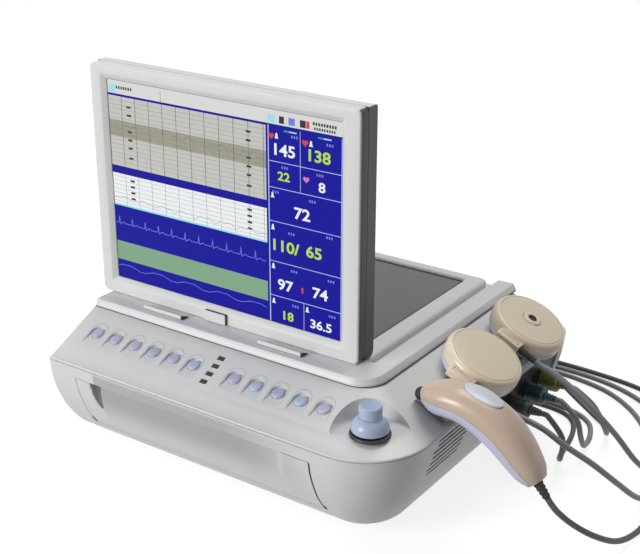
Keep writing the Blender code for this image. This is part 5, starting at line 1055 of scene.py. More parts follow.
@dataclass
class UpperHousing:
    """The rim, the sloping control panel and the wing, in one shell.

    A ring's insets are its right, front and rear one, then the front corner's two radii and
    the rear corner's. The pocket is its place and its radius.
    """

    wall: float = 3.5
    foot: tuple = (1.0, 3.7, 1.5, 56.0, 53.3, 18.5)
    top: tuple = (56.3, 60.9, 13.0, 22.0, 22.0, 10.0)
    rim: tuple = (
        ((0.9, 0.9, 0.9, 56.1, 56.1, 19.1), 94.0),
        ((0.25, 0.25, 0.25, 56.75, 56.75, 19.75), 94.3),
        ((0.0, 0.0, 0.0, 57.0, 57.0, 20.0), 94.9),
        ((0.12, 0.12, 0.12, 56.9, 56.9, 19.9), 95.6),
        ((0.6, 0.6, 0.6, 56.4, 56.4, 19.4), 96.15))
    pocket: tuple = (317.6, 33.0, 33.0)
    arch: float = 7.5
    windows: tuple = (25.5, 33.5, 41.6, 49.7)
    window_place: float = 156.5

    def ring(self, insets: tuple, height: float) -> Points:
        """Return a ring between the rim and the platform's foot.

        Args:
            insets: the six insets and radii.
            height: the ring's height.

        Returns:
            The ring's points.
        """
        right, front, rear, across, along, rear_radius = insets
        plan = body_outline(0.0, WIDTH - right, front, DEPTH - rear, (across, along), rear_radius)
        return lifted(plan, height)

    def void_ring(self, level: float, height: float) -> Points:
        """Return the hollow's section, a wall's thickness inside the panel, wing and rear.

        Args:
            level: the height of the outer skin that it follows.
            height: where the ring itself lies.

        Returns:
            The ring's points.
        """
        rise = (level - RIM_TOP) / PANEL_RISE
        front = RIM_FRONT + PANEL_RUN * rise + 6.5 / math.sin(PANEL_ANGLE)
        right = min(DECK_RIGHT + (DECK_TOP - level) / WING_SLOPE
                    - self.wall / math.sin(WING_ANGLE), WIDTH - self.wall)
        rear = min(DEPTH, DEPTH - 13.0 * rise) - self.wall
        radius = 57.0 - 35.0 * rise
        return lifted(
            body_outline(self.wall, right, front, rear, (radius, radius), 10.0), height)

    def build(self) -> list:
        """Build the shell: rings from the rim up, blended evenly between foot and top, then
        hollowed and cut for knob, keys and windows.

        Returns:
            The shell and the lines printed round the keys.
        """
        foot, top = np.array(self.foot), np.array(self.top)
        rings = [self.ring(insets, height) for insets, height in self.rim]
        for share in np.linspace(0.0, 1.0, 9):
            rings.append(self.ring(foot + (top - foot) * share, 96.35 + 26.95 * share))
        deck = Shape().skin(rings).tool("upper_housing_body")
        x, y, radius = self.pocket
        middle = Frame((x, y, POCKET_FLOOR))
        void = Shape().skin([self.void_ring(RIM_TOP, 90.0), self.void_ring(RIM_TOP, 96.5),
                             self.void_ring(119.5, 119.5)]).tool("deck_void")
        outer = radius + self.wall
        cup = Shape().turn([(0, -3.5), (outer, -3.5), (outer, 40), (0, 40)], middle)
        carved(void, [cup.tool("pocket_wall")])
        bowl = filleted([(0, 0, 0), (radius, 0, 2.0), (radius, 40, 0), (0, 40, 0)], 5)
        pocket = Shape().turn(bowl, middle, 128).tool("knob_pocket")
        half = self.arch
        reach = (KEY_DEPTH - RECESS_FRONT) / math.cos(RECESS_TILT) + half
        arch = np.concatenate((
            [[-half, -reach], [half, -reach]], arc((0, 0), (half, half), 0.0, 180.0, 24)))
        arches, holes = Shape(), Shape()
        for across in KEY_PLACES:
            frame = key_frame(across)
            arches.skin([frame.carry(lifted(arch, 0.0)), frame.carry(lifted(arch, 10.0))])
            holes.turn([(0, -10), (5.65, -10), (5.65, 1), (0, 1)], frame, 40)
        knob = Frame((*KNOB_PLACE, POCKET_FLOOR))
        holes.turn([(0, -15), (3.4, -15), (3.4, 3), (0, 3)], knob, 32)
        for depth in self.windows:
            frame = sloped((self.window_place, depth, panel_height(depth)), PANEL_ANGLE)
            holes.box((-3.55, -2.3, -10.0), (3.55, 2.3, 10.0), frame)
        carved(deck, [void, pocket, arches.tool("arches"), holes.tool("holes")])
        piece = Piece("upper_housing_body", "base", Slot.HOUSING, ("upper_housing",), 0.35, 28.0)
        return [piece.dress(deck), self.outlines()]

    def outlines(self) -> Object:
        """Build the thin printed arch line round each key recess, lying on the panel: a band
        between two arches, 0.35 mm apart.

        Returns:
            The lines as one piece.
        """
        shape = Shape()
        inner, outer = (np.concatenate((
            [[half, -12.0]], arc((0, 1.4), (half, half + 0.4), 0.0, 180.0, 28),
            [[-half, -12.0]])) for half in (8.2, 8.55))
        rings = [lifted(inner, 0.1), lifted(outer, 0.1), lifted(outer, -0.1), lifted(inner, -0.1)]
        for across in KEY_PLACES:
            frame = sloped((across, KEY_DEPTH, panel_height(KEY_DEPTH)), PANEL_ANGLE)
            grid = np.stack([frame.carry(ring) for ring in rings])
            shape.grid(grid, wrap_first=True)
            shape.add(grid[:, 0], [(0, 1, 2, 3)])
            shape.add(grid[:, -1], [(3, 2, 1, 0)])
        # Printed ink: flat grey that stays dull where the panel shines
        ink = MouldedPlastic("arch_ink_grey", "#a3a4a6", 0.5, 0.5, 0.0)
        return Piece("key_arch_lines", "base", Slot.DARK, angle=30.0, finish=ink).show(shape)


@dataclass
class Platform:
    """The raised L-shaped platform with its two hinge ridges and a line of painted shadow round
    it.

    A step is the outline's inset and its height. A ridge is its left and its right end.
    """

    left: float = 0.4
    front: float = 60.9
    right: float = 300.0
    rear: float = 313.0
    inner_corner: tuple = (281.4, 96.4)
    corner: float = 23.9
    steps: tuple = ((0.3, 123.6), (0.3, 125.0), (0.5, 125.5), (2.7, 129.45), (3.1, 129.85),
                    (3.6, 130.0))
    ridges: tuple = ((50.8, 95.9), (179.4, 225.3))

    def outline(self, inset: float, height: float) -> Points:
        """Return the L's ring.

        Args:
            inset: how far its outer edge is drawn in.
            height: the ring's height.

        Returns:
            The ring's points.
        """
        front, right = self.front + inset, self.right - inset
        radius = self.corner - inset
        bend = arc((right - radius, front + radius), (radius, radius), -90.0, 0.0, 28)
        x, y = self.inner_corner
        rest = [(right, self.rear), (x, self.rear), (x, y), (self.left, y)]
        return lifted(np.concatenate(([[self.left, front]], bend, rest)), height)

    def build(self) -> list:
        """Build the platform's rings from joint to top, its line of painted shadow and its
        ridges.

        Returns:
            Platform, its painted shadow line, ridges and the painted shadow on the ridges' ends
            and feet.
        """
        body = Shape().skin([self.outline(*step) for step in self.steps])
        # Painted shadow: a dark strip just outside the platform's foot, for the shadow in its
        # joint
        seal = Shape().skin([self.outline(-0.25, 123.35), self.outline(-0.25, 123.75)])
        wedges, ends = Shape(), Shape()
        side = sideways(filleted(
            [(70.3, 129.9, 0), (70.3, 134.0, 0.7), (79.3, 130.2, 0.0), (79.3, 129.9, 0)], 4))
        for left, right in self.ridges:
            wedges.prism(side, (left, 0, 0), (right - 1.6, 0, 0))
            # Painted shadow: the right end of each ridge, and a line along its front foot
            ends.prism(side, (right - 1.55, 0, 0), (right, 0, 0))
            ends.box((left - 0.35, 69.95, 129.9), (right + 0.3, 70.3, 130.25))
        piece = Piece("platform_body", "base", Slot.HOUSING, ("platform_ring",), 0.3, 40.0)
        return [piece.show(body), Piece("platform_seal", "base", Slot.DARK).show(seal),
                Piece("hinge_ridges", "base", Slot.HOUSING, (), 0.25).show(wedges),
                Piece("hinge_ridge_ends", "base", Slot.DARK).show(ends)]


@dataclass
class Cradle:
    """The round-topped frame behind the display.

    Each outline is its left, right, front and rear side and its corner radius.
    """

    outside: tuple = (3.0, 272.0, 97.0, 310.5, 6.0)
    inside: tuple = (20.5, 253.1, 112.0, 296.5, 3.0)
    bottom: float = 123.6
    shoulder: float = 126.2
    crown: float = 3.8

    def ring(self, sides: tuple, inset: float, height: float) -> Points:
        """Return one of the two outlines.

        Args:
            sides: the outline.
            inset: how far it is drawn in.
            height: the ring's height.

        Returns:
            The ring's points.
        """
        left, right, front, rear, radius = sides
        plan = rounded_rectangle(left + inset, right - inset, front + inset, rear - inset, radius)
        return lifted(plan, height)

    def build(self) -> list:
        """Build the frame: outer and inner rings whose crown is a half round.

        Returns:
            The frame and the dark strip of painted shadow round its floor.
        """
        angle = np.radians(np.linspace(0.0, 90.0, 9))
        bend = np.column_stack((
            self.crown * (1 - np.cos(angle)), self.shoulder + self.crown * np.sin(angle)))
        rings = [self.ring(self.outside, 0.0, self.bottom)]
        rings += [self.ring(self.outside, inset, height) for inset, height in bend]
        rings += [self.ring(self.inside, -inset, height) for inset, height in bend[::-1]]
        rings.append(self.ring(self.inside, 0.0, self.bottom))
        frame = Shape().skin(rings, closed=True).tool("cradle_body")
        slots = Shape()
        for x in BRACKETS:
            slots.box((x - 6.3, 99.5, 96.0), (x + 6.3, 107.5, 344.0))
        carved(frame, [slots.tool("bracket_slots")])
        # Painted shadow: a dark strip along the frame's inner edge, where shade falls on the
        # floor
        seal = Shape().skin([self.ring(self.inside, inset, height) for inset, height in (
            (0.05, 127.7), (1.7, 127.7), (1.7, 127.2), (0.05, 127.2))], closed=True)
        piece = Piece("cradle_body", "base", Slot.HOUSING, ("cradle_frame",), 0.25, 50.0)
        return [piece.dress(frame), Piece("cradle_gasket", "base", Slot.RUBBER_AND_PAINTED_SHADOW).show(seal)]


# Display

# Each is one colour of the lit picture and gives off its own even light
SCREEN = {
    "status": LitPicture("lcd_status_grey", "#dcdcda"),
    "trace": LitPicture("lcd_chart_grey", "#ccccc6", mottle=0.12),
    "white": LitPicture("lcd_white", "#f0f3f5"),
    "blue": LitPicture("lcd_blue", "#12109a"),
    "green": LitPicture("lcd_green", "#84aa8a"),
    "line": LitPicture("lcd_line_grey", "#757576"),
    "faint": LitPicture("lcd_faint_line", "#a6a6a4"),
    "speckle": LitPicture("lcd_band_grey", "#b0ae9c", mottle=0.55),
    "sky": LitPicture("lcd_sky_blue", "#6f86e0"),
    "cyan": LitPicture("lcd_cyan", "#9fe0ee"),
    "teal": LitPicture("lcd_teal", "#2fa08a"),
    "pale": LitPicture("lcd_pale_blue", "#b6c6f0"),
    "lime": LitPicture("lcd_lime", "#b7e24b"),
    "red": LitPicture("lcd_red", "#d8434e"),
    "pink": LitPicture("lcd_pink", "#dd7fb4"),
    "dots": LitPicture("lcd_trace_green", "#a3ab7c"),
    "ink": LitPicture("lcd_ink", "#33363d"),
}


@dataclass
class Picture:
    """The lit picture on the display: plain charts, traces and generic numbers.

    Places are shares of the picture from its upper left corner. Each layer lies a twentieth
    of a millimetre before the last.
    """

    face: float = 87.15
    layer_step: float = 0.05
    shape: Shape = field(default_factory=Shape)
    order: tuple = tuple(SCREEN)
    # Colour, left, right, upper and lower edge, layer
    areas: tuple = (
        ("blue", 0, 1, 0, 1, 0), ("status", 0, 1, 0.0, 0.064, 1),
        ("trace", 0, 0.697, 0.075, 0.418, 1), ("speckle", 0, 0.697, 0.192, 0.272, 2),
        ("white", 0, 0.697, 0.457, 0.621, 1), ("cyan", 0, 0.697, 0.612, 0.621, 2),
        ("green", 0, 0.697, 0.808, 0.905, 1), ("pale", 0.705, 0.709, 0.07, 1, 1),
        ("pale", 0.8345, 0.8365, 0.075, 0.351, 1), ("pale", 0.847, 0.849, 0.868, 1, 1),
        ("pale", 0.996, 0.999, 0.07, 1, 1))
    # The same and, for a row, its step across and down and its count
    grids: tuple = (
        ("line", 0.0607, 0.0633, 0.075, 0.418, 3, 0.0625, 0.0, 11),
        ("line", 0.0613, 0.0627, 0.457, 0.612, 3, 0.0625, 0.0, 11),
        ("faint", 0.0, 0.697, 0.0938, 0.0962, 3, 0.0, 0.0215, 15),
        ("line", 0.0, 0.697, 0.4714, 0.4726, 3, 0.0, 0.021, 7),
        ("line", 0.245, 0.247, 0.012, 0.067, 2))
    signs: tuple = (
        ("cyan", 0.706, 0.735, 0.024, 0.056, 2), ("ink", 0.752, 0.772, 0.024, 0.056, 2),
        ("sky", 0.790, 0.815, 0.024, 0.056, 2), ("ink", 0.835, 0.858, 0.024, 0.056, 2),
        ("red", 0.860, 0.872, 0.024, 0.056, 2),
        ("ink", 0.885, 0.892, 0.022, 0.036, 2, 0.0105, 0.0, 9),
        ("ink", 0.890, 0.896, 0.044, 0.056, 2, 0.0095, 0.0, 9),
        ("ink", 0.040, 0.047, 0.026, 0.040, 2, 0.011, 0.0, 7),
        ("cyan", 0.008, 0.034, 0.022, 0.058, 2),
        ("teal", 0.770, 0.792, 0.083, 0.090, 2, 0.135, 0.0, 2),
        ("pale", 0.792, 0.822, 0.083, 0.090, 2, 0.135, 0.0, 2),
        ("red", 0.838, 0.846, 0.795, 0.822, 2))
    dividers: tuple = (0.231, 0.351, 0.509, 0.700, 0.868)
    scale_marks: tuple = (0.115, 0.155, 0.235, 0.275, 0.315, 0.365, 0.478, 0.508, 0.538, 0.568)
    captions: tuple = (
        (0.800, 0.100), (0.938, 0.105), (0.870, 0.372), (0.785, 0.545), (0.938, 0.520),
        (0.795, 0.722), (0.945, 0.722), (0.800, 0.890), (0.950, 0.890), (0.722, 0.365),
        (0.760, 0.246), (0.900, 0.246))
    bells: tuple = ((0.741, 0.112), (0.878, 0.118), (0.722, 0.385), (0.722, 0.535),
                    (0.722, 0.722), (0.722, 0.893), (0.862, 0.893))
    hearts: tuple = (("red", 0.719, 0.117), ("red", 0.855, 0.121), ("pink", 0.859, 0.284))
    # Digits, colour, place and height in millimetres
    numbers: tuple = (
        ("145", "white", 0.769, 0.173, 9.6), ("138", "lime", 0.906, 0.169, 9.6),
        ("22", "lime", 0.769, 0.292, 7.4), ("8", "white", 0.921, 0.304, 8.2),
        ("72", "white", 0.842, 0.446, 9.8), ("110/", "lime", 0.770, 0.618, 9.8),
        ("65", "lime", 0.890, 0.612, 9.8), ("97", "white", 0.771, 0.805, 9.4),
        ("74", "white", 0.914, 0.801, 9.4), ("18", "lime", 0.779, 0.954, 7.8),
        ("36.5", "white", 0.918, 0.955, 7.8))

    def place(self, across: Points, down: Points) -> tuple:
        """Turn shares of the picture into width and height."""
        left, right, low, high = SCREEN_BOX
        return left + (right - left) * np.asarray(across), high - (high - low) * np.asarray(down)

    def sheet(self, colour: str, x: Points, z: Points, faces: Points, layer: int) -> None:
        """Add flat faces of one colour in one layer."""
        flat = upright(np.column_stack((x, z)), self.face - self.layer_step * layer)
        self.shape.add(flat, faces, self.order.index(colour))

    def fill(self, colour: str, left: float, right: float, upper: float, lower: float,
             layer: int, across: float = 0.0, down: float = 0.0, count: int = 1) -> None:
        """Add a rectangle of one colour, once or in a row.

        Args:
            colour: its name.
            left, right, upper, lower: the first one's edges.
            layer: how many layers lie under it.
            across, down: step from each one to the next.
            count: how many there are.
        """
        step = np.arange(count)[:, None]
        x, z = self.place(np.array([left, right, right, left]) + across * step,
                          np.array([lower, lower, upper, upper]) + down * step)
        self.sheet(colour, x.ravel(), z.ravel(), np.arange(4 * count).reshape(-1, 4), layer)

    def stroke(self, colour: str, u: Points, v: Points, width: float, layer: int) -> None:
        """Add a line of even width along a path: each point moves half the width both ways
        along the path's normal.

        Args:
            colour: its name.
            u, v: the path's places.
            width: the line's width in millimetres.
            layer: how many layers lie under it.
        """
        line = np.column_stack(self.place(u, v))
        run = unit(np.gradient(line, axis=0))
        side = np.column_stack((-run[:, 1], run[:, 0])) * width / 2.0
        depth = self.face - self.layer_step * layer
        grid = np.stack((upright(line + side, depth), upright(line - side, depth)))
        self.shape.grid(grid, mark=self.order.index(colour))

    def traces(self) -> None:
        """Add the traces: sums of sines for the heart rates, dips of a folded sine for the
        contractions, three bell curves for each beat, and a clipped saw for the breath."""
        u = np.linspace(0.0, 0.69, 420)
        baby = 0.222 + 0.010 * np.sin(u * 47.0) + 0.006 * np.sin(u * 131.0 + 1.0)
        twin = 0.240 + 0.009 * np.sin(u * 38.0 + 2.0) + 0.006 * np.sin(u * 149.0)
        womb = 0.596 - 0.014 * np.abs(np.sin(u * 33.0)) - 0.010 * np.abs(np.sin(u * 71.0 + 1.0))
        beat = np.mod(u / 0.0627, 1.0)
        pulse = np.full(len(u), 0.712)
        for rise, centre, spread in ((-0.040, 0.3, 0.03), (0.010, 0.36, 0.03),
                                     (-0.007, 0.62, 0.08)):
            pulse += rise * np.exp(-((beat - centre) / spread) ** 2)
        saw = np.abs(np.mod(u / 0.15 + 0.2, 1.0) - 0.5) * 2.0
        breath = 0.932 + 0.016 * np.clip(saw * 1.9 - 0.55, 0.0, 1.0)
        for colour, v, width, layer in (
                ("line", baby, 0.3, 4), ("dots", twin, 0.3, 4), ("faint", womb, 0.45, 4),
                ("sky", pulse, 0.6, 2), ("sky", breath, 0.55, 2)):
            self.stroke(colour, u, v, width, layer)

    def bell(self, u: float, v: float) -> None:
        """Add a small plain bell: a narrow trapezium on a wider foot.

        Args:
            u, v: place of its middle.
        """
        x, z = self.place(u, v)
        points = np.array([(-2.0, -2.6), (2.0, -2.6), (1.2, -1.2), (0.9, 1.4), (0.0, 2.4),
                           (-0.9, 1.4), (-1.2, -1.2)])
        self.sheet("white", x + points[:, 0], z + points[:, 1], [range(7)], 2)

    def heart(self, colour: str, u: float, v: float) -> None:
        """Add a small heart: x is 16 sin cubed, z is 13 cos less 5, 2 and 1 of its overtones.

        Args:
            colour: its colour's name.
            u, v: place of its middle.
        """
        t = np.linspace(0.0, math.tau, 33)[:0:-1]
        x, z = self.place(u, v)
        x = x + 0.19 * 16.0 * np.sin(t) ** 3
        z = z + 0.19 * (13 * np.cos(t) - 5 * np.cos(2 * t) - 2 * np.cos(3 * t) - np.cos(4 * t))
        self.sheet(colour, x, z, [range(len(t))], 2)

    def number(self, text: str, colour: str, u: float, v: float, height: float) -> None:
        """Add plain digits, a fifth wider than the font has them.

        Args:
            text: the digits.
            colour: their colour's name.
            u, v: place of their middle.
            height: their height in millimetres.
        """
        curve = bpy.data.curves.new("digits", "FONT")
        curve.body = text
        curve.size = height / 0.72
        curve.align_x = "CENTER"
        curve.offset = height * 0.034
        curve.resolution_u = 3
        obj = linked("digits", curve)
        mesh = evaluated_mesh(obj)
        bpy.data.objects.remove(obj)
        flat = read(mesh.vertices, "co")
        corners = np.empty(len(mesh.loops), np.int32)
        mesh.loops.foreach_get("vertex_index", corners)
        x, z = self.place(u, v)
        self.sheet(colour, flat[:, 0] * 1.2 + x, flat[:, 1] + z - height / 2.0,
                   corners.reshape(-1, 3), 3)
        bpy.data.meshes.remove(mesh)

    def build(self) -> list:
        """Build the picture from its areas, grids, traces, signs and numbers.

        Returns:
            The picture as one piece.
        """
        for item in self.areas:
            self.fill(*item)
        for v in self.dividers:
            self.fill("pale", 0.709, 0.999, v - 0.0016, v + 0.0016, 1)
        for item in self.grids:
            self.fill(*item)
        self.traces()
        for v in self.scale_marks:
            self.fill("ink", 0.085, 0.105, v, v + 0.010, 4, 0.53, 0.0, 2)
        for item in self.hearts:
            self.heart(*item)
        for item in self.signs:
            self.fill(*item)
        for item in self.bells:
            self.bell(*item)
        for u, v in self.captions:
            self.fill("sky", u, u + 0.006, v, v + 0.012, 2, 0.010, 0.0, 3)
        for item in self.numbers:
            self.number(*item)
        obj = self.shape.tool("screen_picture", solid=False)
        for finish in SCREEN.values():
            obj.data.materials.append(material_of(finish))
        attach(obj, "display")
        return [obj]


@dataclass
class Display:
    """The tilting display: bezel, rear shell and the plain plate under the screen.

    A step of the outer edge is its inset and its depth. A step of the screen's edge is its
    margin, its depth and its corner radius.
    """

    left: float = -9.5
    right: float = 271.9
    low: float = 130.5
    high: float = 344.0
    outer_steps: tuple = ((0.0, 94.0), (0.0, 84.6), (0.25, 83.7), (0.8, 83.15), (1.5, 83.0))
    screen_steps: tuple = (
        (5.6, 83.0, 2.4), (5.0, 83.15, 2.2), (4.5, 83.5, 2.0), (0.9, 86.1, 1.2),
        (0.5, 86.5, 1.0), (0.4, 87.05, 0.6), (4.3, 87.1, 0.6), (4.3, 94.0, 0.6))
    shell_front: float = 94.6
    shell_rear: float = 107.0

    def outer(self, inset: float, depth: float) -> Points:
        """Return the display's outline.

        Args:
            inset: how far it is drawn in.
            depth: where it lies.

        Returns:
            The outline's points.
        """
        plan = rounded_rectangle(self.left + inset, self.right - inset, self.low + inset,
                                 self.high - inset, 5.0 - inset * 0.6, 12)
        return upright(plan, depth)

    def screen(self, margin: float, depth: float, radius: float) -> Points:
        """Return the screen's outline.

        Args:
            margin: how far it is widened.
            depth: where it lies.
            radius: its corner radius.

        Returns:
            The outline's points.
        """
        left, right, low, high = SCREEN_BOX
        plan = rounded_rectangle(
            left - margin, right + margin, low - margin, high + margin, radius, 12)
        return upright(plan, depth)

    def bezel(self) -> Object:
        """Build the bezel, with its two outer sides in the shell's dark grey as painted shade.

        Returns:
            The bezel.
        """
        rings = [self.outer(*step) for step in self.outer_steps]
        rings += [self.screen(*step) for step in self.screen_steps]
        bezel = Piece("bezel_body", "display", Slot.HOUSING, ("display_bezel",),
                      angle=50.0).show(Shape().skin(rings, closed=True))
        across, depth, _ = read_mm(bezel.data.polygons, "center")
        sides = (np.abs(read(bezel.data.polygons, "normal")[:, 0]) > 0.35) & (depth > 84.7)
        sides &= (across < self.left + 2.5) | (across > self.right - 2.5)
        # Painted shade: darker satin on the bezel's flanks, for the shadow beside the white face
        mark_faces(bezel, MouldedPlastic("bezel_side_painted_shade", "#3e3f42", 0.46), sides)
        return bezel

    def build(self) -> list:
        """Build the display.

        Returns:
            Bezel, shell, plate, the plate's shadow line and the picture.
        """
        plate = Shape().skin([
            upright(rounded_rectangle(113.4, 136.2, 131.4, 141.0, 1.0, 6), 82.7),
            upright(rounded_rectangle(113.4, 136.2, 131.4, 141.0, 1.0, 6), 81.0),
            upright(rounded_rectangle(113.8, 135.8, 131.8, 140.6, 0.7, 6), 80.45)])
        edge = Shape().box((136.2, 80.9, 131.4), (136.6, 82.75, 141.3))
        edge.box((113.8, 80.9, 141.0), (136.6, 82.75, 141.3))
        piece = Piece("lower_plate", "display", Slot.HOUSING, ("front_plate",), 0.2, 50.0)
        return [self.bezel(), self.shell(), piece.show(plate),
                Piece("plate_shadow_line", "display", Slot.DARK).show(edge),
                *Picture().build()]

    def shell(self) -> Object:
        """Build the rear shell: its side profile drawn across, then hollowed and grooved.

        Returns:
            The shell, whose top face is white as the bezel.
        """
        front, rear = self.shell_front, self.shell_rear
        side = filleted([
            (front, self.high, 0), (front, self.low, 0), (rear, self.low, 6.0),
            (rear, self.high, 3.0), (front, self.high, 0)], 10)[:-1]
        body = Shape().prism(sideways(side), (self.left, 0, 0), (self.right, 0, 0))
        body = body.tool("shell_body")
        pocket = Shape().box((-4.5, 83.0, 143.0), (266.9, 104.5, 339.0))
        notches, bores, grooves = Shape(), Shape(), Shape()
        for x in BRACKETS:
            notches.box((x - 6.5, 99.3, 120.5), (x + 6.5, 117.0, 138.7))
            bores.turn([(0, -20), (1.9, -20), (1.9, 20), (0, 20)],
                       Frame((x, *TILT_AXIS)).end_on(), 24)
        for index in range(22):
            x = 74.0 + 5.4 * index
            line = rounded_rectangle(x, x + 2.2, 255.0, 315.0, 1.05, 5)
            grooves.prism(upright(line, 0.0), (0, 106.0, 0), (0, 110.0, 0))
        ring = rounded_rectangle(8.0, 254.4, 150.0, 326.0, 6.0, 8)
        inner = rounded_rectangle(8.7, 253.7, 150.7, 325.3, 5.4, 8)
        grooves.skin([upright(ring, 106.5), upright(ring, 110.0), upright(inner, 110.0),
                      upright(inner, 106.5)], closed=True)
        carved(body, [pocket.tool("pocket"), notches.tool("notches"), bores.tool("bores"),
                      grooves.tool("grooves")])
        shell = Piece("shell_body", "display", Slot.SHELL, ("display_shell",), 0.4,
                      50.0).dress(body)
        faces = shell.data.polygons
        top = (read(faces, "normal")[:, 2] > 0.5) & (read_mm(faces, "center")[2] > 343.0)
        mark_faces(shell, FINISHES[Slot.HOUSING], top)
        return shell


# Controls

@dataclass
class Controls:
    """Keys, jog knob and the ring under it.

    Profiles are (radius, height, rounding) corners.
    """

    # Silicone keys: three near tints, so that no two neighbours catch the light quite alike
    tints: tuple = (
        MouldedPlastic("key_silicone_blue", "#c0cae2", 0.36),
        MouldedPlastic("key_silicone_violet", "#ccc8e4", 0.36),
        MouldedPlastic("key_silicone_sky", "#c2d4e6", 0.36))
    pattern: tuple = (0, 1, 1, 0, 1, 2, 1, 2, 0, 2, 1)
    key: tuple = ((0.0, 2.9, 0), (3.2, 2.85, 6.0), (5.25, 2.45, 0.7), (5.25, -3.3, 0.4),
                  (0.0, -3.3, 0))
    cap: tuple = ((0.0, 21.4, 0), (8.3, 21.4, 0.8), (9.2, 20.5, 0.5), (9.2, 11.4, 0.5),
                  (10.0, 11.1, 0))
    foot: tuple = ((15.0, 1.5, 0), (15.0, 0.0, 0.4), (3.4, 0.0, 0), (3.4, 17.4, 0),
                   (0.0, 17.4, 0))
    line: tuple = ((9.1, 11.5, 0), (9.27, 11.5, 0), (9.27, 11.8, 0), (9.1, 11.8, 0))
    ring: tuple = ((6.0, 3.1, 0), (16.5, 3.2, 1.4), (16.5, 0.3, 0.3), (6.0, 0.3, 0))
    knob_height: float = 107.6

    def build(self) -> list:
        """Build the keys and the knob: cap, a quarter of an ellipse for the bell, and foot.

        Returns:
            The key caps, the knob, the line under its cap and the ring.
        """
        crown = filleted(self.key, 6)
        pieces = []
        for index, across in enumerate(KEY_PLACES):
            name = f"key_{index + 1:02d}"
            piece = Piece(f"{name}_cap", name, Slot.KEY, (name,), angle=35.0,
                          finish=self.tints[self.pattern[index]])
            pieces.append(piece.show(Shape().turn(crown, key_frame(across), 56)))
        bell = arc((6.4, 1.6), (8.6, 9.7), 64.0, 0.0, 24)
        knob = np.concatenate((filleted(self.cap, 6), bell, filleted(self.foot, 4)))
        place = Frame((*KNOB_PLACE, self.knob_height))
        floor = Frame((*KNOB_PLACE, POCKET_FLOOR))
        return pieces + [
            Piece("jog_knob", "control_knob", Slot.KNOB, ("control_knob",), angle=38.0).show(
                Shape().turn(knob, place, 128)),
            Piece("knob_cap_line", "control_knob", Slot.DARK).show(
                Shape().turn(filleted(self.line), place, 128, True)),
            Piece("knob_ring_body", "base", Slot.DARK, ("knob_ring",)).show(
                Shape().turn(filleted(self.ring, 6), floor, 128, True))]


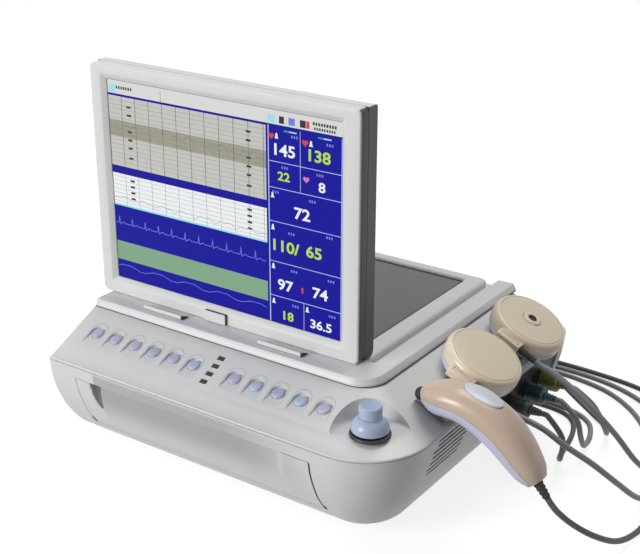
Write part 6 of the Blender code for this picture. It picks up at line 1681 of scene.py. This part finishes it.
@dataclass
class RecorderDoor:
    """The paper door across the front, which follows the hull and has a finger scoop.

    A station is a share of the door's width and the share of the scoop's depth there. An ear
    is its left side and the far end of its pin.
    """

    left: float = 30.0
    right: float = 280.0
    low: float = 28.0
    high: float = 82.5
    scoop_low: float = 45.0
    scoop_depth: float = 6.0
    thickness: float = 3.0
    pivot: tuple = (27.0, 38.0)
    stations: tuple = (
        (0.0, 0.0), (0.058, 0.0), (0.072, 0.3), (0.084, 0.8), (0.104, 1.0), (0.48, 1.0),
        (0.852, 1.0), (0.872, 0.8), (0.884, 0.3), (0.898, 0.0), (1.0, 0.0))
    ears: tuple = ((36.2, 31.8), (270.0, 278.2))

    def scoop(self, height: Points) -> Points:
        """Return the scoop's full depth: with s the share of its height, s squared times the
        root of 3 less 2 s."""
        s = np.clip((height - self.scoop_low) / (self.high - self.scoop_low), 0.0, 1.0)
        return self.scoop_depth * s * s * np.sqrt(3.0 - 2.0 * s)

    def build(self) -> list:
        """Build the door: sections across it, each the hull's curve plus the scoop's dip.

        Returns:
            The door.
        """
        table = np.array(self.stations)
        share = np.unique(np.concatenate((
            np.linspace(0.0, 0.05, 4), np.linspace(0.05, 0.112, 22),
            np.linspace(0.112, 0.845, 12), np.linspace(0.845, 0.905, 22),
            np.linspace(0.905, 1.0, 6))))
        dip = np.clip(smooth_table(table[:, 0], table[:, 1], share), 0.0, 1.0)
        z = np.linspace(self.low, self.high, 40)
        depth, base = self.scoop(z), hull_inset(z)
        rings = []
        for across, amount in zip(share, dip):
            x = np.full(len(z), self.left + (self.right - self.left) * across)
            outer = np.column_stack((x, base + depth * amount, z))
            rings.append(np.concatenate((outer, outer[::-1] + (0.0, self.thickness, 0.0))))
        door = carved(Shape().skin(rings).tool("door_panel"), [self.hinges()], Cut.ONTO)
        panel = Piece("door_panel", "recorder_door", Slot.HOUSING, ("recorder_door",), 0.25,
                      50.0, PAINTED_SHADE_ABS).dress(door)
        self.shadow(panel, share, dip)
        return [panel]

    def shadow(self, panel: Object, share: Points, dip: Points) -> None:
        """Paint shade into the scoop: its left end gets a grey of its own, and the painted shade
        rises smoothly with the height and falls away towards both ends.

        Args:
            panel: the door.
            share: places across it, as shares.
            dip: the share of the scoop's depth at each.
        """
        x, y, z = read_mm(panel.data.polygons, "center")
        along = (x - self.left) / (self.right - self.left)
        amount = np.interp(along, share, dip)
        sunk = self.scoop(z)
        outside = (y < hull_inset(z) + sunk * amount + 1.0) & (z < self.high - 0.3)
        end = outside & (along < 0.5) & (amount < 0.97) & (amount * sunk > 0.7)
        # Painted shade: the same plastic in a darker, duller grey where little light gets in
        mark_faces(panel, MouldedPlastic("scoop_end_painted_shade", "#6d6d6e", 0.5), end)
        x, y, z = read_mm(panel.data.vertices, "co")
        along = (x - self.left) / (self.right - self.left)
        lift = np.clip((z - 38.0) / (self.high - 12.0 - 38.0), 0.0, 1.0)
        fade = np.clip((1.0 - along) / 0.25, 0.0, 1.0) * np.clip((along - 0.09) / 0.01, 0.0, 1.0)
        # Painted shade from the rim's overhang, rising with the height
        set_shade(panel, 0.75 * lift * lift * (3.0 - 2.0 * lift) * fade)

    def hinges(self) -> Object:
        """Build the two ears and their pins as one joining tool.

        Returns:
            The tool.
        """
        ear = sideways(np.concatenate((
            [[20.8, 41.4], [20.8, 34.6]], arc(self.pivot, (3.4, 3.4), -90.0, 90.0, 20))))
        ears, pins = Shape(), Shape()
        for low, pin in self.ears:
            ears.prism(ear, (low, 0, 0), (low + 3.8, 0, 0))
            start, end = sorted((pin, low + 1.9))
            pins.turn([(0, start), (1.6, start), (1.6, end), (0, end)],
                      Frame((0, *self.pivot)).end_on(), 28)
        return carved(ears.tool("ears"), [pins.tool("pins")], Cut.ONTO)


# Probes, handset and plugs

def ribbed(start: float, end: float, first: float, last: float, ribs: int) -> Points:
    """Return a strain relief's profile: a taper with a raised cosine rib at each pitch.

    Args:
        start, end: its ends along the axis.
        first, last: its radii there.
        ribs: number of ribs.

    Returns:
        The (radius, height) points.
    """
    along = np.linspace(start, end, ribs * 10 + 1)
    share = (along - start) / (end - start)
    wave = 0.5 - 0.5 * np.cos(share * ribs * math.tau)
    radius = first + (last - first) * share - 0.55 * (1.0 - wave)
    return np.concatenate(([[0.0, start]], np.column_stack((radius, along)), [[0.0, end]]))


@dataclass
class Probe:
    """A round probe: beige upper shell, lavender lower shell, clip tab and strain relief.

    Its frame's origin is at the middle of its top. Profiles are (radius, height) points.
    """

    name: str
    sensing: bool = False
    top: tuple = (347.0, 130.0)
    crown_table: tuple = (
        (0.0, 0.0), (18.0, -0.35), (26.0, -0.9), (29.5, -1.3), (31.6, -1.75), (33.0, -2.7),
        (33.9, -4.4), (34.35, -7.2), (34.5, -12.3))
    cup_table: tuple = (
        (34.3, -13.1), (33.8, -16.5), (32.0, -20.0), (28.5, -22.8), (24.0, -24.0))
    button_seat: tuple = ((0.0, -5.0), (8.9, -5.0), (8.9, -0.6), (9.1, -0.25), (9.5, -0.14))
    groove: tuple = ((29.75, -1.35), (29.85, -1.55), (29.9, -2.1), (30.3, -2.15),
                     (30.35, -1.6), (30.45, -1.45))
    button: tuple = ((0.0, -1.6, 0), (3.4, -1.5, 1.0), (4.2, 0.9, 0.8), (5.4, 1.15, 1.0),
                     (7.9, 0.7, 0.8), (8.5, 0.0, 0.4), (8.5, -3.6, 0.3), (0, -3.6, 0))
    tab_slot: tuple = (((-9.0, -37.2), (9.0, -36.85)), ((-9.0, -41.0), (-8.65, -37.2)),
                       ((8.65, -41.0), (9.0, -37.2)))
    cable_exit: tuple = (0.0, -37.5, -8.8)
    relief_end: float = 29.3

    def frame(self) -> Frame:
        """Return the probe's frame, which leans with the wing.

        Returns:
            The frame, whose third axis is the probe's.
        """
        turn, rise = math.cos(WING_ANGLE), math.sin(WING_ANGLE)
        place = (self.top[0], PROBE_DEPTHS[self.name], self.top[1])
        return Frame(place, (turn, 0, -rise), (0, 1, 0), (rise, 0, turn))

    def start(self) -> tuple:
        """Return the point and direction where the cable leaves the strain relief."""
        frame = self.frame()
        return tuple(frame.carry(np.add(self.cable_exit, (self.relief_end, 0, 0)))), frame.across

    def crown(self) -> Points:
        """Return the upper shell's profile with its ring groove and any pocket for a button.

        Returns:
            The (radius, height) points.
        """
        path = smooth_path(np.array(self.crown_table), 110)
        if self.sensing:
            path = np.concatenate((self.button_seat, path[path[:, 0] > 9.6]))
        near, far = path[path[:, 0] < 29.6], path[path[:, 0] > 30.6]
        return np.concatenate((near, self.groove, far, [(34.35, -12.5), (0.0, -12.5)]))

    def tab(self, frame: Frame) -> Shape:
        """Return the clip tab: its edge is eased in two steps on both faces.

        Args:
            frame: the probe's frame.

        Returns:
            The tab's shape.
        """
        outer = rounded_rectangle(-12.0, 12.0, -43.0, -30.0, 1.6, 6)
        inner = rounded_rectangle(-11.4, 11.4, -42.4, -30.6, 1.2, 6)
        eased = inner + (outer - inner) * 0.7
        return Shape().skin([frame.carry(lifted(plan, height)) for plan, height in (
            (inner, -12.2), (eased, -12.0), (outer, -11.5), (outer, -5.7), (eased, -5.2),
            (inner, -5.0))])

    def build(self) -> list:
        """Build the probe.

        Returns:
            Crown, cup, tab, the tab's slot, strain relief and any sensing button.
        """
        frame = self.frame()
        side = smooth_path(np.array(self.cup_table), 26)
        cup = np.concatenate(([(0.0, -12.9), (34.1, -12.9)], side, [(0.0, -24.0)]))
        slot = Shape()
        for low, high in self.tab_slot:
            slot.box((*low, -5.2), (*high, -4.96), frame)
        relief = Frame(tuple(frame.carry(self.cable_exit)), frame.across, frame.along,
                       frame.up).end_on()
        pieces = [
            Piece(f"{self.name}_crown", self.name, Slot.BEIGE, (f"{self.name}_shell",),
                  angle=40.0).show(Shape().turn(self.crown(), frame, 144)),
            Piece(f"{self.name}_cup", self.name, Slot.LAVENDER, (f"{self.name}_base",),
                  angle=40.0).show(Shape().turn(cup, frame, 144)),
            Piece(f"{self.name}_tab", self.name, Slot.BEIGE, angle=40.0).show(self.tab(frame)),
            Piece(f"{self.name}_tab_slot", self.name, Slot.DARK).show(slot),
            Piece(f"{self.name}_relief", self.name, Slot.RUBBER_AND_PAINTED_SHADOW).show(
                Shape().turn(ribbed(11.0, 29.0, 3.6, 3.0, 6), relief, 40))]
        return pieces + ([self.sensor(frame)] if self.sensing else [])

    def sensor(self, frame: Frame) -> Object:
        """Build the sensing button: a dished top, dark inside a rounded lip.

        Args:
            frame: the probe's frame.

        Returns:
            The button.
        """
        obj = Piece("sensing_button", "probe_sensor", Slot.BEIGE, ("probe_sensor",),
                    angle=40.0).show(Shape().turn(filleted(self.button, 6), frame, 96))
        offset = read_mm(obj.data.polygons, "center").T - frame.place
        lift = offset @ np.array(frame.up)
        radius = np.linalg.norm(offset - lift[:, None] * frame.up, axis=1)
        mark_faces(obj, FINISHES[Slot.DARK], (radius < 4.0) & (lift > -2.5))
        return obj


@dataclass
class Handset:
    """The curved hand control: two shells, black tip, oval button and strain relief.

    A row of its table is, as shares of its length, a place along it, the middle line's rise,
    the height above and below that line, and the half width.
    """

    length: float = 100.0
    start: tuple = (333.0, 89.5, 120.5)
    table: tuple = (
        (0.00, 0.000, 0.075, 0.070, 0.085), (0.05, 0.010, 0.105, 0.105, 0.125),
        (0.13, 0.017, 0.128, 0.130, 0.158), (0.23, 0.023, 0.142, 0.128, 0.176),
        (0.34, 0.020, 0.152, 0.128, 0.182), (0.46, -0.010, 0.160, 0.132, 0.182),
        (0.58, -0.060, 0.166, 0.140, 0.180), (0.69, -0.130, 0.168, 0.142, 0.176),
        (0.80, -0.230, 0.158, 0.135, 0.166), (0.89, -0.330, 0.140, 0.120, 0.150),
        (0.96, -0.405, 0.115, 0.100, 0.125), (1.00, -0.453, 0.080, 0.070, 0.090))
    button_row: int = 5
    button_crown: float = 16.0
    relief_end: float = 15.3

    def half(self, sign: float, swell: float = 0.0) -> Shape:
        """Return a shell: D-shaped sections whose width and rise are the cosine and sine to
        the power 0.8, carried along the middle line.

        Args:
            sign: 1 for the upper shell and -1 for the lower.
            swell: added to the height and the width.

        Returns:
            The shell's shape.
        """
        table = np.array(self.table)
        wanted = np.linspace(0.0, 1.0, 56)
        rise, above, below, wide = smooth_table(table[:, 0], table[:, 1:] * self.length, wanted).T
        zero = np.zeros(len(wanted))
        line = np.column_stack((self.length * wanted, zero, rise)) + self.start
        run = unit(np.gradient(line, axis=0))
        up = np.column_stack((-run[:, 2], zero, run[:, 0]))
        angle = np.linspace(0.0, math.pi, 31)
        across = np.sign(np.cos(angle)) * np.abs(np.cos(angle)) ** 0.8
        bulge = np.clip(np.sin(angle), 0.0, None) ** 0.8
        height = (above if sign > 0 else below) + swell
        side = np.array([0.0, 1.0, 0.0])
        rings = (line[:, None, :] + across[None, :, None] * (wide + swell)[:, None, None] * side
                 + sign * (bulge[None, :] * height[:, None] + 0.15)[..., None] * up[:, None, :])
        return Shape().skin(list(rings))

    def frame(self, row: int) -> Frame:
        """Return the frame of one row of the table: its first axis joins the neighbours.

        Args:
            row: the row's number, where -1 is the last.

        Returns:
            The frame.
        """
        places = np.array(self.table)[:, :2] * self.length
        last = len(places) - 1
        row = row % len(places)
        ahead = places[min(row + 1, last)] - places[max(row - 1, 0)]
        run = unit(np.array([ahead[0], 0.0, ahead[1]]))
        place = np.array(self.start) + (places[row, 0], 0.0, places[row, 1])
        return Frame(tuple(place), tuple(run), (0.0, 1.0, 0.0), (-run[2], 0.0, run[0]))

    def cable_start(self) -> tuple:
        """Return the point and direction where the cable leaves the strain relief."""
        end = self.frame(-1)
        return tuple(np.array(end.place) + np.array(end.across) * self.relief_end), end.across

    def oval(self, frame: Frame, long: float, wide: float, low: float, high: float) -> Shape:
        """Return an oval block standing on a frame.

        Args:
            frame: the frame.
            long, wide: its half widths.
            low, high: its heights.

        Returns:
            The block's shape.
        """
        ring = arc((0, 0), (long, wide), 0.0, 360.0, 64)[:-1]
        return Shape().skin([frame.carry(lifted(ring, low)), frame.carry(lifted(ring, high))])

    def build(self) -> list:
        """Build the handset.

        Returns:
            Top, underside, strain relief, nose and button cap.
        """
        relief = self.frame(-1).end_on()
        button = self.frame(self.button_row)
        place = np.array(button.place) + np.array(button.up) * self.button_crown
        seat = Frame(tuple(place), button.across, button.along, button.up)
        pocket = self.oval(seat, 17.4, 8.9, -5.1, 10.0)
        bore = Shape().turn([(0, -4.8), (4.8, -4.8), (4.8, 15), (0, 15)], relief, 40)
        upper = carved(self.half(1.0).tool("handset_top"),
                       [pocket.tool("button_pocket"), bore.tool("relief_bore")])
        tip = self.frame(0)
        ahead = np.array(tip.across)
        nose = Frame(tuple(np.array(tip.place) - ahead * 0.3), tip.along, tip.up, tuple(-ahead))
        dome = np.concatenate((arc((0, 3.6), (5.6, 5.6), 90.0, 0.0, 20),
                               [(5.9, 0.0), (0.0, 0.0)]))
        # Coated tan plastic: deeper than the probes', with a sharper highlight down its back
        satin = MouldedPlastic("handset_abs", "#cdb6a1", 0.33, coat=0.25)
        pieces = [
            Piece("handset_top", "handset", Slot.BEIGE, ("handset_upper",), 0.3, 45.0,
                  satin).dress(upper),
            Piece("handset_underside", "handset", Slot.LAVENDER, ("handset_lower",), 0.3,
                  60.0).show(self.half(-1.0)),
            Piece("handset_relief", "handset", Slot.RUBBER_AND_PAINTED_SHADOW).show(
                Shape().turn(ribbed(-3.0, 15.0, 4.6, 3.2, 5), relief, 40)),
            Piece("handset_nose", "handset", Slot.RUBBER_AND_PAINTED_SHADOW, ("handset_tip",), angle=50.0).show(
                Shape().turn(dome, nose, 64))]
        skin = self.half(1.0, 1.6).tool("button_skin")
        cap = carved(self.oval(seat, 17.0, 8.5, -3.7, 10.0).tool("handset_button_cap"), [skin],
                     Cut.WITHIN)
        # Pearly plastic: the button stands out bright and smooth
        pearl = MouldedPlastic("button_pearl", "#dfe4ec", 0.3)
        return pieces + [
            Piece("handset_button_cap", "handset_button", Slot.LAVENDER, ("handset_button",),
                  0.7, 50.0, pearl).dress(cap)]


@dataclass
class Plug:
    """A round cable plug with grip rings, a collar and a tapered, ribbed neck."""

    name: str
    slot: Slot

    def build(self) -> list:
        """Build the plug, turned about the axis of its socket: the grip's radius steps up and
        down at a pitch of 1.7 mm.

        Returns:
            The plug.
        """
        frame = Frame((SOCKET_FACE, PLUG_DEPTHS[self.name], SOCKET_HEIGHT)).end_on()
        along = np.linspace(3.2, 13.4, 52)
        grip = 7.75 + 0.25 * np.sign(np.sin((along - 3.2) * math.tau / 1.7))
        body = np.concatenate((
            [(0.0, 0.0), (7.4, 0.0), (8.0, 0.5), (8.0, 3.0)],
            np.column_stack((grip, along)),
            [(7.9, 13.8), (7.9, 15.6), (7.2, 17.2), (6.0, 17.9), (0.0, 18.0)]))
        neck = ribbed(17.6, PLUG_REACH, 4.4, 3.2, 4)
        piece = Piece(f"{self.name}_connector", "base", self.slot, (f"{self.name}_plug",))
        return [piece.show(Shape().turn(body, frame, 72).turn(neck, frame, 48))]


# Cables, whose routes are listed and start from the body's rear right corner

FRONT_OUT = (
    (37.6, -198.5, 104), (63.6, -199, 99), (82.6, -197, 89), (101.6, -186, 74), (115.6, -164, 50),
    (121.6, -134, 24), (119.6, -104, 7), (117.6, -76, 2.9), (109.6, -16, 2.9), (85.6, 34, 2.9),
    (45.6, 69, 2.9), (-4.4, 86, 2.9), (-74.4, 88, 2.9), (-106.4, 84, 2.9))
FRONT_BACK = (
    (-109.4, 14, 30), (-79.4, 12.5, 8), (-49.4, 12.5, 2.9), (-4.4, 11, 2.9), (23.6, -2, 2.9),
    (36.6, -26, 2.9), (42.6, -54, 8), (47.6, -76, 28), (46.6, -87, 51))
REAR_OUT = (
    (32.6, -113, 103.5), (53.6, -113, 92), (74.6, -112.5, 77), (92.6, -109, 59), (103.6, -96, 36),
    (105.6, -70, 14), (101.6, -46, 4.5), (95.6, -26, 2.9), (77.6, 9, 2.9), (50.6, 42, 2.9),
    (15.6, 66, 2.9), (-24.4, 76, 2.9))
REAR_BACK = (
    (-34.4, 22, 35), (-4.4, 20, 16), (19.6, 14, 5), (40.6, -1, 3.5), (51.6, -24, 10),
    (54.6, -44, 30), (49.6, -58, 53))
HANDSET_OUT = (
    (97.6, -235, 53), (107.6, -229, 43), (119.6, -214, 29), (128.6, -188, 13), (132.6, -158, 4.5),
    (133.6, -126, 2.9), (132.6, -66, 2.9), (123.6, -1, 2.9), (95.6, 54, 2.9), (50.6, 87, 2.9),
    (-9.4, 98, 2.9), (-94.4, 98, 2.9), (-164.4, 92, 2.9))
HANDSET_BACK = (
    (-176.4, 12, 20), (-144.4, 5.5, 4.5), (-114.4, 5, 2.9), (-54.4, 5, 2.9), (-9.4, 3, 2.9),
    (11.6, -10, 2.9), (22.6, -36, 2.9), (29.6, -76, 4), (40.6, -102, 18), (46.6, -116, 46))


@dataclass
class Cable:
    """A cable: from its strain relief round to a coil behind the housing, and on to its plug.

    Its line is one smooth spline. Between route points the tangent at a point is half the way
    between its neighbours; the coil's points have the tangents of a circle.
    """

    name: str
    start: tuple
    out: tuple
    coil: tuple
    turns: int
    back: tuple
    finish: Finish
    bend: tuple
    radius: float = 2.5
    coil_radius: float = 27.5
    pitch: float = 5.8
    base: float = 2.9
    turn_points: int = 20

    def line(self) -> tuple:
        """Return the spline: route out, coil and route back.

        Returns:
            Its points, their left handles and their right handles, shape (n, 3) each.
        """
        first, heading = np.array(self.start[0], float), unit(np.array(self.start[1]))
        centre = CORNER + (self.coil[0], self.coil[1], 0.0)
        turn = np.arange(int((self.turns + 0.5) * self.turn_points) + 1) / self.turn_points
        angle = math.tau * turn + math.pi / 2.0
        circle = np.column_stack((
            centre[0] + self.coil_radius * np.cos(angle),
            centre[1] + self.coil_radius * np.sin(angle), self.base + self.pitch * turn))
        slope = self.pitch / (math.tau * self.coil_radius)
        tangent = np.column_stack((-np.sin(angle), np.cos(angle), np.full(len(angle), slope)))
        reach = 4.0 / 3.0 * math.tan(math.tau / (4.0 * self.turn_points)) * self.coil_radius
        step = np.array([5.0, 0.0, 0.0])
        end = np.array([SOCKET_FACE + PLUG_REACH + 0.3, PLUG_DEPTHS[self.name], SOCKET_HEIGHT])
        inward, leave = circle[0] + step, circle[-1] + step
        out = np.vstack((first, first + heading * 5.0, CORNER + np.array(self.out),
                         inward + step, inward))
        back = np.vstack((leave, leave + step, CORNER + np.array(self.back), end + step, end))
        left, right = circle - tangent * reach, circle + tangent * reach
        left[0] = circle[0] + step / 3.0
        right[-1] = circle[-1] + step / 3.0
        runs = (self.handles(out), (circle, left, right), self.handles(back))
        return tuple(np.vstack(parts) for parts in zip(*runs))

    @staticmethod
    def handles(points: Points) -> tuple:
        """Give route points handles a sixth of the way between their neighbours; the first and
        the last run are straight.

        Args:
            points: the route.

        Returns:
            The points, their left handles and their right handles.
        """
        side = np.zeros_like(points)
        side[1:-1] = (points[2:] - points[:-2]) / 6.0
        left, right = points - side, points + side
        first, last = (points[1] - points[0]) / 3.0, (points[-1] - points[-2]) / 3.0
        left[0], right[0], left[1] = points[0] - first, points[0] + first, points[1] - first
        right[-2], left[-1], right[-1] = points[-2] + last, points[-1] - last, points[-1] + last
        return points, left, right

    def tube(self, name: str, points: Points, left: Points, right: Points) -> Object:
        """Return the tube round a spline as a mesh.

        Args:
            name: its name.
            points, left, right: the spline, in metres.

        Returns:
            The tube.
        """
        curve = bpy.data.curves.new(name, "CURVE")
        curve.dimensions = "3D"
        curve.bevel_depth = self.radius * MM
        curve.bevel_resolution = 4
        curve.resolution_u = 6
        curve.use_fill_caps = True
        knots = curve.splines.new("BEZIER").bezier_points
        knots.add(len(points) - 1)
        knots.foreach_set("co", points.ravel())
        for knot in knots:
            knot.handle_left_type = "FREE"
            knot.handle_right_type = "FREE"
        knots.foreach_set("handle_left", left.ravel())
        knots.foreach_set("handle_right", right.ravel())
        curve.materials.append(material_of(self.finish))
        line = linked(name, curve)
        mesh = evaluated_mesh(line)
        bpy.data.objects.remove(line)
        return linked(name, mesh)

    def build(self) -> list:
        """Returns:
            The cable.
        """
        points, left, right = ((part - ORIGIN) * MM for part in self.line())
        name = f"{self.name}_cable"
        obj = self.tube(name, points, left, right)
        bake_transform(obj)
        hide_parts(*(f"{name}_{part}" for part in ("out", "coil", "back")))
        t = np.linspace(0.0, 1.0, 13)[None, :, None]
        a, b, c, d = (v[:, None, :] for v in (points[:-1], right[:-1], left[1:], points[1:]))
        path = (a * (1 - t) ** 3 + 3 * b * t * (1 - t) ** 2 + 3 * c * t**2 * (1 - t) + d * t**3)
        path = np.vstack((points[:1], path[:, 1:].reshape(-1, 3)))
        return [obj]


# Inside, underneath and round about

@dataclass
class Fittings:
    """The carried-over solids: each keeps its shape and gets its finish."""

    nodes: dict
    finishes: tuple = (
        (FINISHES[Slot.STEEL], ("tilt_bracket_left", "tilt_bracket_right", "knob_shaft")),
        (FINISHES[Slot.BOARD], ("key_board", "main_board")),
        (FINISHES[Slot.DARK], ("indicator_bar", "encoder_body", "recorder_frame", "print_head",
                               "mains_inlet", "connector_panel")),
        (FINISHES[Slot.RUBBER_AND_PAINTED_SHADOW], ("foot_rail_left", "foot_rail_right", "platen_roller")),
        (FINISHES[Slot.PAPER], ("paper_pack",)),
        (FINISHES[Slot.GLOSS], ("cradle_floor",)),
        (FINISHES[Slot.SCREEN], ("screen_panel",)),
        # The rack is real; its dull mid grey is painted shadow under the probes and handset
        (MouldedPlastic("rack_abs_painted_shadow", "#8e8f91", 0.5), ("probe_rack",)))
    pins: tuple = ((54.0, 39.5), (60.5, 45.0), (67.0, 39.5))

    def build(self) -> list:
        """Dress the carried-over solids and add the inlet's pins.

        Returns:
            The pins.
        """
        for finish, names in self.finishes:
            material = material_of(finish)
            for node in (self.nodes[name] for name in names):
                if not node.material_slots:
                    node.data.materials.append(material)
                for holder in node.material_slots:
                    holder.material = material
        pins = Shape()
        for x, z in self.pins:
            pins.box((x - 1.0, 309.0, z - 2.4), (x + 1.0, 320.0, z + 2.4))
        return [Piece("inlet_pins", "base", Slot.STEEL, (), 0.25).show(pins)]


def seen_level(tree: bpy.types.NodeTree, low: float, high: float) -> bpy.types.NodeSocket:
    """Return a level that is high for rays from the camera, off gloss and through glass.

    Args:
        tree: the nodes to add it to.
        low: the level for all other rays.
        high: the level for those.

    Returns:
        The socket that gives it.
    """
    rays = add_node(tree, "ShaderNodeLightPath").outputs
    seen = add_node(tree, "ShaderNodeMath", {
        0: rays["Is Camera Ray"], 1: rays["Is Glossy Ray"]}, operation="MAXIMUM")
    through = add_node(tree, "ShaderNodeMath", {
        0: seen.outputs["Value"], 1: rays["Is Transmission Ray"]}, operation="MAXIMUM")
    return add_node(tree, "ShaderNodeMapRange", {
        "Value": through.outputs["Value"], "To Min": low, "To Max": high}).outputs["Result"]


@dataclass(frozen=True)
class StudioFloor(Finish):
    """A matt sheet. It looks white to the camera and in gloss, and lights the object little."""

    colour: str = "#a2a2a1"

    def build(self) -> bpy.types.Material:
        """Build the sheet: it gives off white light only to rays that show it.

        Returns:
            The material.
        """
        material, tree, shader = self.start()
        wire(tree, shader, {
            "Base Color": linear(self.colour), "Roughness": 0.9, "Specular IOR Level": 0.1,
            "Emission Color": (1.0, 1.0, 1.0, 1.0),
            "Emission Strength": seen_level(tree, 0.0, 0.82)})
        return material


@dataclass
class Studio:
    """Camera, lamps, floor and the air round them.

    The camera's angles are in degrees. A lamp is its place in metres, its power in watts and
    its side in metres.
    """

    place: tuple = (772.415, -692.318, 590.282)
    yaw: float = 34.743
    pitch: float = 22.478
    roll: float = 0.099
    lens: float = 71.069
    target: tuple = (0.05, 0.0, 0.12)
    lamps: tuple = (("key_lamp", (-1.1, -2.35, 0.9), 46.0, 1.1),
                    ("top_lamp", (-0.1, 0.9, 2.6), 32.0, 1.6))
    floor_reach: float = 9e3

    @staticmethod
    def stand(obj: Object, axes: tuple, place: Points) -> None:
        """Place an object: its matrix has its three axes and its place as columns.

        Args:
            obj: the object.
            axes: its three axes.
            place: its place in metres.
        """
        matrix = np.eye(4)
        matrix[:3] = np.column_stack((*axes, place))
        obj.matrix_world = Matrix(matrix.tolist())

    def camera(self) -> None:
        """Make the camera: its axes are turned by yaw, then pitch, then roll."""
        yaw, pitch, roll = np.radians((self.yaw, self.pitch, self.roll))
        ahead = np.array([-math.sin(yaw) * math.cos(pitch), math.cos(yaw) * math.cos(pitch),
                          -math.sin(pitch)])
        right = np.array([math.cos(yaw), math.sin(yaw), 0.0])
        up = np.cross(right, ahead)
        data = bpy.data.cameras.new("camera")
        data.lens = self.lens
        data.sensor_width = 36.0
        data.clip_start = 0.02
        data.clip_end = 60.0
        obj = linked("camera", data)
        self.stand(obj, (math.cos(roll) * right + math.sin(roll) * up,
                         math.cos(roll) * up - math.sin(roll) * right, -ahead),
                   (np.array(self.place) - ORIGIN) * MM)
        bpy.context.scene.camera = obj

    def lamp(self, name: str, place: tuple, power: float, size: float) -> None:
        """Make a square soft lamp that faces the object's middle.

        Args:
            name: its name.
            place: where it stands.
            power: its power.
            size: its side.
        """
        data = bpy.data.lights.new(name, "AREA")
        data.energy = power
        data.size = size
        back = unit(np.array(place) - np.array(self.target))
        side = unit(np.cross([0.0, 0.0, 1.0], back))
        self.stand(linked(name, data), (side, np.cross(back, side), back), place)

    def build(self) -> None:
        """Make the lamps, the world and the floor."""
        for lamp in self.lamps:
            self.lamp(*lamp)
        world = bpy.data.worlds.new("studio")
        world.use_nodes = True
        tree = world.node_tree
        wire(tree, tree.nodes["Background"], {
            "Color": (1.0, 1.0, 1.0, 1.0), "Strength": seen_level(tree, 0.2, 1.0)})
        bpy.context.scene.world = world
        bpy.context.scene.view_settings.view_transform = "Standard"
        square = np.array([[-1, -1, 0], [1, -1, 0], [1, 1, 0], [-1, 1, 0]]) * self.floor_reach
        floor = Shape().add(square + ORIGIN, [(0, 1, 2, 3)]).tool("floor")
        floor.data.materials.append(material_of(StudioFloor("matt_studio_floor")))


def main() -> None:
    """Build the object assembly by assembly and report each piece."""
    logging.basicConfig(level=logging.INFO, format="%(name)s: %(message)s")
    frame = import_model()
    studio = Studio()
    studio.camera()
    front, rear, handset = Probe("front_probe"), Probe("rear_probe", True), Handset()
    grey = FINISHES[Slot.CABLE]
    # Darker jacket with the same even highlight
    dark = MouldedPlastic("cable_pvc_dark", "#4a4b4e", 0.48, 0.7, 0.01)
    assemblies = (
        Plug("handset", Slot.DARK), Plug("front_probe", Slot.TEAL),
        Plug("rear_probe", Slot.OLIVE),
        Cable("front_probe", front.start(), FRONT_OUT, (-139.4, 50.0), 6, FRONT_BACK, grey,
              (-30.0, 62.0)),
        Cable("rear_probe", rear.start(), REAR_OUT, (-69.4, 50.0), 6, REAR_BACK, grey,
              (52.0, 100.0)),
        Cable("handset", handset.cable_start(), HANDSET_OUT, (-209.4, 50.0), 4, HANDSET_BACK,
              dark, (-68.0, 36.0)),
        LowerHousing(), UpperHousing(), Platform(), Cradle(), Display(), Controls(),
        RecorderDoor(), front, rear, handset, Fittings(frame["nodes"]))
    count = 0
    for assembly in assemblies:
        made = assembly.build()
        LOG.info("%s: %s", type(assembly).__name__, ", ".join(obj.name for obj in made))
        count += len(made)
    studio.build()
    LOG.info("%d pieces are in place", count)


if __name__ == "__main__":
    main()
